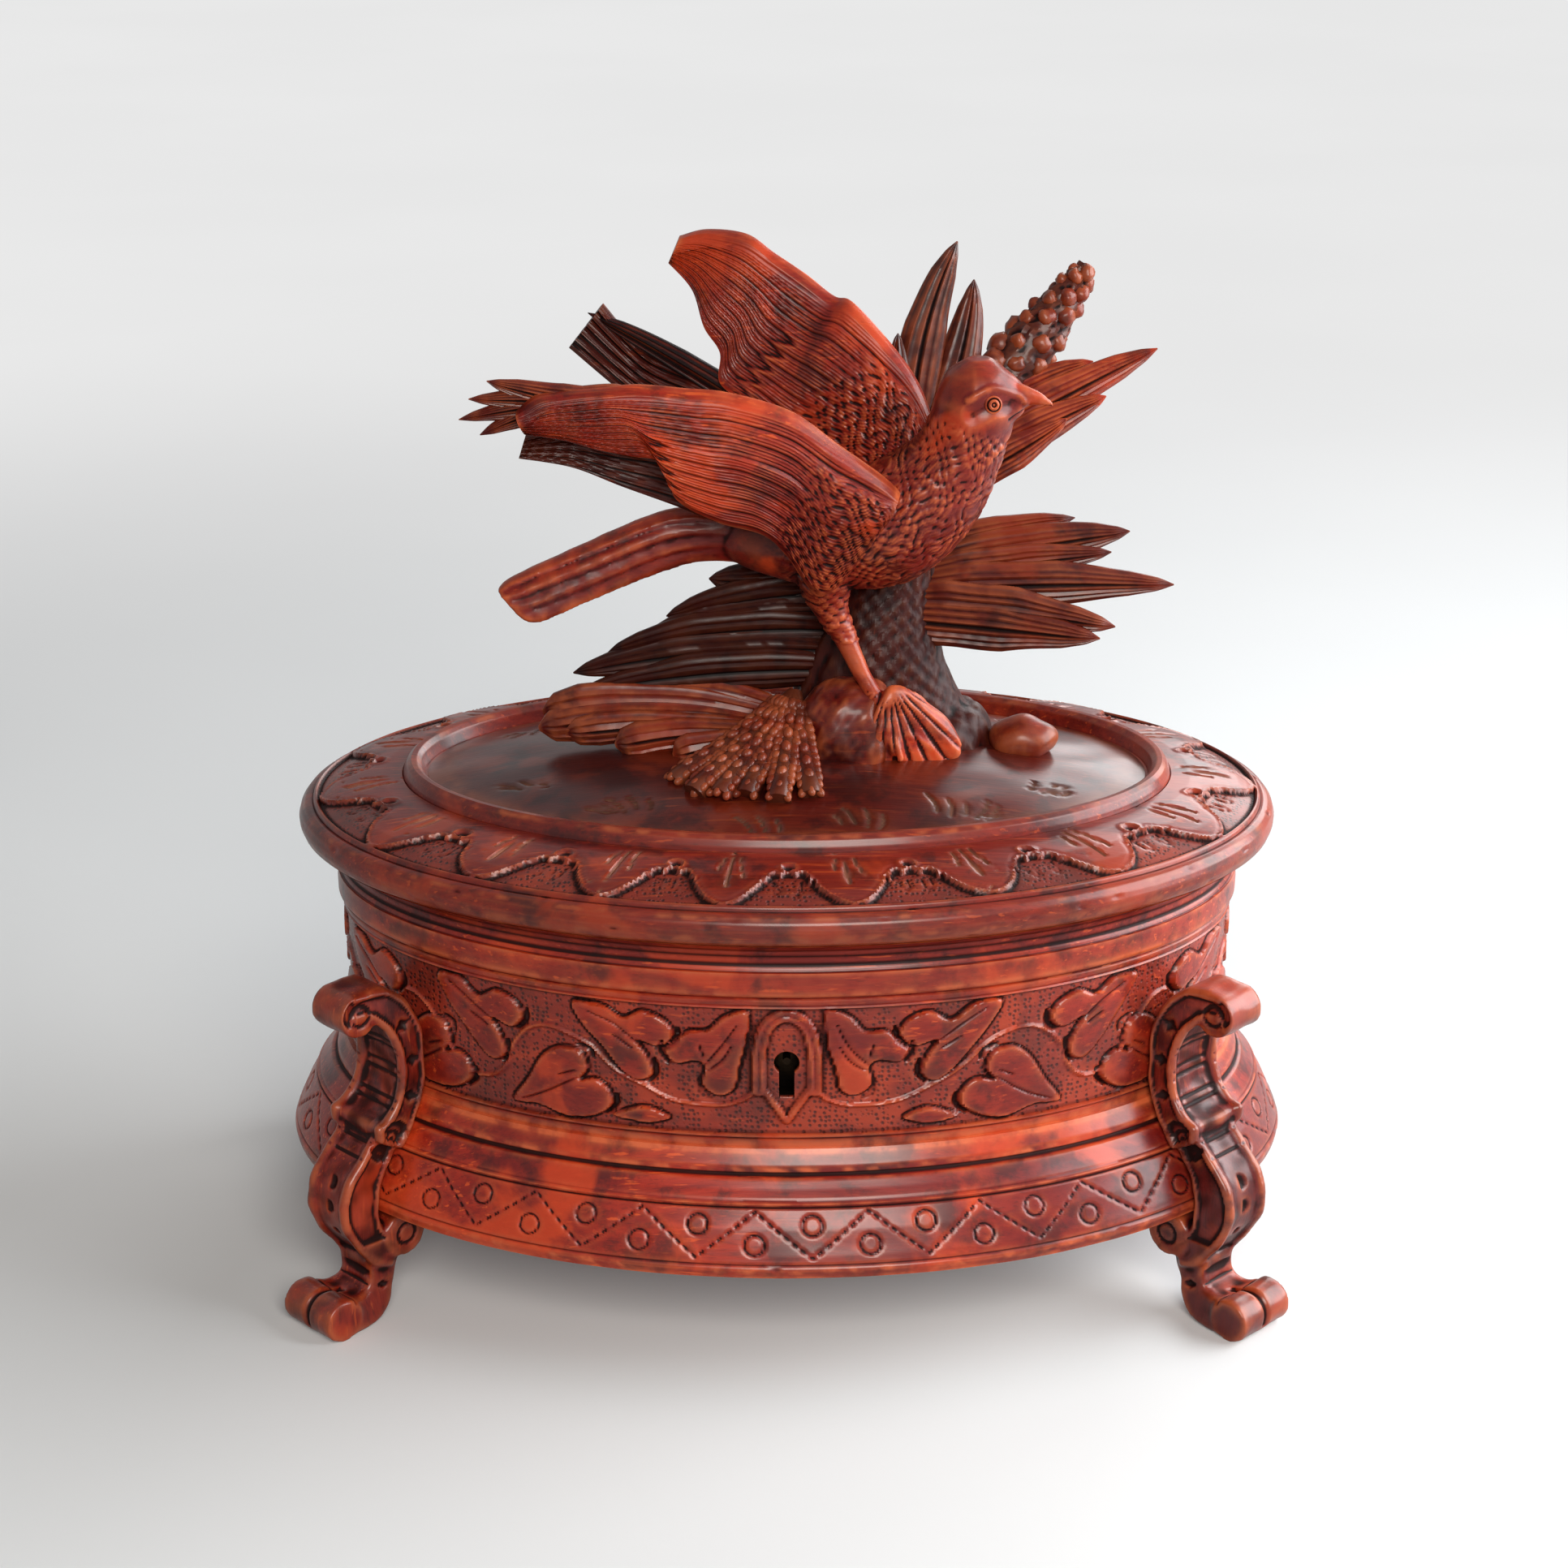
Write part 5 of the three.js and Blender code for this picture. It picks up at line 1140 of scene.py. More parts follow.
def carve_leg(obj):
    points = mesh_points(obj.data) / mm
    normals = mesh_normals(obj.data)
    out, across, up = points.T
    side = step(np.abs(normals[:, 1]) - 0.55, 0.3)
    facing = step(0.5 - np.abs(normals[:, 1]), 0.3)
    heights = np.zeros(len(points))
    dust = np.zeros(len(points))
    for rows, notches, lines in ((leg_upper, (0.33, 0.5, 0.66), (0.4, 0.44, 0.54, 0.58, 0.68, 0.72)),
                                 (leg_lower, (), (0.05, 0.12, 0.86)), (leg_neck, (0.3,), (0.22, 0.36))):
        back, front = side_curves(rows)
        from_back, _ = line_distance(out, up, back)
        from_front, along_front = line_distance(out, up, front)
        middle = (back + front) / 2
        from_middle, along = line_distance(out, up, middle)
        within = from_middle < 6
        if rows is not leg_neck:
            panel = step(from_back - 1.3, 0.5) * step(from_front - 1.5, 0.5) * within
            heights -= 0.75 * panel * side * (from_middle < 4.6) * (up > 22)
            # Dirt and painted shade in the front recess between the rims and on the sunk side panels.
            dirt_and_shade_share = 0.55 if rows is leg_upper else 0.34
            recess_dirt_and_shade = facing * step(4.8 - np.abs(across), 0.8) * (from_front < 2.4) * dirt_and_shade_share
            dust = np.maximum(dust, np.maximum(recess_dirt_and_shade, 0.36 * panel * side * (from_middle < 4.6)))
        for place in notches:
            turn = np.abs(along - place) * len(middle) * 1.1
            heights -= 1.1 * side * ridge(turn + from_middle * 0.75, 1.7, 1.15)
        for place in lines:
            near = np.abs(along_front - place) * np.linalg.norm(np.diff(front, axis=0), axis=1).sum()
            heights -= 0.42 * facing * (from_front < 2.6) * ridge(near, 0.5)
    for centre_out, centre_up, radius in ((11.5, 48, 1.9), (8, 21.4, 2.6), (17, 80.9, 2.4)):
        ring = np.abs(np.hypot(out - centre_out, up - centre_up) - radius)
        heights -= 0.55 * side * ridge(ring, 0.7)
        if radius < 2:
            heights -= 0.6 * side * ridge(np.hypot(out - centre_out, up - centre_up), 0.8)
    low_front = facing * (out > 20)
    for level in (31.8, 37.8):
        half_moon = np.hypot(across, up - level) + 3 * np.clip(-0.3 - across, 0, 1)
        heights -= 1.0 * low_front * ridge(half_moon, 1.6, 1.3)
    heights -= 0.8 * facing * (out > 17) * ridge(np.hypot(across, up - 24.5), 1.2, 1.1)
    toe = (out > 22) * (up < 13)
    heights -= 1.3 * toe * step(normals[:, 0] + normals[:, 2], 0.6) * ridge(np.abs(across), 1.1)
    heights -= 0.5 * toe * step(normals[:, 2], 0.5) * ridge(np.abs(out - 24.6), 0.6)
    heights += 0.1 * ripple(points, 7, 21)
    heights[up < 1.2] = 0
    # Stored as dust, this is dirt and painted shade; age adds it to deep.
    store(obj.data, "dust", dust * (0.8 + 0.3 * ripple(points, 5, 22)))
    return push(obj, heights)


print("leg's cuts ready")

# %% Four legs from one pattern
leg_shapes = [leg_shell(leg_upper, 1.5), leg_shell(leg_lower, 1.1), leg_shell(leg_neck, 0.2),
              cross_roll(17, 80.9, 5.3, 12.2), cross_roll(8, 21.4, 6.1, 16.4), cross_roll(28, 5.1, 5.3, 17.6)]
first_leg = carve_leg(fuse("leg_pattern", leg_shapes, 0.55, leg_walnut, 2))
reach = math.hypot(half_long, half_wide)
for name, (side_x, side_y) in leg_spots.items():
    place = Vector((side_x * half_long ** 2 / reach * mm, side_y * half_wide ** 2 / reach * mm, 0))
    turn = Matrix.Translation(place) @ Matrix.Rotation(math.atan2(side_y, side_x), 4, "Z")
    leg = link_object(f"leg_{name}_carved", first_leg.data.copy())
    leg.data.transform(turn)
    above = mesh_points(leg.data)
    above[:, 2] = np.maximum(above[:, 2], 0)
    move_points(leg.data, above)
    age(leg, 0.00013, 0.0006)
    place_piece(leg, "box", f"leg_{name}")
bpy.data.objects.remove(first_leg)


# %% [markdown]
# ## The carved group: tools for limbs, feathers and leaves
# The bird and its leaves were carved from a few blocks and pinned together on a stump. Sculpting by hand
# can't be written down, so each form is drawn by the few places that a carver would mark: a line through a
# limb with its thickness, the front and rear edge of a wing, the root, bend and tip of a leaf. The surface
# between them is finely divided, and feathers, barbs and veins are cut into it by their own distances in
# millimetres. Places are shares of the group's reach and rise, from the crown of the lid.

# %% Places, directions and limbs
group_reach = 95
group_rise = 120
group_size = np.array([group_reach, group_reach, group_rise])
crown_place = np.array([0, 0, 131])


def places_of(rows):
    return np.asarray(rows, float)[:, :3] * group_size + crown_place


def unit(vectors):
    return vectors / np.maximum(np.linalg.norm(vectors, axis=-1, keepdims=True), 1e-9)


def run_along(line):
    """How far along the line each of its points is, in millimetres."""
    return np.concatenate([[0], np.cumsum(np.linalg.norm(np.diff(line, axis=0), axis=1))])


def square_to(along):
    """Two directions square to each one given: the first as near to the back as can be, the second across."""
    deep = unit(np.array([0, 1, 0]) - along * along[..., 1:2])
    return deep, np.cross(deep, along)


def limb_shape(rows, sides=28, count=6, relief=None):
    """A round limb through rows of place, half width and half depth. relief gives heights in millimetres."""
    rows = [list(row) + [row[3]] * (5 - len(row)) for row in rows]
    fine = curve_through(rows, count=count)
    centres = places_of(fine)
    deep, wide = square_to(unit(np.gradient(centres, axis=0)))
    turn = full_turn(sides)
    half_w, half_d = np.abs(fine[:, 3:4]) * group_reach, np.abs(fine[:, 4:5]) * group_reach
    if relief is not None:
        raised = relief(run_along(centres)[:, None] + 0 * turn, half_w * turn)
        half_w, half_d = half_w + raised, half_d + raised
    rings = centres[:, None] + (half_w * np.cos(turn))[..., None] * wide[:, None]
    return skin_points(rings + (half_d * np.sin(turn))[..., None] * deep[:, None])


print("group's reach", group_reach, "rise", group_rise)


# %% Wings, leaves and knobs
def wing_shape(lead, trail, thickness, arch, pattern, count, across):
    """A spread of feathers between two edges. pattern gives the height of both of its faces."""
    first, last = [places_of(curve_through(edge, count=count)) for edge in (lead, trail)]
    rows = len(first)
    share = np.linspace(0, 1, rows)[:, None]
    front = np.linspace(0, 1, across)
    drop = np.concatenate([front, front[::-1]])
    face = np.concatenate([np.ones(across), -np.ones(across)])
    chord = last - first
    chord_length = np.linalg.norm(chord, axis=1)[:, None]
    out = unit(np.array([0, -1, 0]) + unit(chord) * unit(chord)[:, 1:2])
    run = run_along((first + last) / 2)[:, None]
    bow = np.interp(drop, [0, 0.2, 0.4, 0.7, 1], [0, 0.72, 1, 0.6, 0]) * arch * group_reach
    swell = np.interp(drop, [0, 0.02, 0.07, 0.2, 0.4, 0.8, 1], [0.06, 0.45, 0.8, 1, 1, 0.6, 0.14])
    half = thickness * group_reach / 2 * (1 - 0.45 * share) * swell
    height = pattern(run + 0 * drop, drop * chord_length, share + 0 * drop, drop + 0 * share)
    height = height * np.clip(np.minimum(drop, 1 - drop) * 16, 0.0, 1)
    lift = bow + face * (half + height * np.where(face > 0, 1, 0.7))
    points = first[:, None] + chord[:, None] * drop[:, None] + out[:, None] * lift[..., None]
    return skin_points(points)


def bezier(root, bend, tip, count):
    a, b, c = places_of([root, bend, tip])
    b = 2 * b - (a + c) / 2
    t = np.linspace(0, 1, count)[:, None]
    return a * (1 - t) ** 2 + 2 * b * t * (1 - t) + c * t ** 2


def blade_shape(root, bend, tip, width, thickness, grooves=2, seed=1, curl=0.0, spoon=False):
    """A pointed leaf with a midrib and grooves along it."""
    count, sides = 54, 40
    centres = bezier(root, bend, tip, count)
    share = np.linspace(0, 1, count)[:, None]
    deep, wide = square_to(unit(np.gradient(centres, axis=0)))
    turn = full_turn(sides)
    u, v = np.cos(turn), np.sin(turn)
    widths = [0.5, 0.72, 0.85, 1, 0.78, 0.12] if spoon else [0.62, 1, 0.95, 0.55, 0.28, 0.03]
    broad = np.interp(share, [0, 0.3, 0.6, 0.85, 0.95, 1], widths)
    half = 0.6 * width * group_reach * broad * (1 + 0.03 * np.sin(share * 17 + seed))
    depth = 0.5 * thickness * group_reach * (0.35 + 0.75 * broad) * np.clip((1 - share) * 14, 0.1, 1)
    ribs = 0.5 - 0.5 * np.cos(u * math.pi * (grooves + 0.5) * 2)
    cut = ridge(np.abs(np.abs(u) - 0.06), 0.1)
    profile = np.sign(v) * (np.abs(v) ** 0.8) * (0.78 + 0.24 * ribs - 0.24 * cut) - 0.25 * (1 - u ** 2)
    barbs = 0.03 * np.sin(share * count * 1.6 + np.abs(u) * 5) * (np.abs(v) > 0.2) * np.sign(v)
    lift = depth * profile + barbs * broad + curl * u * half
    points = centres[:, None] + (half * u)[..., None] * wide[:, None] + lift[..., None] * deep[:, None]
    return skin_points(points)


def knob_shape(place, size, rows, sides, rough, seed):
    """A rounded knob with its poles up and down."""
    centre = places_of([place])[0]
    tilt = math.pi * (np.arange(rows) + 0.5) / rows
    turn = full_turn(sides)
    unit_points = np.stack([np.sin(tilt)[:, None] * np.cos(turn), np.sin(tilt)[:, None] * np.sin(turn),
                            np.cos(tilt)[:, None] + 0 * turn], 2)
    points = unit_points * np.array(size) * group_reach
    points = points * (1 + rough * ripple(points, 9, seed)[..., None])
    return skin_points(points + centre)


print("wings, leaves and knobs ready")


# %% Feathers
def scales(along, around, size, height):
    """Overlapping rounded feathers with fine gouge lines."""
    best = np.zeros(np.shape(along))
    for layer in (0, 1):
        a, b = along / size + 0.5 * layer, around / (size * 0.95) + 0.5 * layer
        a, b = a - np.floor(a) - 0.5, b - np.floor(b) - 0.5
        dome = np.clip(1.05 - 3.0 * a ** 2 - 3.4 * b ** 2, 0, 1) ** 0.6 * (0.62 - 0.75 * a)
        dome = dome * (1 - 0.22 * (0.5 + 0.5 * np.cos(b * 2 * math.pi * 4.5)))
        best = np.maximum(best, dome)
    return height * (best - 0.3)


def long_feathers(count, height, lines=0.12, start=0.0, slant=0.2):
    """Feathers side by side that run out to the wing's edge, each rounded, with fine lines along it."""
    def pattern(along, down, share, drop):
        lane = ((drop - start) / (1 - start) - slant * share) * count + 0.06 * np.sin(along / 7)
        part = lane - np.floor(lane)
        blade = np.clip(part / 0.8, 0, 1) ** 0.7 - step(part - 0.84, 0.16)
        shaft = 0.2 * ridge(np.abs(part - 0.5), 0.06)
        fine = np.cos(part * 2 * math.pi * 5) * step(part - 0.08, 0.1) * step(0.84 - part, 0.1)
        return height * (0.85 * blade - 0.4 + shaft) + lines * fine
    return pattern


def carve_piece(name, shapes, finish, node, *ages):
    """Puts shapes together in one aged piece of the lid, in place of that node."""
    piece = age(build_mesh(name, *put_together(shapes), finish), *ages)
    place_piece(piece, "lid", node)


print("feathers ready")

# %% [markdown]
# ## The bird
# Its body, head, beak, tail, one leg and the leaf it stands on are one carving. The breast is covered with
# small scalloped feathers, the head is smooth, and the eye is a ring in a hollow. The body's forms are fused,
# and the eye and the leaf's veins are cut last.

# %% Rows through the bird, and its forms fused
body_rows = [(-0.16, 0.02, 0.415, 0.04), (-0.1, 0.015, 0.415, 0.075), (0.06, -0.01, 0.42, 0.12),
             (0.16, -0.025, 0.435, 0.14), (0.26, -0.04, 0.46, 0.15), (0.36, -0.06, 0.53, 0.135),
             (0.42, -0.075, 0.6, 0.11), (0.45, -0.08, 0.665, 0.1), (0.467, -0.08, 0.715, 0.102),
             (0.47, -0.08, 0.77, 0.078), (0.47, -0.08, 0.8, 0.03)]
beak_rows = [(0.5, -0.085, 0.73, 0.052, 0.05), (0.56, -0.1, 0.731, 0.034, 0.032),
             (0.61, -0.104, 0.725, 0.019, 0.018), (0.655, -0.11, 0.711, 0.006, 0.006)]
face_rows = [(0.465, -0.08, 0.722, 0.1), (0.52, -0.086, 0.722, 0.084), (0.56, -0.092, 0.724, 0.056),
             (0.585, -0.098, 0.727, 0.03)]
shin_rows = [(0.08, -0.05, 0.36, 0.06), (0.1, -0.06, 0.31, 0.05), (0.13, -0.07, 0.26, 0.034),
             (0.19, -0.1, 0.16, 0.022), (0.25, -0.12, 0.08, 0.022), (0.27, -0.12, 0.03, 0.024)]
thigh_rows = [(0.12, -0.07, 0.42, 0.1), (0.1, -0.075, 0.36, 0.075), (0.11, -0.075, 0.3, 0.045),
              (0.13, -0.08, 0.25, 0.03)]
toe_rows = [[(0.25, -0.125, 0.07, 0.02), (0.27, -0.15, 0.03, 0.018), (0.29, -0.165, -0.01, 0.01)],
            [(0.25, -0.125, 0.07, 0.02), (0.31, -0.13, 0.04, 0.018), (0.37, -0.125, 0.005, 0.01)]]
tail_top = [(-0.05, 0.02, 0.47), (-0.18, 0.015, 0.48), (-0.31, 0.01, 0.475), (-0.51, 0, 0.41),
            (-0.69, -0.015, 0.345), (-0.73, -0.03, 0.32)]
tail_low = [(-0.05, 0, 0.36), (-0.2, 0, 0.37), (-0.33, -0.03, 0.35), (-0.5, -0.06, 0.3), (-0.63, -0.08, 0.26),
            (-0.68, -0.07, 0.275)]
foot_top = [(0.22, -0.13, 0.09), (0.26, -0.12, 0.14), (0.33, -0.1, 0.12), (0.41, -0.08, 0.06),
            (0.45, -0.08, 0)]
foot_low = [(0.19, -0.15, -0.03), (0.26, -0.15, -0.03), (0.31, -0.14, -0.03), (0.39, -0.13, -0.03),
            (0.44, -0.1, -0.02)]
eye_place = np.array([47.8, 217.8])
leaf_top = np.array([24.5, 150])


def tail_feathers(along, down, share, drop):
    lane = drop * 4 + 0.1 * np.sin(along / 9)
    part = lane - np.floor(lane)
    height = 0.8 * (part ** 0.7 - step(part - 0.86, 0.14)) - 0.2
    return (height + 0.09 * np.cos(part * 2 * math.pi * 4)) * step(share - 0.1, 0.2)


def leaf_veins(along, down, share, drop):
    fan = np.arctan2(down - 2, along + 9) * 11
    return 0.4 * np.cos(fan) - 0.3 * ridge(np.abs(np.sin(fan * 0.5)), 0.2)


bird_shapes = [limb_shape(body_rows, 80, 10), limb_shape(face_rows, 40, 8), limb_shape(beak_rows),
               limb_shape(shin_rows, 20), limb_shape(thigh_rows, 40, 8),
               wing_shape(tail_top, tail_low, 0.06, 0.012, tail_feathers, 26, 60),
               wing_shape(foot_top, foot_low, 0.05, 0.006, leaf_veins, 16, 50)]
bird_shapes += [limb_shape(rows, 14) for rows in toe_rows]
bird = fuse("bird_body_carved", bird_shapes, 0.5, group_walnut, 1)
print("bird's forms", len(bird_shapes), "points", len(bird.data.vertices))

# %% Feathers, brow and beak cut into the bird
points = mesh_points(bird.data) / mm
x, y, z = points.T
heights = np.zeros(len(points))


def from_line(line, count=7):
    """How far the bird's points are from a curve through a few places, as seen from the front."""
    return line_distance(x, z, curve_through(line, count=count))[0]


faces_front = y < -9
axis_line = curve_through(places_of([row[:3] for row in body_rows]))[:, [0, 2]]
off_axis, axis_share = line_distance(x, z, axis_line)
axis_length = np.linalg.norm(np.diff(axis_line, axis=0), axis=1).sum()
last = len(axis_line) - 1
flow = np.gradient(axis_line, axis=0)[np.clip((axis_share * len(axis_line)).astype(int), 0, last)]
nearest = axis_line[np.clip((axis_share * last).round().astype(int), 0, last)]
hand = np.sign(flow[:, 0] * (z - nearest[:, 1]) - flow[:, 1] * (x - nearest[:, 0]))
down_body = -axis_share * axis_length + 1.1 * ripple(points, 7, 61)
across_body = hand * off_axis * 1.25 + 1.1 * ripple(points, 7, 62)
feathered = step(axis_share - 0.12, 0.08) * step(0.74 - axis_share, 0.06) * (off_axis < 15)
on_thigh = (z < 171) * (z > 158) * (x < 24) * (x > -4)
heights += np.maximum(feathered, on_thigh) * scales(down_body, across_body, 3.7, 1.05)
almond = from_line([(43.4, 215.8), (47.8, 217.8), (51.8, 217.6)], 1)
heights -= 0.85 * faces_front * ridge(almond, 2.5, 1.2)
brow = from_line([(42, 219), (47.5, 221.6), (53, 219.6), (55.6, 217.4)])
heights += 0.5 * faces_front * ridge(brow, 1.0)
jaw = from_line([(61.5, 216.2), (56, 215.4), (52, 213.6)])
heights -= 0.5 * ridge(jaw, 0.6) * (z > 210)
throat = from_line([(56, 213.5), (51.5, 209), (46, 203)])
heights += 0.5 * faces_front * ridge(throat, 1.1)
turn_from_top = np.arctan2(x - leaf_top[0], leaf_top[1] - z)
from_top = np.hypot(x - leaf_top[0], z - leaf_top[1])
on_leaf = (y < -7) * (x > 19) * (z < 147)
on_leaf = on_leaf * (from_top < 27) * step(from_top - 4, 4)
rays = np.abs(np.mod(turn_from_top / 0.17, 1) - 0.5) * 2
heights -= 0.6 * on_leaf * ridge(rays, 0.45)
heights += 0.05 * ripple(points, 6, 31)
push(bird, heights)
age(bird, 0.00013, 0.0008)
place_piece(bird, "lid", "bird_body")

# %% The bird's eye
points = mesh_points(bird.data) / mm
x, y, z = points.T
from_eye = np.hypot(x - eye_place[0], z - eye_place[1])
eye_centre = points[(from_eye < 1.2) & (y < -9)].mean(0)
eye_out = unit(np.array([0.22, -0.96, 0.14]))
eye_wide = unit(np.cross(eye_out, [0, 0, 1]))
eye_high = np.cross(eye_wide, eye_out)
eye_rings = [(0.02, -1.2), (1.8, -1.2), (2.15, 0), (2.05, 0.45), (1.8, 0.6), (1.55, 0.4), (1.42, 0.35),
             (1.25, 0.85), (0.9, 1.05), (0.68, 0.95), (0.55, 0.55), (0.4, 0.5), (0.25, 0.75), (0.02, 0.8)]
turn = full_turn(48)
eye_points = [eye_centre + radius * (np.cos(turn)[:, None] * eye_wide + np.sin(turn)[:, None] * eye_high)
              + (height + 0.15) * eye_out for radius, height in eye_rings]
carve_piece("bird_eye_carved", [skin_points(eye_points)], lit_walnut, "bird_body", 0.00006, 0.0004, 8)

# %% [markdown]
# ## Wings
# A wing has three kinds of feathers: small coverts like scales at the shoulder, a thicker second row, and
# long ones side by side to the tip. A smooth rim runs along its front edge. Each could be a piece of its own,
# but they are cut in one surface, so one pattern mixes them by where a point lies on the wing.

# %% Wings and the feathers behind them
near_lead = [(0.28, -0.17, 0.55), (0.23, -0.185, 0.59), (0.13, -0.2, 0.65), (0.01, -0.21, 0.72),
             (-0.14, -0.23, 0.76), (-0.24, -0.24, 0.77), (-0.36, -0.25, 0.78), (-0.45, -0.26, 0.775),
             (-0.55, -0.27, 0.77), (-0.6, -0.28, 0.765), (-0.63, -0.285, 0.75), (-0.65, -0.29, 0.735)]
near_trail = [(0.23, -0.15, 0.47), (0.16, -0.14, 0.38), (0.08, -0.13, 0.33), (0, -0.16, 0.42),
              (-0.06, -0.19, 0.47), (-0.17, -0.21, 0.5), (-0.27, -0.23, 0.55), (-0.3, -0.25, 0.625),
              (-0.38, -0.25, 0.64), (-0.46, -0.26, 0.655), (-0.54, -0.27, 0.675), (-0.63, -0.29, 0.69)]
far_lead = [(0.38, 0, 0.62), (0.34, 0.05, 0.71), (0.28, 0.09, 0.78), (0.17, 0.14, 0.87), (0.12, 0.17, 0.88),
            (0.05, 0.19, 0.92), (-0.03, 0.21, 0.96), (-0.1, 0.23, 0.995), (-0.2, 0.26, 1),
            (-0.27, 0.27, 0.985)]
far_trail = [(0.27, -0.02, 0.52), (0.19, 0.04, 0.55), (0.1, 0.08, 0.57), (-0.02, 0.13, 0.61),
             (-0.1, 0.16, 0.66), (-0.17, 0.19, 0.7), (-0.17, 0.2, 0.76), (-0.21, 0.21, 0.81),
             (-0.24, 0.24, 0.88), (-0.3, 0.27, 0.93)]
under_lead = [(0.05, -0.06, 0.57), (-0.14, -0.09, 0.66), (-0.3, -0.11, 0.68), (-0.42, -0.12, 0.68),
              (-0.54, -0.13, 0.68), (-0.64, -0.135, 0.66)]
under_trail = [(0.05, -0.05, 0.43), (-0.14, -0.07, 0.46), (-0.29, -0.09, 0.51), (-0.41, -0.11, 0.55),
               (-0.53, -0.12, 0.59), (-0.66, -0.13, 0.61)]
rear_lead = [(0.24, 0.12, 0.52), (0.02, 0.17, 0.62), (-0.14, 0.21, 0.68), (-0.23, 0.24, 0.71),
             (-0.36, 0.28, 0.75), (-0.47, 0.32, 0.84)]
rear_trail = [(0.22, 0.12, 0.43), (0.0, 0.16, 0.5), (-0.15, 0.2, 0.56), (-0.26, 0.23, 0.6),
              (-0.38, 0.26, 0.64), (-0.56, 0.31, 0.75)]


def wing_feathers(lanes, covert_end, rim, second_end):
    """Coverts up to one share of the wing, a thicker second row up to another, then long feathers."""
    long_ones = long_feathers(lanes, 0.6, 0.12, 0.1)

    def pattern(along, down, share, drop):
        height = long_ones(along, down, share, drop)
        second = step(second_end - share + 0.025 * np.sin((drop - 0.2 * share) * lanes * 2 * math.pi), 0.035)
        second = second * step(drop - 0.36, 0.06)
        height = height + 1.0 * second
        coverts = step(covert_end - share + 0.1 * (drop - 0.5), 0.1) * step(drop - 0.12, 0.06)
        uneven = scales(along + 0.8 * np.sin(down * 0.8 + along * 0.4), down + 0.8 * np.sin(along * 0.7),
                        4.2, 1.5)
        height = height * (1 - coverts) + coverts * (uneven + 0.5)
        edge = ridge(down, rim) ** 0.5
        return height * (1 - edge) + 0.7 * edge
    return pattern


near_wing = wing_shape(near_lead, near_trail, 0.075, 0.02, wing_feathers(8, 0.3, 3.6, 0.56), 15, 190)
tip_ends = [(-0.72, -0.27, 0.79), (-0.765, -0.27, 0.755), (-0.79, -0.27, 0.715), (-0.74, -0.27, 0.685)]
wing_tips = [blade_shape((-0.3, -0.225, 0.72), (-0.5, -0.25, 0.745), tip_end, 0.07, 0.035, 3, k)
             for k, tip_end in enumerate(tip_ends)]
far_wing = wing_shape(far_lead, far_trail, 0.07, 0.01, wing_feathers(8, 0.34, 4.5, 0.5), 17, 190)
under_wing = wing_shape(under_lead, under_trail, 0.05, 0.006, long_feathers(5, 1.2, 0.1), 22, 70)
rear_feathers = wing_shape(rear_lead, rear_trail, 0.05, 0.006, long_feathers(6, 1.3, 0.1, 0, 0), 22, 80)
rear_blade = blade_shape((0.2, 0.13, 0.5), (-0.2, 0.23, 0.7), (-0.51, 0.32, 0.82), 0.06, 0.05)
carve_piece("near_wing_carved", [near_wing], lit_walnut, "bird_near_wing", 0.00013, 0.0006)
carve_piece("near_wing_tips_carved", wing_tips, shade_walnut, "bird_near_wing")
carve_piece("far_wing_carved", [far_wing], group_walnut, "bird_far_wing", 0.00013, 0.0006)
carve_piece("under_wing_feathers_carved", [under_wing], rear_walnut, "under_wing_feathers")
carve_piece("rear_left_feathers_carved", [rear_feathers, rear_blade], rear_walnut, "rear_left_feathers")


# %% [markdown]
# ## Leaves, stump and stones
# Sprays of pointed leaves fill the space round the bird. Each leaf is one closed blade, and a spray is
# several blades that grow from the stump. The stump's bark is cut in ridges and knobs, and two stones lie at
# its foot.

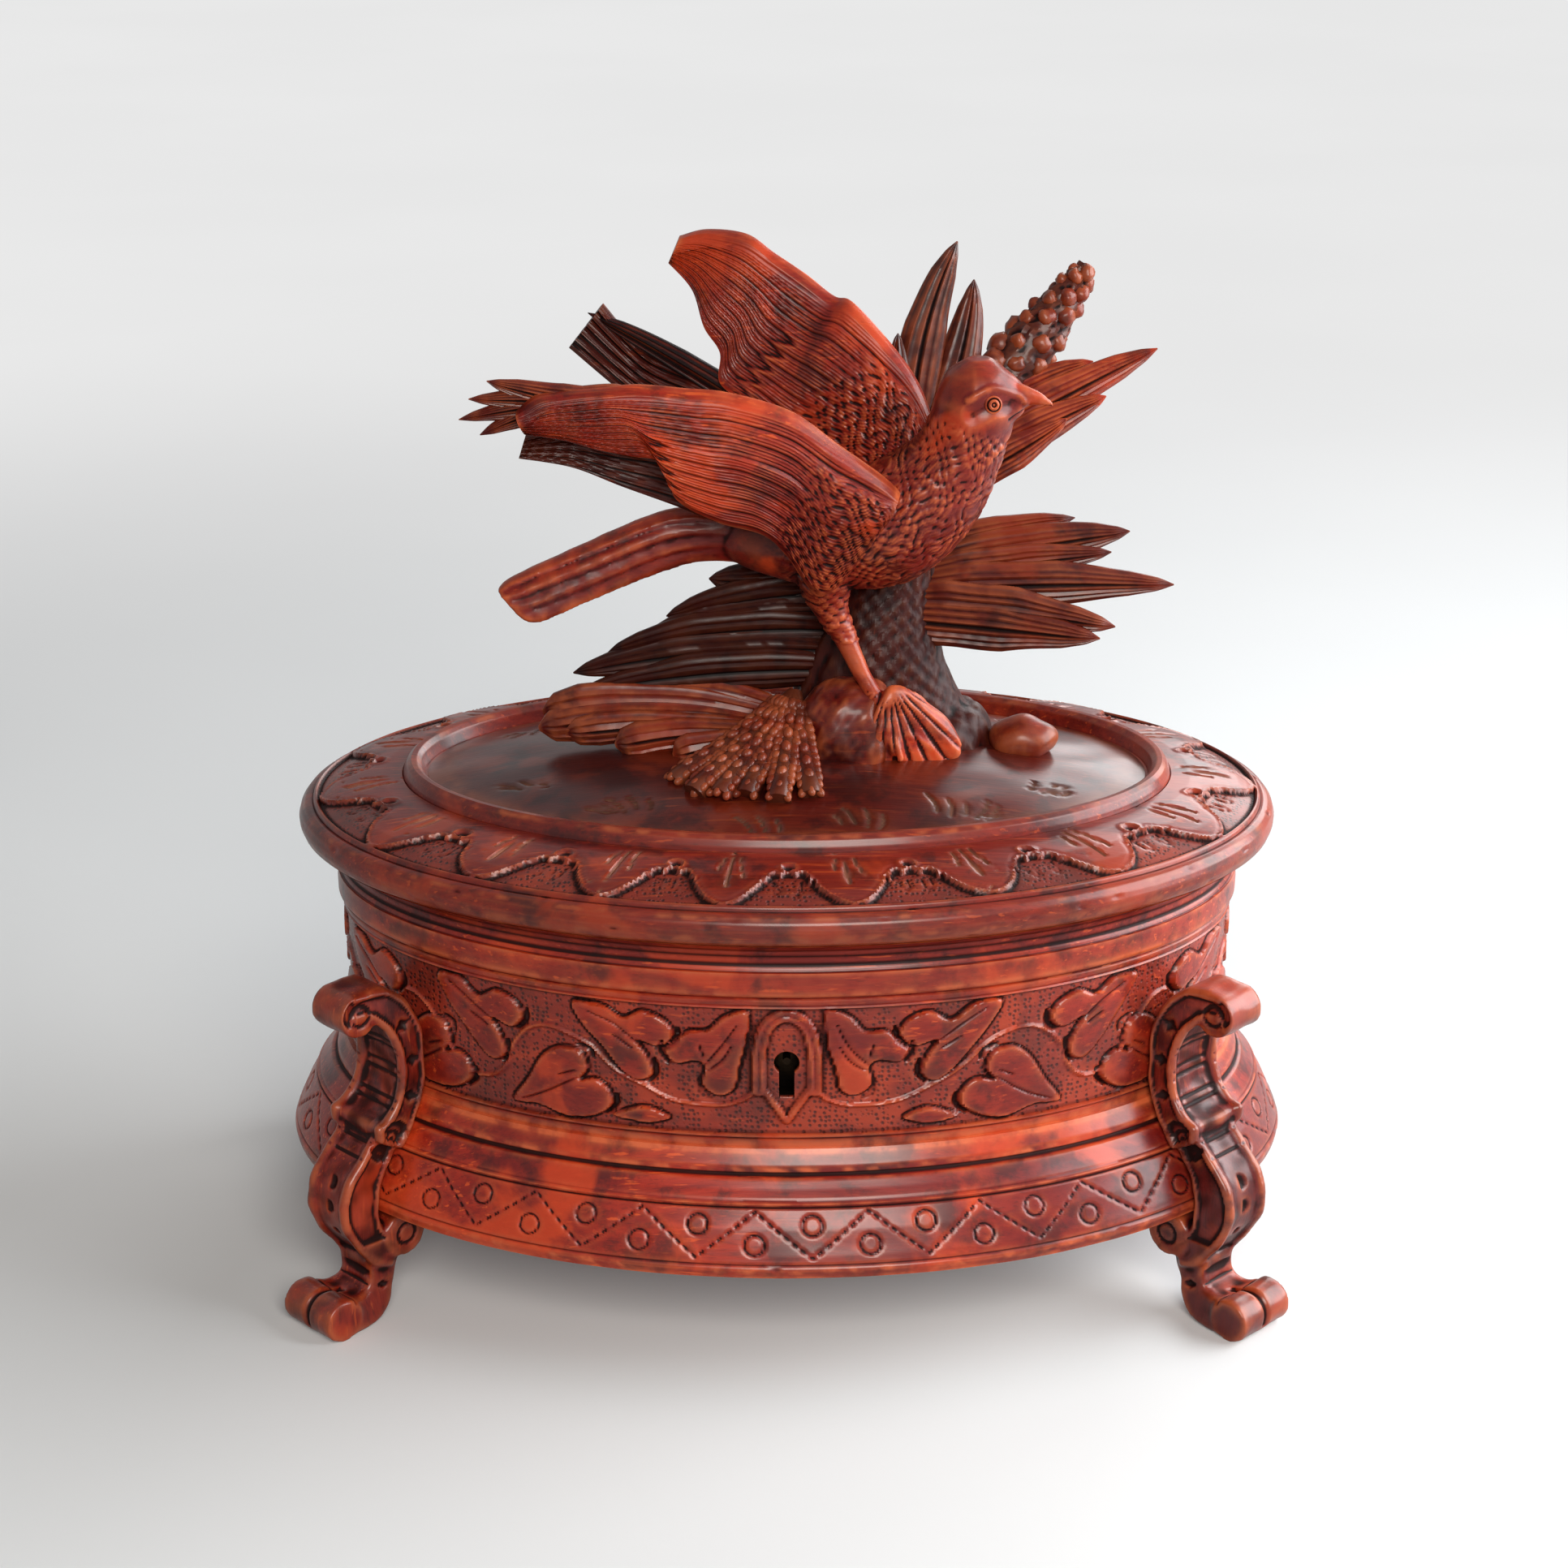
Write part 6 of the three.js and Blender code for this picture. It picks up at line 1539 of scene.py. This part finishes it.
# %% Sprays of leaves: root, bend and tip, then width and thickness
sprays = {
    "upper_leaves": [
        ((0.32, 0.15, 0.54), (0.34, 0.19, 0.77), (0.43, 0.23, 0.98), 0.1, 0.045),
        ((0.34, 0.15, 0.54), (0.43, 0.2, 0.72), (0.475, 0.25, 0.9), 0.095, 0.04),
        ((0.31, 0.14, 0.54), (0.285, 0.13, 0.69), (0.28, 0.14, 0.81), 0.06, 0.04)],
    "right_upper_leaves": [
        ((0.33, 0.15, 0.5), (0.63, 0.17, 0.645), (0.94, 0.19, 0.77), 0.1, 0.045),
        ((0.33, 0.16, 0.53), (0.57, 0.19, 0.66), (0.78, 0.21, 0.74), 0.09, 0.04),
        ((0.33, 0.14, 0.48), (0.6, 0.14, 0.6), (0.81, 0.15, 0.68), 0.09, 0.045),
        ((0.32, 0.13, 0.46), (0.54, 0.11, 0.555), (0.71, 0.12, 0.64), 0.08, 0.04)],
    "right_lower_leaves": [
        ((0.27, 0.14, 0.34), (0.5, 0.2, 0.375), (0.75, 0.25, 0.405), 0.085, 0.045),
        ((0.27, 0.13, 0.32), (0.6, 0.19, 0.355), (0.89, 0.21, 0.385), 0.1, 0.045),
        ((0.27, 0.12, 0.3), (0.56, 0.16, 0.325), (0.84, 0.17, 0.35), 0.09, 0.045),
        ((0.26, 0.11, 0.28), (0.62, 0.12, 0.295), (1, 0.13, 0.29), 0.1, 0.045),
        ((0.25, 0.1, 0.26), (0.53, 0.07, 0.255), (0.84, 0.01, 0.23), 0.11, 0.06),
        ((0.24, 0.08, 0.235), (0.5, 0.05, 0.225), (0.8, -0.01, 0.21), 0.11, 0.06)],
    "left_dark_fan": [
        ((0.16, 0.09, 0.32), (-0.03, 0.09, 0.31), (-0.2, 0.1, 0.31), 0.1, 0.05),
        ((0.16, 0.09, 0.29), (-0.08, 0.08, 0.275), (-0.31, 0.08, 0.235), 0.1, 0.05),
        ((0.16, 0.08, 0.25), (-0.11, 0.07, 0.24), (-0.37, 0.06, 0.195), 0.1, 0.05),
        ((0.16, 0.07, 0.21), (-0.17, 0.06, 0.21), (-0.46, 0.05, 0.165), 0.1, 0.05),
        ((0.15, 0.06, 0.17), (-0.21, 0.045, 0.17), (-0.55, 0.035, 0.125), 0.1, 0.05),
        ((0.15, 0.05, 0.13), (-0.19, 0.03, 0.13), (-0.53, 0.02, 0.09), 0.1, 0.05)],
    "left_light_fan": [
        ((0.02, 0.02, 0.03), (-0.18, 0.02, 0.08), (-0.38, 0.03, 0.07), 0.1, 0.05),
        ((0.02, 0.01, 0.02), (-0.3, 0.01, 0.07), (-0.63, 0.02, 0.045), 0.1, 0.05),
        ((0.02, 0, 0.01), (-0.31, -0.01, 0.045), (-0.64, 0, 0.015), 0.09, 0.05),
        ((0.02, -0.02, 0), (-0.28, -0.03, 0.03), (-0.57, -0.03, 0.012), 0.08, 0.05),
        ((0.02, -0.04, 0), (-0.22, -0.06, 0.022), (-0.44, -0.07, -0.002), 0.08, 0.05),
        ((0.02, -0.06, -0.01), (-0.14, -0.1, 0.01), (-0.29, -0.12, -0.01), 0.08, 0.05)]}
spray_looks = {"upper_leaves": (2, low_walnut), "right_upper_leaves": (3, leaf_walnut),
               "right_lower_leaves": (3, low_walnut), "left_dark_fan": (4, dark_walnut),
               "left_light_fan": (2, shade_walnut)}
for name, blades in sprays.items():
    grooves, finish = spray_looks[name]
    shapes = [blade_shape(*blade, grooves, k, 0.12 * (-1) ** k, name == "left_light_fan")
              for k, blade in enumerate(blades)]
    carve_piece(f"{name}_carved", shapes, finish, name, 0.00022, 0.0009)

# %% Stump, boulder and stone
stump_rows = [(0.24, 0.08, -0.08, 0.32, 0.2), (0.24, 0.08, -0.02, 0.29, 0.19), (0.23, 0.08, 0.04, 0.23, 0.15),
              (0.23, 0.09, 0.14, 0.18, 0.13), (0.25, 0.12, 0.27, 0.13, 0.11), (0.28, 0.14, 0.41, 0.1, 0.09),
              (0.31, 0.15, 0.52, 0.09, 0.08), (0.33, 0.16, 0.58, 0.05, 0.05)]


def bark(along, around):
    turn = around / np.maximum(around.max(1, keepdims=True), 1) * 2 * math.pi
    ridges = 1.1 * np.abs(np.sin(turn * 8 + 1.2 * np.sin(along / 9))) - 0.5
    knobs = scales(along, turn * 15, 4.6, 2.4)
    mix = 0.5 + 0.5 * np.sin(turn * 2 + along / 30)
    return ridges * mix + knobs * (1 - mix * 0.6)


stump = fuse("stump_carved", [limb_shape(stump_rows, 130, 12, bark)], 0.6, bark_walnut, 1)
age(stump, 0.00014, 0.0008)
place_piece(stump, "lid", "finial_stump")
round_boulder = knob_shape((0.165, -0.065, 0.02), (0.148, 0.115, 0.155), 50, 80, 0.035, 41)
boulder = fuse("boulder_carved", [round_boulder], 0.6, shade_walnut, 1)
points = mesh_points(boulder.data) / mm
push(boulder, 0.25 * ripple(points, 7, 43) + 0.06 * ripple(points, 2, 44))
age(boulder, 0.00014, 0.0008)
place_piece(boulder, "lid", "finial_stump")
stone = knob_shape((0.61, 0.02, -0.012), (0.09, 0.07, 0.058), 30, 50, 0.05, 42)
carve_piece("stone_carved", [stone], shade_walnut, "finial_stone")

# %% [markdown]
# ## Grains, knobs and screws
# The ears of wheat, the knobbly flower spike and the screws each repeat one small form many times.
# Copying objects in a loop would fill the file with them. A Geometry Nodes tree takes plain points that
# carry a size and an aim, puts one form on each, turns it and makes the whole one mesh.

# %% A tree that puts a form on every point
def geometry_tree(name, inputs):
    tree = bpy.data.node_groups.new(name, "GeometryNodeTree")
    tree.interface.new_socket("Geometry", in_out="INPUT", socket_type="NodeSocketGeometry")
    for label, kind, value in inputs:
        tree.interface.new_socket(label, in_out="INPUT", socket_type=kind).default_value = value
    tree.interface.new_socket("Geometry", in_out="OUTPUT", socket_type="NodeSocketGeometry")
    start = Wire(tree)
    entry = tree.nodes.new("NodeGroupInput")
    return tree, start, [Wire(tree, socket) for socket in entry.outputs]


def close_tree(start, shapes, material):
    """Instances made real, smooth and finished."""
    real = start.node("GeometryNodeRealizeInstances", {}, {0: shapes})
    soft = start.node("GeometryNodeSetShadeSmooth", {}, {0: real})
    done = start.node("GeometryNodeSetMaterial", {}, {0: soft, "Material": material})
    start.node("NodeGroupOutput", {"is_active_output": True}, {0: done})


def put_on_points(start, points, form, tilt, seed):
    aim = start.node("GeometryNodeInputNamedAttribute", {"data_type": "FLOAT_VECTOR"}, {"Name": "aim"})
    size = start.node("GeometryNodeInputNamedAttribute", {"data_type": "FLOAT"}, {"Name": "size"})
    turn = start.node("FunctionNodeAlignRotationToVector", {"axis": "Z"}, {"Vector": aim})
    jitter = start.node("FunctionNodeRandomValue", {"data_type": "FLOAT_VECTOR"},
                        {0: (-1.0, -1.0, -1.0), 1: (1.0, 1.0, 1.0), "Seed": seed})
    wobble = start.node("ShaderNodeVectorMath", {"operation": "SCALE"}, {0: jitter, "Scale": tilt})
    turned = start.node("FunctionNodeRotateRotation", {"rotation_space": "LOCAL"}, {0: turn, 1: wobble})
    return start.node("GeometryNodeInstanceOnPoints", {},
                      {"Points": points, "Instance": form, "Rotation": turned, "Scale": size})


print("points' tree ready")


# %% A grain tree and a screw tree
def grain_tree(name, material):
    """A pointed grain on every point."""
    tree, start, (points, length, width, tilt, seed, _) = geometry_tree(name, [
        ("Grain length", "NodeSocketFloat", 0.004), ("Grain width", "NodeSocketFloat", 0.0026),
        ("Tilt", "NodeSocketFloat", 0.1), ("Seed", "NodeSocketInt", 5)])
    ball = start.node("GeometryNodeMeshUVSphere", {}, {"Segments": 12, "Rings": 8, "Radius": 0.5})
    stretch = start.node("ShaderNodeCombineXYZ", {}, {0: width, 1: width, 2: length})
    form = start.node("GeometryNodeTransform", {}, {"Geometry": ball, "Scale": stretch})
    close_tree(start, put_on_points(start, points, form, tilt, seed), material)
    return tree


def screw_tree(name, material):
    """A slotted wood screw on every point, with its head's face at the point and its shank along the aim."""
    tree, start, (points, radius, length, seed, _) = geometry_tree(name, [
        ("Head radius", "NodeSocketFloat", 0.0018), ("Length", "NodeSocketFloat", 0.008),
        ("Seed", "NodeSocketInt", 2)])
    head = start.node("GeometryNodeMeshCone", {}, {
        "Vertices": 24, "Radius Top": radius * 0.5, "Radius Bottom": radius, "Depth": radius * 0.7})
    shank = start.node("GeometryNodeMeshCone", {}, {
        "Vertices": 16, "Radius Top": radius * 0.15, "Radius Bottom": radius * 0.48,
        "Depth": length - radius * 0.6})
    shank_start = start.node("ShaderNodeCombineXYZ", {}, {2: radius * 0.6})
    lowered = start.node("GeometryNodeTransform", {}, {"Geometry": shank, "Translation": shank_start})
    slot_size = start.node("ShaderNodeCombineXYZ", {}, {0: radius * 2.4, 1: radius * 0.3, 2: radius * 0.5})
    slot = start.node("GeometryNodeMeshCube", {}, {"Size": slot_size})
    cut = start.node("GeometryNodeMeshBoolean", {"operation": "DIFFERENCE", "solver": "FLOAT"},
                     {0: head, 1: slot})
    both = start.node("GeometryNodeJoinGeometry", {}, {0: cut})
    start.tree.links.new(lowered.socket, both.socket.node.inputs[0])
    close_tree(start, put_on_points(start, points, both, 0.0, seed), material)
    return tree


print("grain and screw trees ready")


# %% Running a tree on points
def grow_on_points(name, places, aims, sizes, tree, settings):
    """Runs a tree on points in millimetres, and returns the plain mesh object."""
    mesh = bpy.data.meshes.new(name)
    mesh.from_pydata((np.asarray(places, float) * mm).tolist(), [], [])
    aimed = mesh.attributes.new("aim", "FLOAT_VECTOR", "POINT")
    aimed.data.foreach_set("vector", np.asarray(aims, float).ravel())
    store(mesh, "size", sizes)
    obj = link_object(name, mesh)
    modifier = obj.modifiers.new("grow", "NODES")
    modifier.node_group = tree
    labels = {item.name: item.identifier for item in tree.interface.items_tree if item.in_out == "INPUT"}
    for label, value in settings.items():
        modifier[labels[label]] = value
    return settle(obj)


print("growing ready")

# %% Ears of wheat
ear_slices = [(0, 0.1), (0.5, 0.025), (0.9, -0.015), (1, -0.03)]
ear_top = np.array([0.02, -0.04])
ear_ends = [(-0.28, -0.25), (-0.23, -0.33), (-0.165, -0.35), (-0.1, -0.35), (-0.02, -0.38), (0.06, -0.35)]
grain_pitch = 2.35
grain_places, grain_aims, grain_sizes, ear_shapes = [], [], [], []


def place_at(line, run, reach):
    return np.array([np.interp(reach, run, line[:, axis]) for axis in range(3)])


for end in ear_ends:
    ear_line = [(*(ear_top + (np.array(end) - ear_top) * along), up, 0.02 + 0.012 * along)
                for along, up in ear_slices]
    ear_shapes.append(limb_shape(ear_line, 16))
    line = places_of(curve_through(ear_line, count=9))
    run = run_along(line)
    for k, reach in enumerate(np.arange(5, run[-1] + 1.2, grain_pitch)):
        middle = place_at(line, run, reach)
        along = unit(place_at(line, run, reach + 0.5) - place_at(line, run, reach - 0.5))
        across = unit(np.cross(along, [0, 0, 1]))
        above = unit(np.cross(across, along))
        for side in (-1, 0, 1):
            if (k + side) % 2 == 0 or side:
                grain_places.append(middle + across * side * 2.1 + above * (2.1 - 0.9 * abs(side)))
                grain_aims.append(along + across * side * 0.35 + above * 0.25)
                grain_sizes.append(1.0 if reach < run[-1] - 3 else 0.8)
carve_piece("wheat_ears_carved", ear_shapes, rear_walnut, "wheat_ears")
wheat_grain = grain_tree("wheat_grain", wheat_walnut)
grains = grow_on_points("wheat_grains", grain_places, grain_aims, grain_sizes, wheat_grain,
                        {"Grain length": 0.0038, "Grain width": 0.0026, "Tilt": 0.2, "Seed": 5})
age(grains, 0.0001, 0.0006)
place_piece(grains, "lid", "wheat_ears")

# %% Flower spike
spike_rows = [(0.32, 0.15, 0.52, 0.03), (0.48, 0.2, 0.645, 0.045), (0.56, 0.23, 0.71, 0.066),
              (0.64, 0.26, 0.785, 0.062), (0.71, 0.285, 0.86, 0.042), (0.765, 0.3, 0.92, 0.02)]
knob_count = 46
knob_turn = 2.4


def spike_relief(along, around):
    return 0.5 * ripple(np.stack([along, around * 1.3], -1), 3.2, 51)


spike = limb_shape(spike_rows, 40, 10, spike_relief)
carve_piece("flower_spike_carved", [spike], rear_walnut, "flower_spike")
spike_line = curve_through(spike_rows, count=8)
spike_centres = places_of(spike_line)
spike_along = unit(np.gradient(spike_centres, axis=0))
knob_places, knob_aims, knob_sizes = [], [], []
for k in range(knob_count):
    row = 8 + int(k * (len(spike_line) - 10) / (knob_count - 1))
    deep, wide = square_to(spike_along[row])
    out = math.cos(k * knob_turn) * wide + math.sin(k * knob_turn) * deep
    thick = spike_line[row][3]
    knob_places.append(spike_centres[row] + out * thick * group_reach * 0.88)
    knob_aims.append(out + 0.4 * spike_along[row])
    knob_sizes.append((0.5 + 0.55 * thick / 0.066) * (0.8 + 0.45 * ((k * 7) % 5) / 4))
flower_knob = grain_tree("flower_knob", shade_walnut)
knobs = grow_on_points("flower_knobs", knob_places, knob_aims, knob_sizes, flower_knob,
                       {"Grain length": 0.0046, "Grain width": 0.0052, "Tilt": 0.2, "Seed": 9})
push(knobs, 0.28 * ripple(mesh_points(knobs.data) / mm, 2.2, 53))
age(knobs, 0.00016, 0.0008)
place_piece(knobs, "lid", "flower_spike")

# %% [markdown]
# ## Velvet and brass
# The inside isn't in the photograph. Such boxes are lined with velvet, here a dark crimson. Velvet looks pale
# at grazing angles because its pile stands up, which the shader's sheen gives, and it keeps brush marks. Old
# brass is dull and brown where nothing rubs it. Where the lock is seen through the keyhole, its brass is
# painted near-black as painted shade. Both are built from noise at the scale of the real thing.

# %% Velvet and brass finishes
def velvet_finish(name, dark, light):
    material, start = new_finish(name)
    place = start.node("ShaderNodeTexCoord", {}, {}, 3)
    brushed = noise(start, place, 30.0, 6.0, 0.5, 0.3)
    pile = noise(start, place, 1500.0, 3.0)
    dust = noise(start, place, 300.0, 4.0).band(0.6, 0.74)
    colour = (brushed.band(0.36, 0.64) * 0.45 + pile.band(0.35, 0.65) * 0.5).mix(rgb(*dark), rgb(*light))
    colour = (dust * 0.18).mix(colour, rgb(150, 110, 104))
    values = {"Base Color": colour, "Roughness": 0.86 + pile * 0.1, "Specular IOR Level": 0.15,
              "Sheen Weight": 0.7, "Sheen Roughness": 0.4}
    return close_finish(material, start, values, pile, 0.0004)


def brass_finish(name, bright, dull, rubbed, keyhole_shade_below=None):
    """Old brass. Below the given height, in metres, where the lock is seen through the keyhole, it is painted
    dark as shade.
    """
    material, start = new_finish(name)
    place = start.node("ShaderNodeTexCoord", {}, {}, 3)
    clouds = noise(start, place, 130.0, 5.0)
    filed = start.node("ShaderNodeMapping", {}, {"Vector": place, "Scale": (60, 1800, 1800)})
    file_marks = noise(start, filed, 1.0, 2.0)
    spots = start.node("ShaderNodeTexVoronoi", {}, {"Vector": place, "Scale": 420.0}).band(0.08, 0.2)
    colour = clouds.band(0.38, 0.62 + rubbed).mix(rgb(*bright), rgb(*dull))
    colour = ((1 - spots) * 0.5).mix(colour, rgb(46, 33, 20))
    # Painted shade: the brass behind the keyhole is near-black.
    if keyhole_shade_below:
        height = start.node("ShaderNodeSeparateXYZ", {}, {"Vector": place}, 2)
        colour = height.band(keyhole_shade_below, keyhole_shade_below + 0.0004).mix(rgb(34, 26, 18), colour)
    roughness = 0.3 + clouds.band(0.4, 0.7) * 0.25 + file_marks * 0.12
    values = {"Base Color": colour, "Metallic": 0.95, "Roughness": roughness}
    return close_finish(material, start, values, file_marks * 0.6 + clouds * 0.4, 0.00008)


crimson_velvet = velvet_finish("crimson_velvet", (66, 12, 22), (104, 24, 36))
aged_brass = brass_finish("aged_brass", (186, 148, 84), (104, 74, 40), 0.1)
# Near-black brass for the lock's inner parts: painted shade where they are seen through the keyhole.
keyhole_shade_brass = brass_finish("keyhole_shade_brass", (48, 36, 24), (22, 16, 12), 0.0)
lock_brass = brass_finish("lock_brass", (176, 140, 80), (98, 70, 38), 0.1, 0.0911)
print("velvet and brass ready")

# %% [markdown]
# ## Lining and pads
# The lining is a strip of velvet glued round the wall, cut out in front for the lock. The floor and the lid
# have thin pads of wadding under velvet. A pad could be sculpted, but cloth shows where its cover is tight
# better than a hand does, so each pad's closed skin is blown up a little with Blender's cloth and then kept
# inside the room it has.

# %% Lining of the wall
def lining_relief(place, spread, height, girth):
    inside = spread < -11.2
    soft = 0.12 * ripple(np.stack([place, height], -1), 16, 31)
    hems = sum(ridge(np.abs(height - level), 1.1) for level in (39.2, 88.4))
    seam = ridge(np.abs(np.abs(place) - girth / 2 + 0.9), 0.8)
    return np.where(inside, soft - 0.3 * hems - 0.35 * seam - 0.05, 0), np.zeros(np.shape(place))


lining_profile = [(-10.35, 36.4, 4), (-10.35, 90.9, 0.6), (-11.4, 90.6, 2.2), (-11.4, 36.4, 0.6)]
lining = oval_skin("wall_lining_velvet", lining_profile, 360, lining_relief, crimson_velvet, 2.2)
cut_out(lining, [block_shape((-20.9, -70, 62.4), (20.9, -40, 94))])
place_piece(lining, "box", "wall_lining", slot="velvet")


# %% A pad's skin, blown up and dressed
cloth_frames = 20


def pad_skin(name, rows, columns=72):
    """A closed oval cushion. Each row is a spread from the wall's oval, a height and a share of that oval."""
    turn = full_turn(columns)
    rings = [np.stack([(half_long + off) * share * np.cos(turn), (half_wide + off) * share * np.sin(turn),
                       height + 0 * turn], 1) for off, height, share in rows]
    faces = list(grid_faces(len(rings), columns))
    last = (len(rings) - 1) * columns
    faces += [tuple(range(columns))[::-1], tuple(range(last, last + columns))]
    return build_mesh(name, np.concatenate(rings), faces, crimson_velvet)


def blow_up(obj, pressure, most):
    """Runs cloth with air pressure in it. No point moves further than most, in mm."""
    before = mesh_points(obj.data)
    cloth = obj.modifiers.new("cloth", "CLOTH")
    cloth.settings.quality = 6
    cloth.settings.mass = 0.25
    cloth.settings.use_pressure = True
    cloth.settings.uniform_pressure_force = pressure
    cloth.settings.effector_weights.gravity = 0
    cloth.settings.tension_stiffness = 12
    cloth.settings.compression_stiffness = 12
    cloth.point_cache.frame_start = 1
    cloth.point_cache.frame_end = cloth_frames
    for frame_number in range(1, cloth_frames + 1):
        bpy.context.scene.frame_set(frame_number)
    blown = obj.evaluated_get(bpy.context.evaluated_depsgraph_get()).to_mesh()
    after = mesh_points(blown)
    obj.modifiers.remove(cloth)
    bpy.context.scene.frame_set(1)
    moves = after - before
    length = np.maximum(np.linalg.norm(moves, axis=1, keepdims=True), 1e-9)
    limit = most * mm
    moved_to = before + moves / length * limit * np.tanh(length / limit)
    move_points(obj.data, moved_to)
    furthest = np.linalg.norm(moved_to - before, axis=1).max() / mm
    print(obj.name, "blown up by", round(float(furthest), 2), "mm")


def dress_pad(obj, low, high, edge, outward_sign):
    """Divides the pad once, adds its stitched welt and soft dents, and keeps it in its room."""
    divide = obj.modifiers.new("divide", "SUBSURF")
    divide.levels = divide.render_levels = 1
    settle(obj)
    points = mesh_points(obj.data) / mm
    size = np.hypot(points[:, 0] / (half_long + edge), points[:, 1] / (half_wide + edge))
    inward = (1 - size) * (half_wide + edge)
    face_side = (points[:, 2] - (low + high) / 2) * outward_sign > 0
    dents = 0.28 * ripple(points[:, :2], 26, 41) + 0.1 * ripple(points[:, :2], 9, 42)
    welt = 0.75 * ridge(np.abs(inward - 4.6), 1.1)
    centre_line = np.clip(inward / 12, 0, 1)
    points[:, 2] += outward_sign * face_side * (dents * centre_line - welt)
    points[:, 2] = np.clip(points[:, 2], low, high)
    shrink = np.minimum(1, 1 / np.maximum(size, 1e-6))
    points[:, :2] *= shrink[:, None]
    move_points(obj.data, points * mm)
    smooth_faces(obj.data)


print("pad tools ready")

# %% Pads of the floor and the lid
floor_pad_rows = [(-15, 36.6, 1), (-13.6, 37, 1), (-13, 38.6, 1), (-13.6, 40.6, 1), (-16.4, 41.8, 1),
                  (-20, 42.2, 0.97), (-20, 42.5, 0.8), (-20, 42.7, 0.5)]
lid_pad_rows = [(-20, 97.7, 0.5), (-20, 97.9, 0.8), (-18, 98.3, 0.98), (-13.6, 99.4, 1), (-11.6, 101.2, 1),
                (-11.1, 104, 1), (-11.2, 107.6, 1), (-12, 108.4, 1)]
pad_plans = {"floor_pad_velvet": ("box", "floor_pad", 36.4, 43.6, -12.2, 1, 0.8, floor_pad_rows),
             "lid_pad_velvet": ("lid", "lid_pad", 96.7, 108.6, -10.5, -1, 0.9, lid_pad_rows)}
pad_voxel = 3.4
pad_pressure = 4.0
for name, (body, node, low, high, edge, side, most, rows) in pad_plans.items():
    pad = pad_skin(name, rows)
    even_mesh(pad, pad_voxel)
    blow_up(pad, pad_pressure, most)
    dress_pad(pad, low, high, edge, side)
    place_piece(pad, body, node, slot="velvet")

# %% [markdown]
# ## Floor board, hinges, screws and lock
# The floor is a plain board let into the base. The hinges, the lock and its screws are bought brass. The
# screws are all one shape, so they grow on points, with a slotted head and a plain shank. The lock and the
# hinges move closely against each other, so they keep the frame's own solids, with a better finish.

# %% Floor board
board = pad_skin("bottom_board_planed", [(-7.4, 29.6, 0.5), (-7.4, 29.6, 1), (-6.6, 30.3, 1), (-6.6, 35.9, 1),
                                         (-6.9, 36, 1), (-6.9, 36, 0.5)], 160)
board.data.materials.clear()
board.data.materials.append(carved_walnut("board_walnut", "x", 0.8, 0.1, 1.0, True))
place_piece(board, "box", "bottom_board")

# %% Screws on points
screws = screw_tree("screws", aged_brass)
screw_sets = {
    "hinge_lower_screws": ("box", (0, 0, -1), [f"hinge_lower_screw_{k}" for k in (1, 2, 3, 4)]),
    "hinge_upper_screws": ("lid", (0, 0, 1), [f"hinge_upper_screw_{k}" for k in (1, 2, 3, 4)]),
    "lock_screws": ("box", (0, 0, -1), ["lock_screw_left", "lock_screw_right"]),
    "link_screws": ("lid", (0, 0, 1), ["link_screw_left", "link_screw_right"])}
for name, (body, aim, nodes) in screw_sets.items():
    corners = [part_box(node) for node in nodes]
    heads = [[(low[0] + high[0]) / 2, (low[1] + high[1]) / 2, low[2] if aim[2] > 0 else high[2]]
             for low, high in corners]
    made = grow_on_points(name, np.array(heads) / mm, [aim] * len(heads), [1.0] * len(heads), screws,
                          {"Head radius": 0.00178, "Length": 0.0079})
    place_piece(made, body, *nodes, slot="brass")

# %% Finish of the frame's own brass
# The lock's parts behind the keyhole take painted shade.
finishes = {"lock_case": lock_brass, "lock_key_post": keyhole_shade_brass, "lock_cover": keyhole_shade_brass}
for node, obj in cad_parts.items():
    if obj.name.startswith(("hinge_", "lock_", "leg_screw", "group_screw")):
        obj.data.materials.clear()
        obj.data.materials.append(finishes.get(node, aged_brass))
print("brass nodes finished")
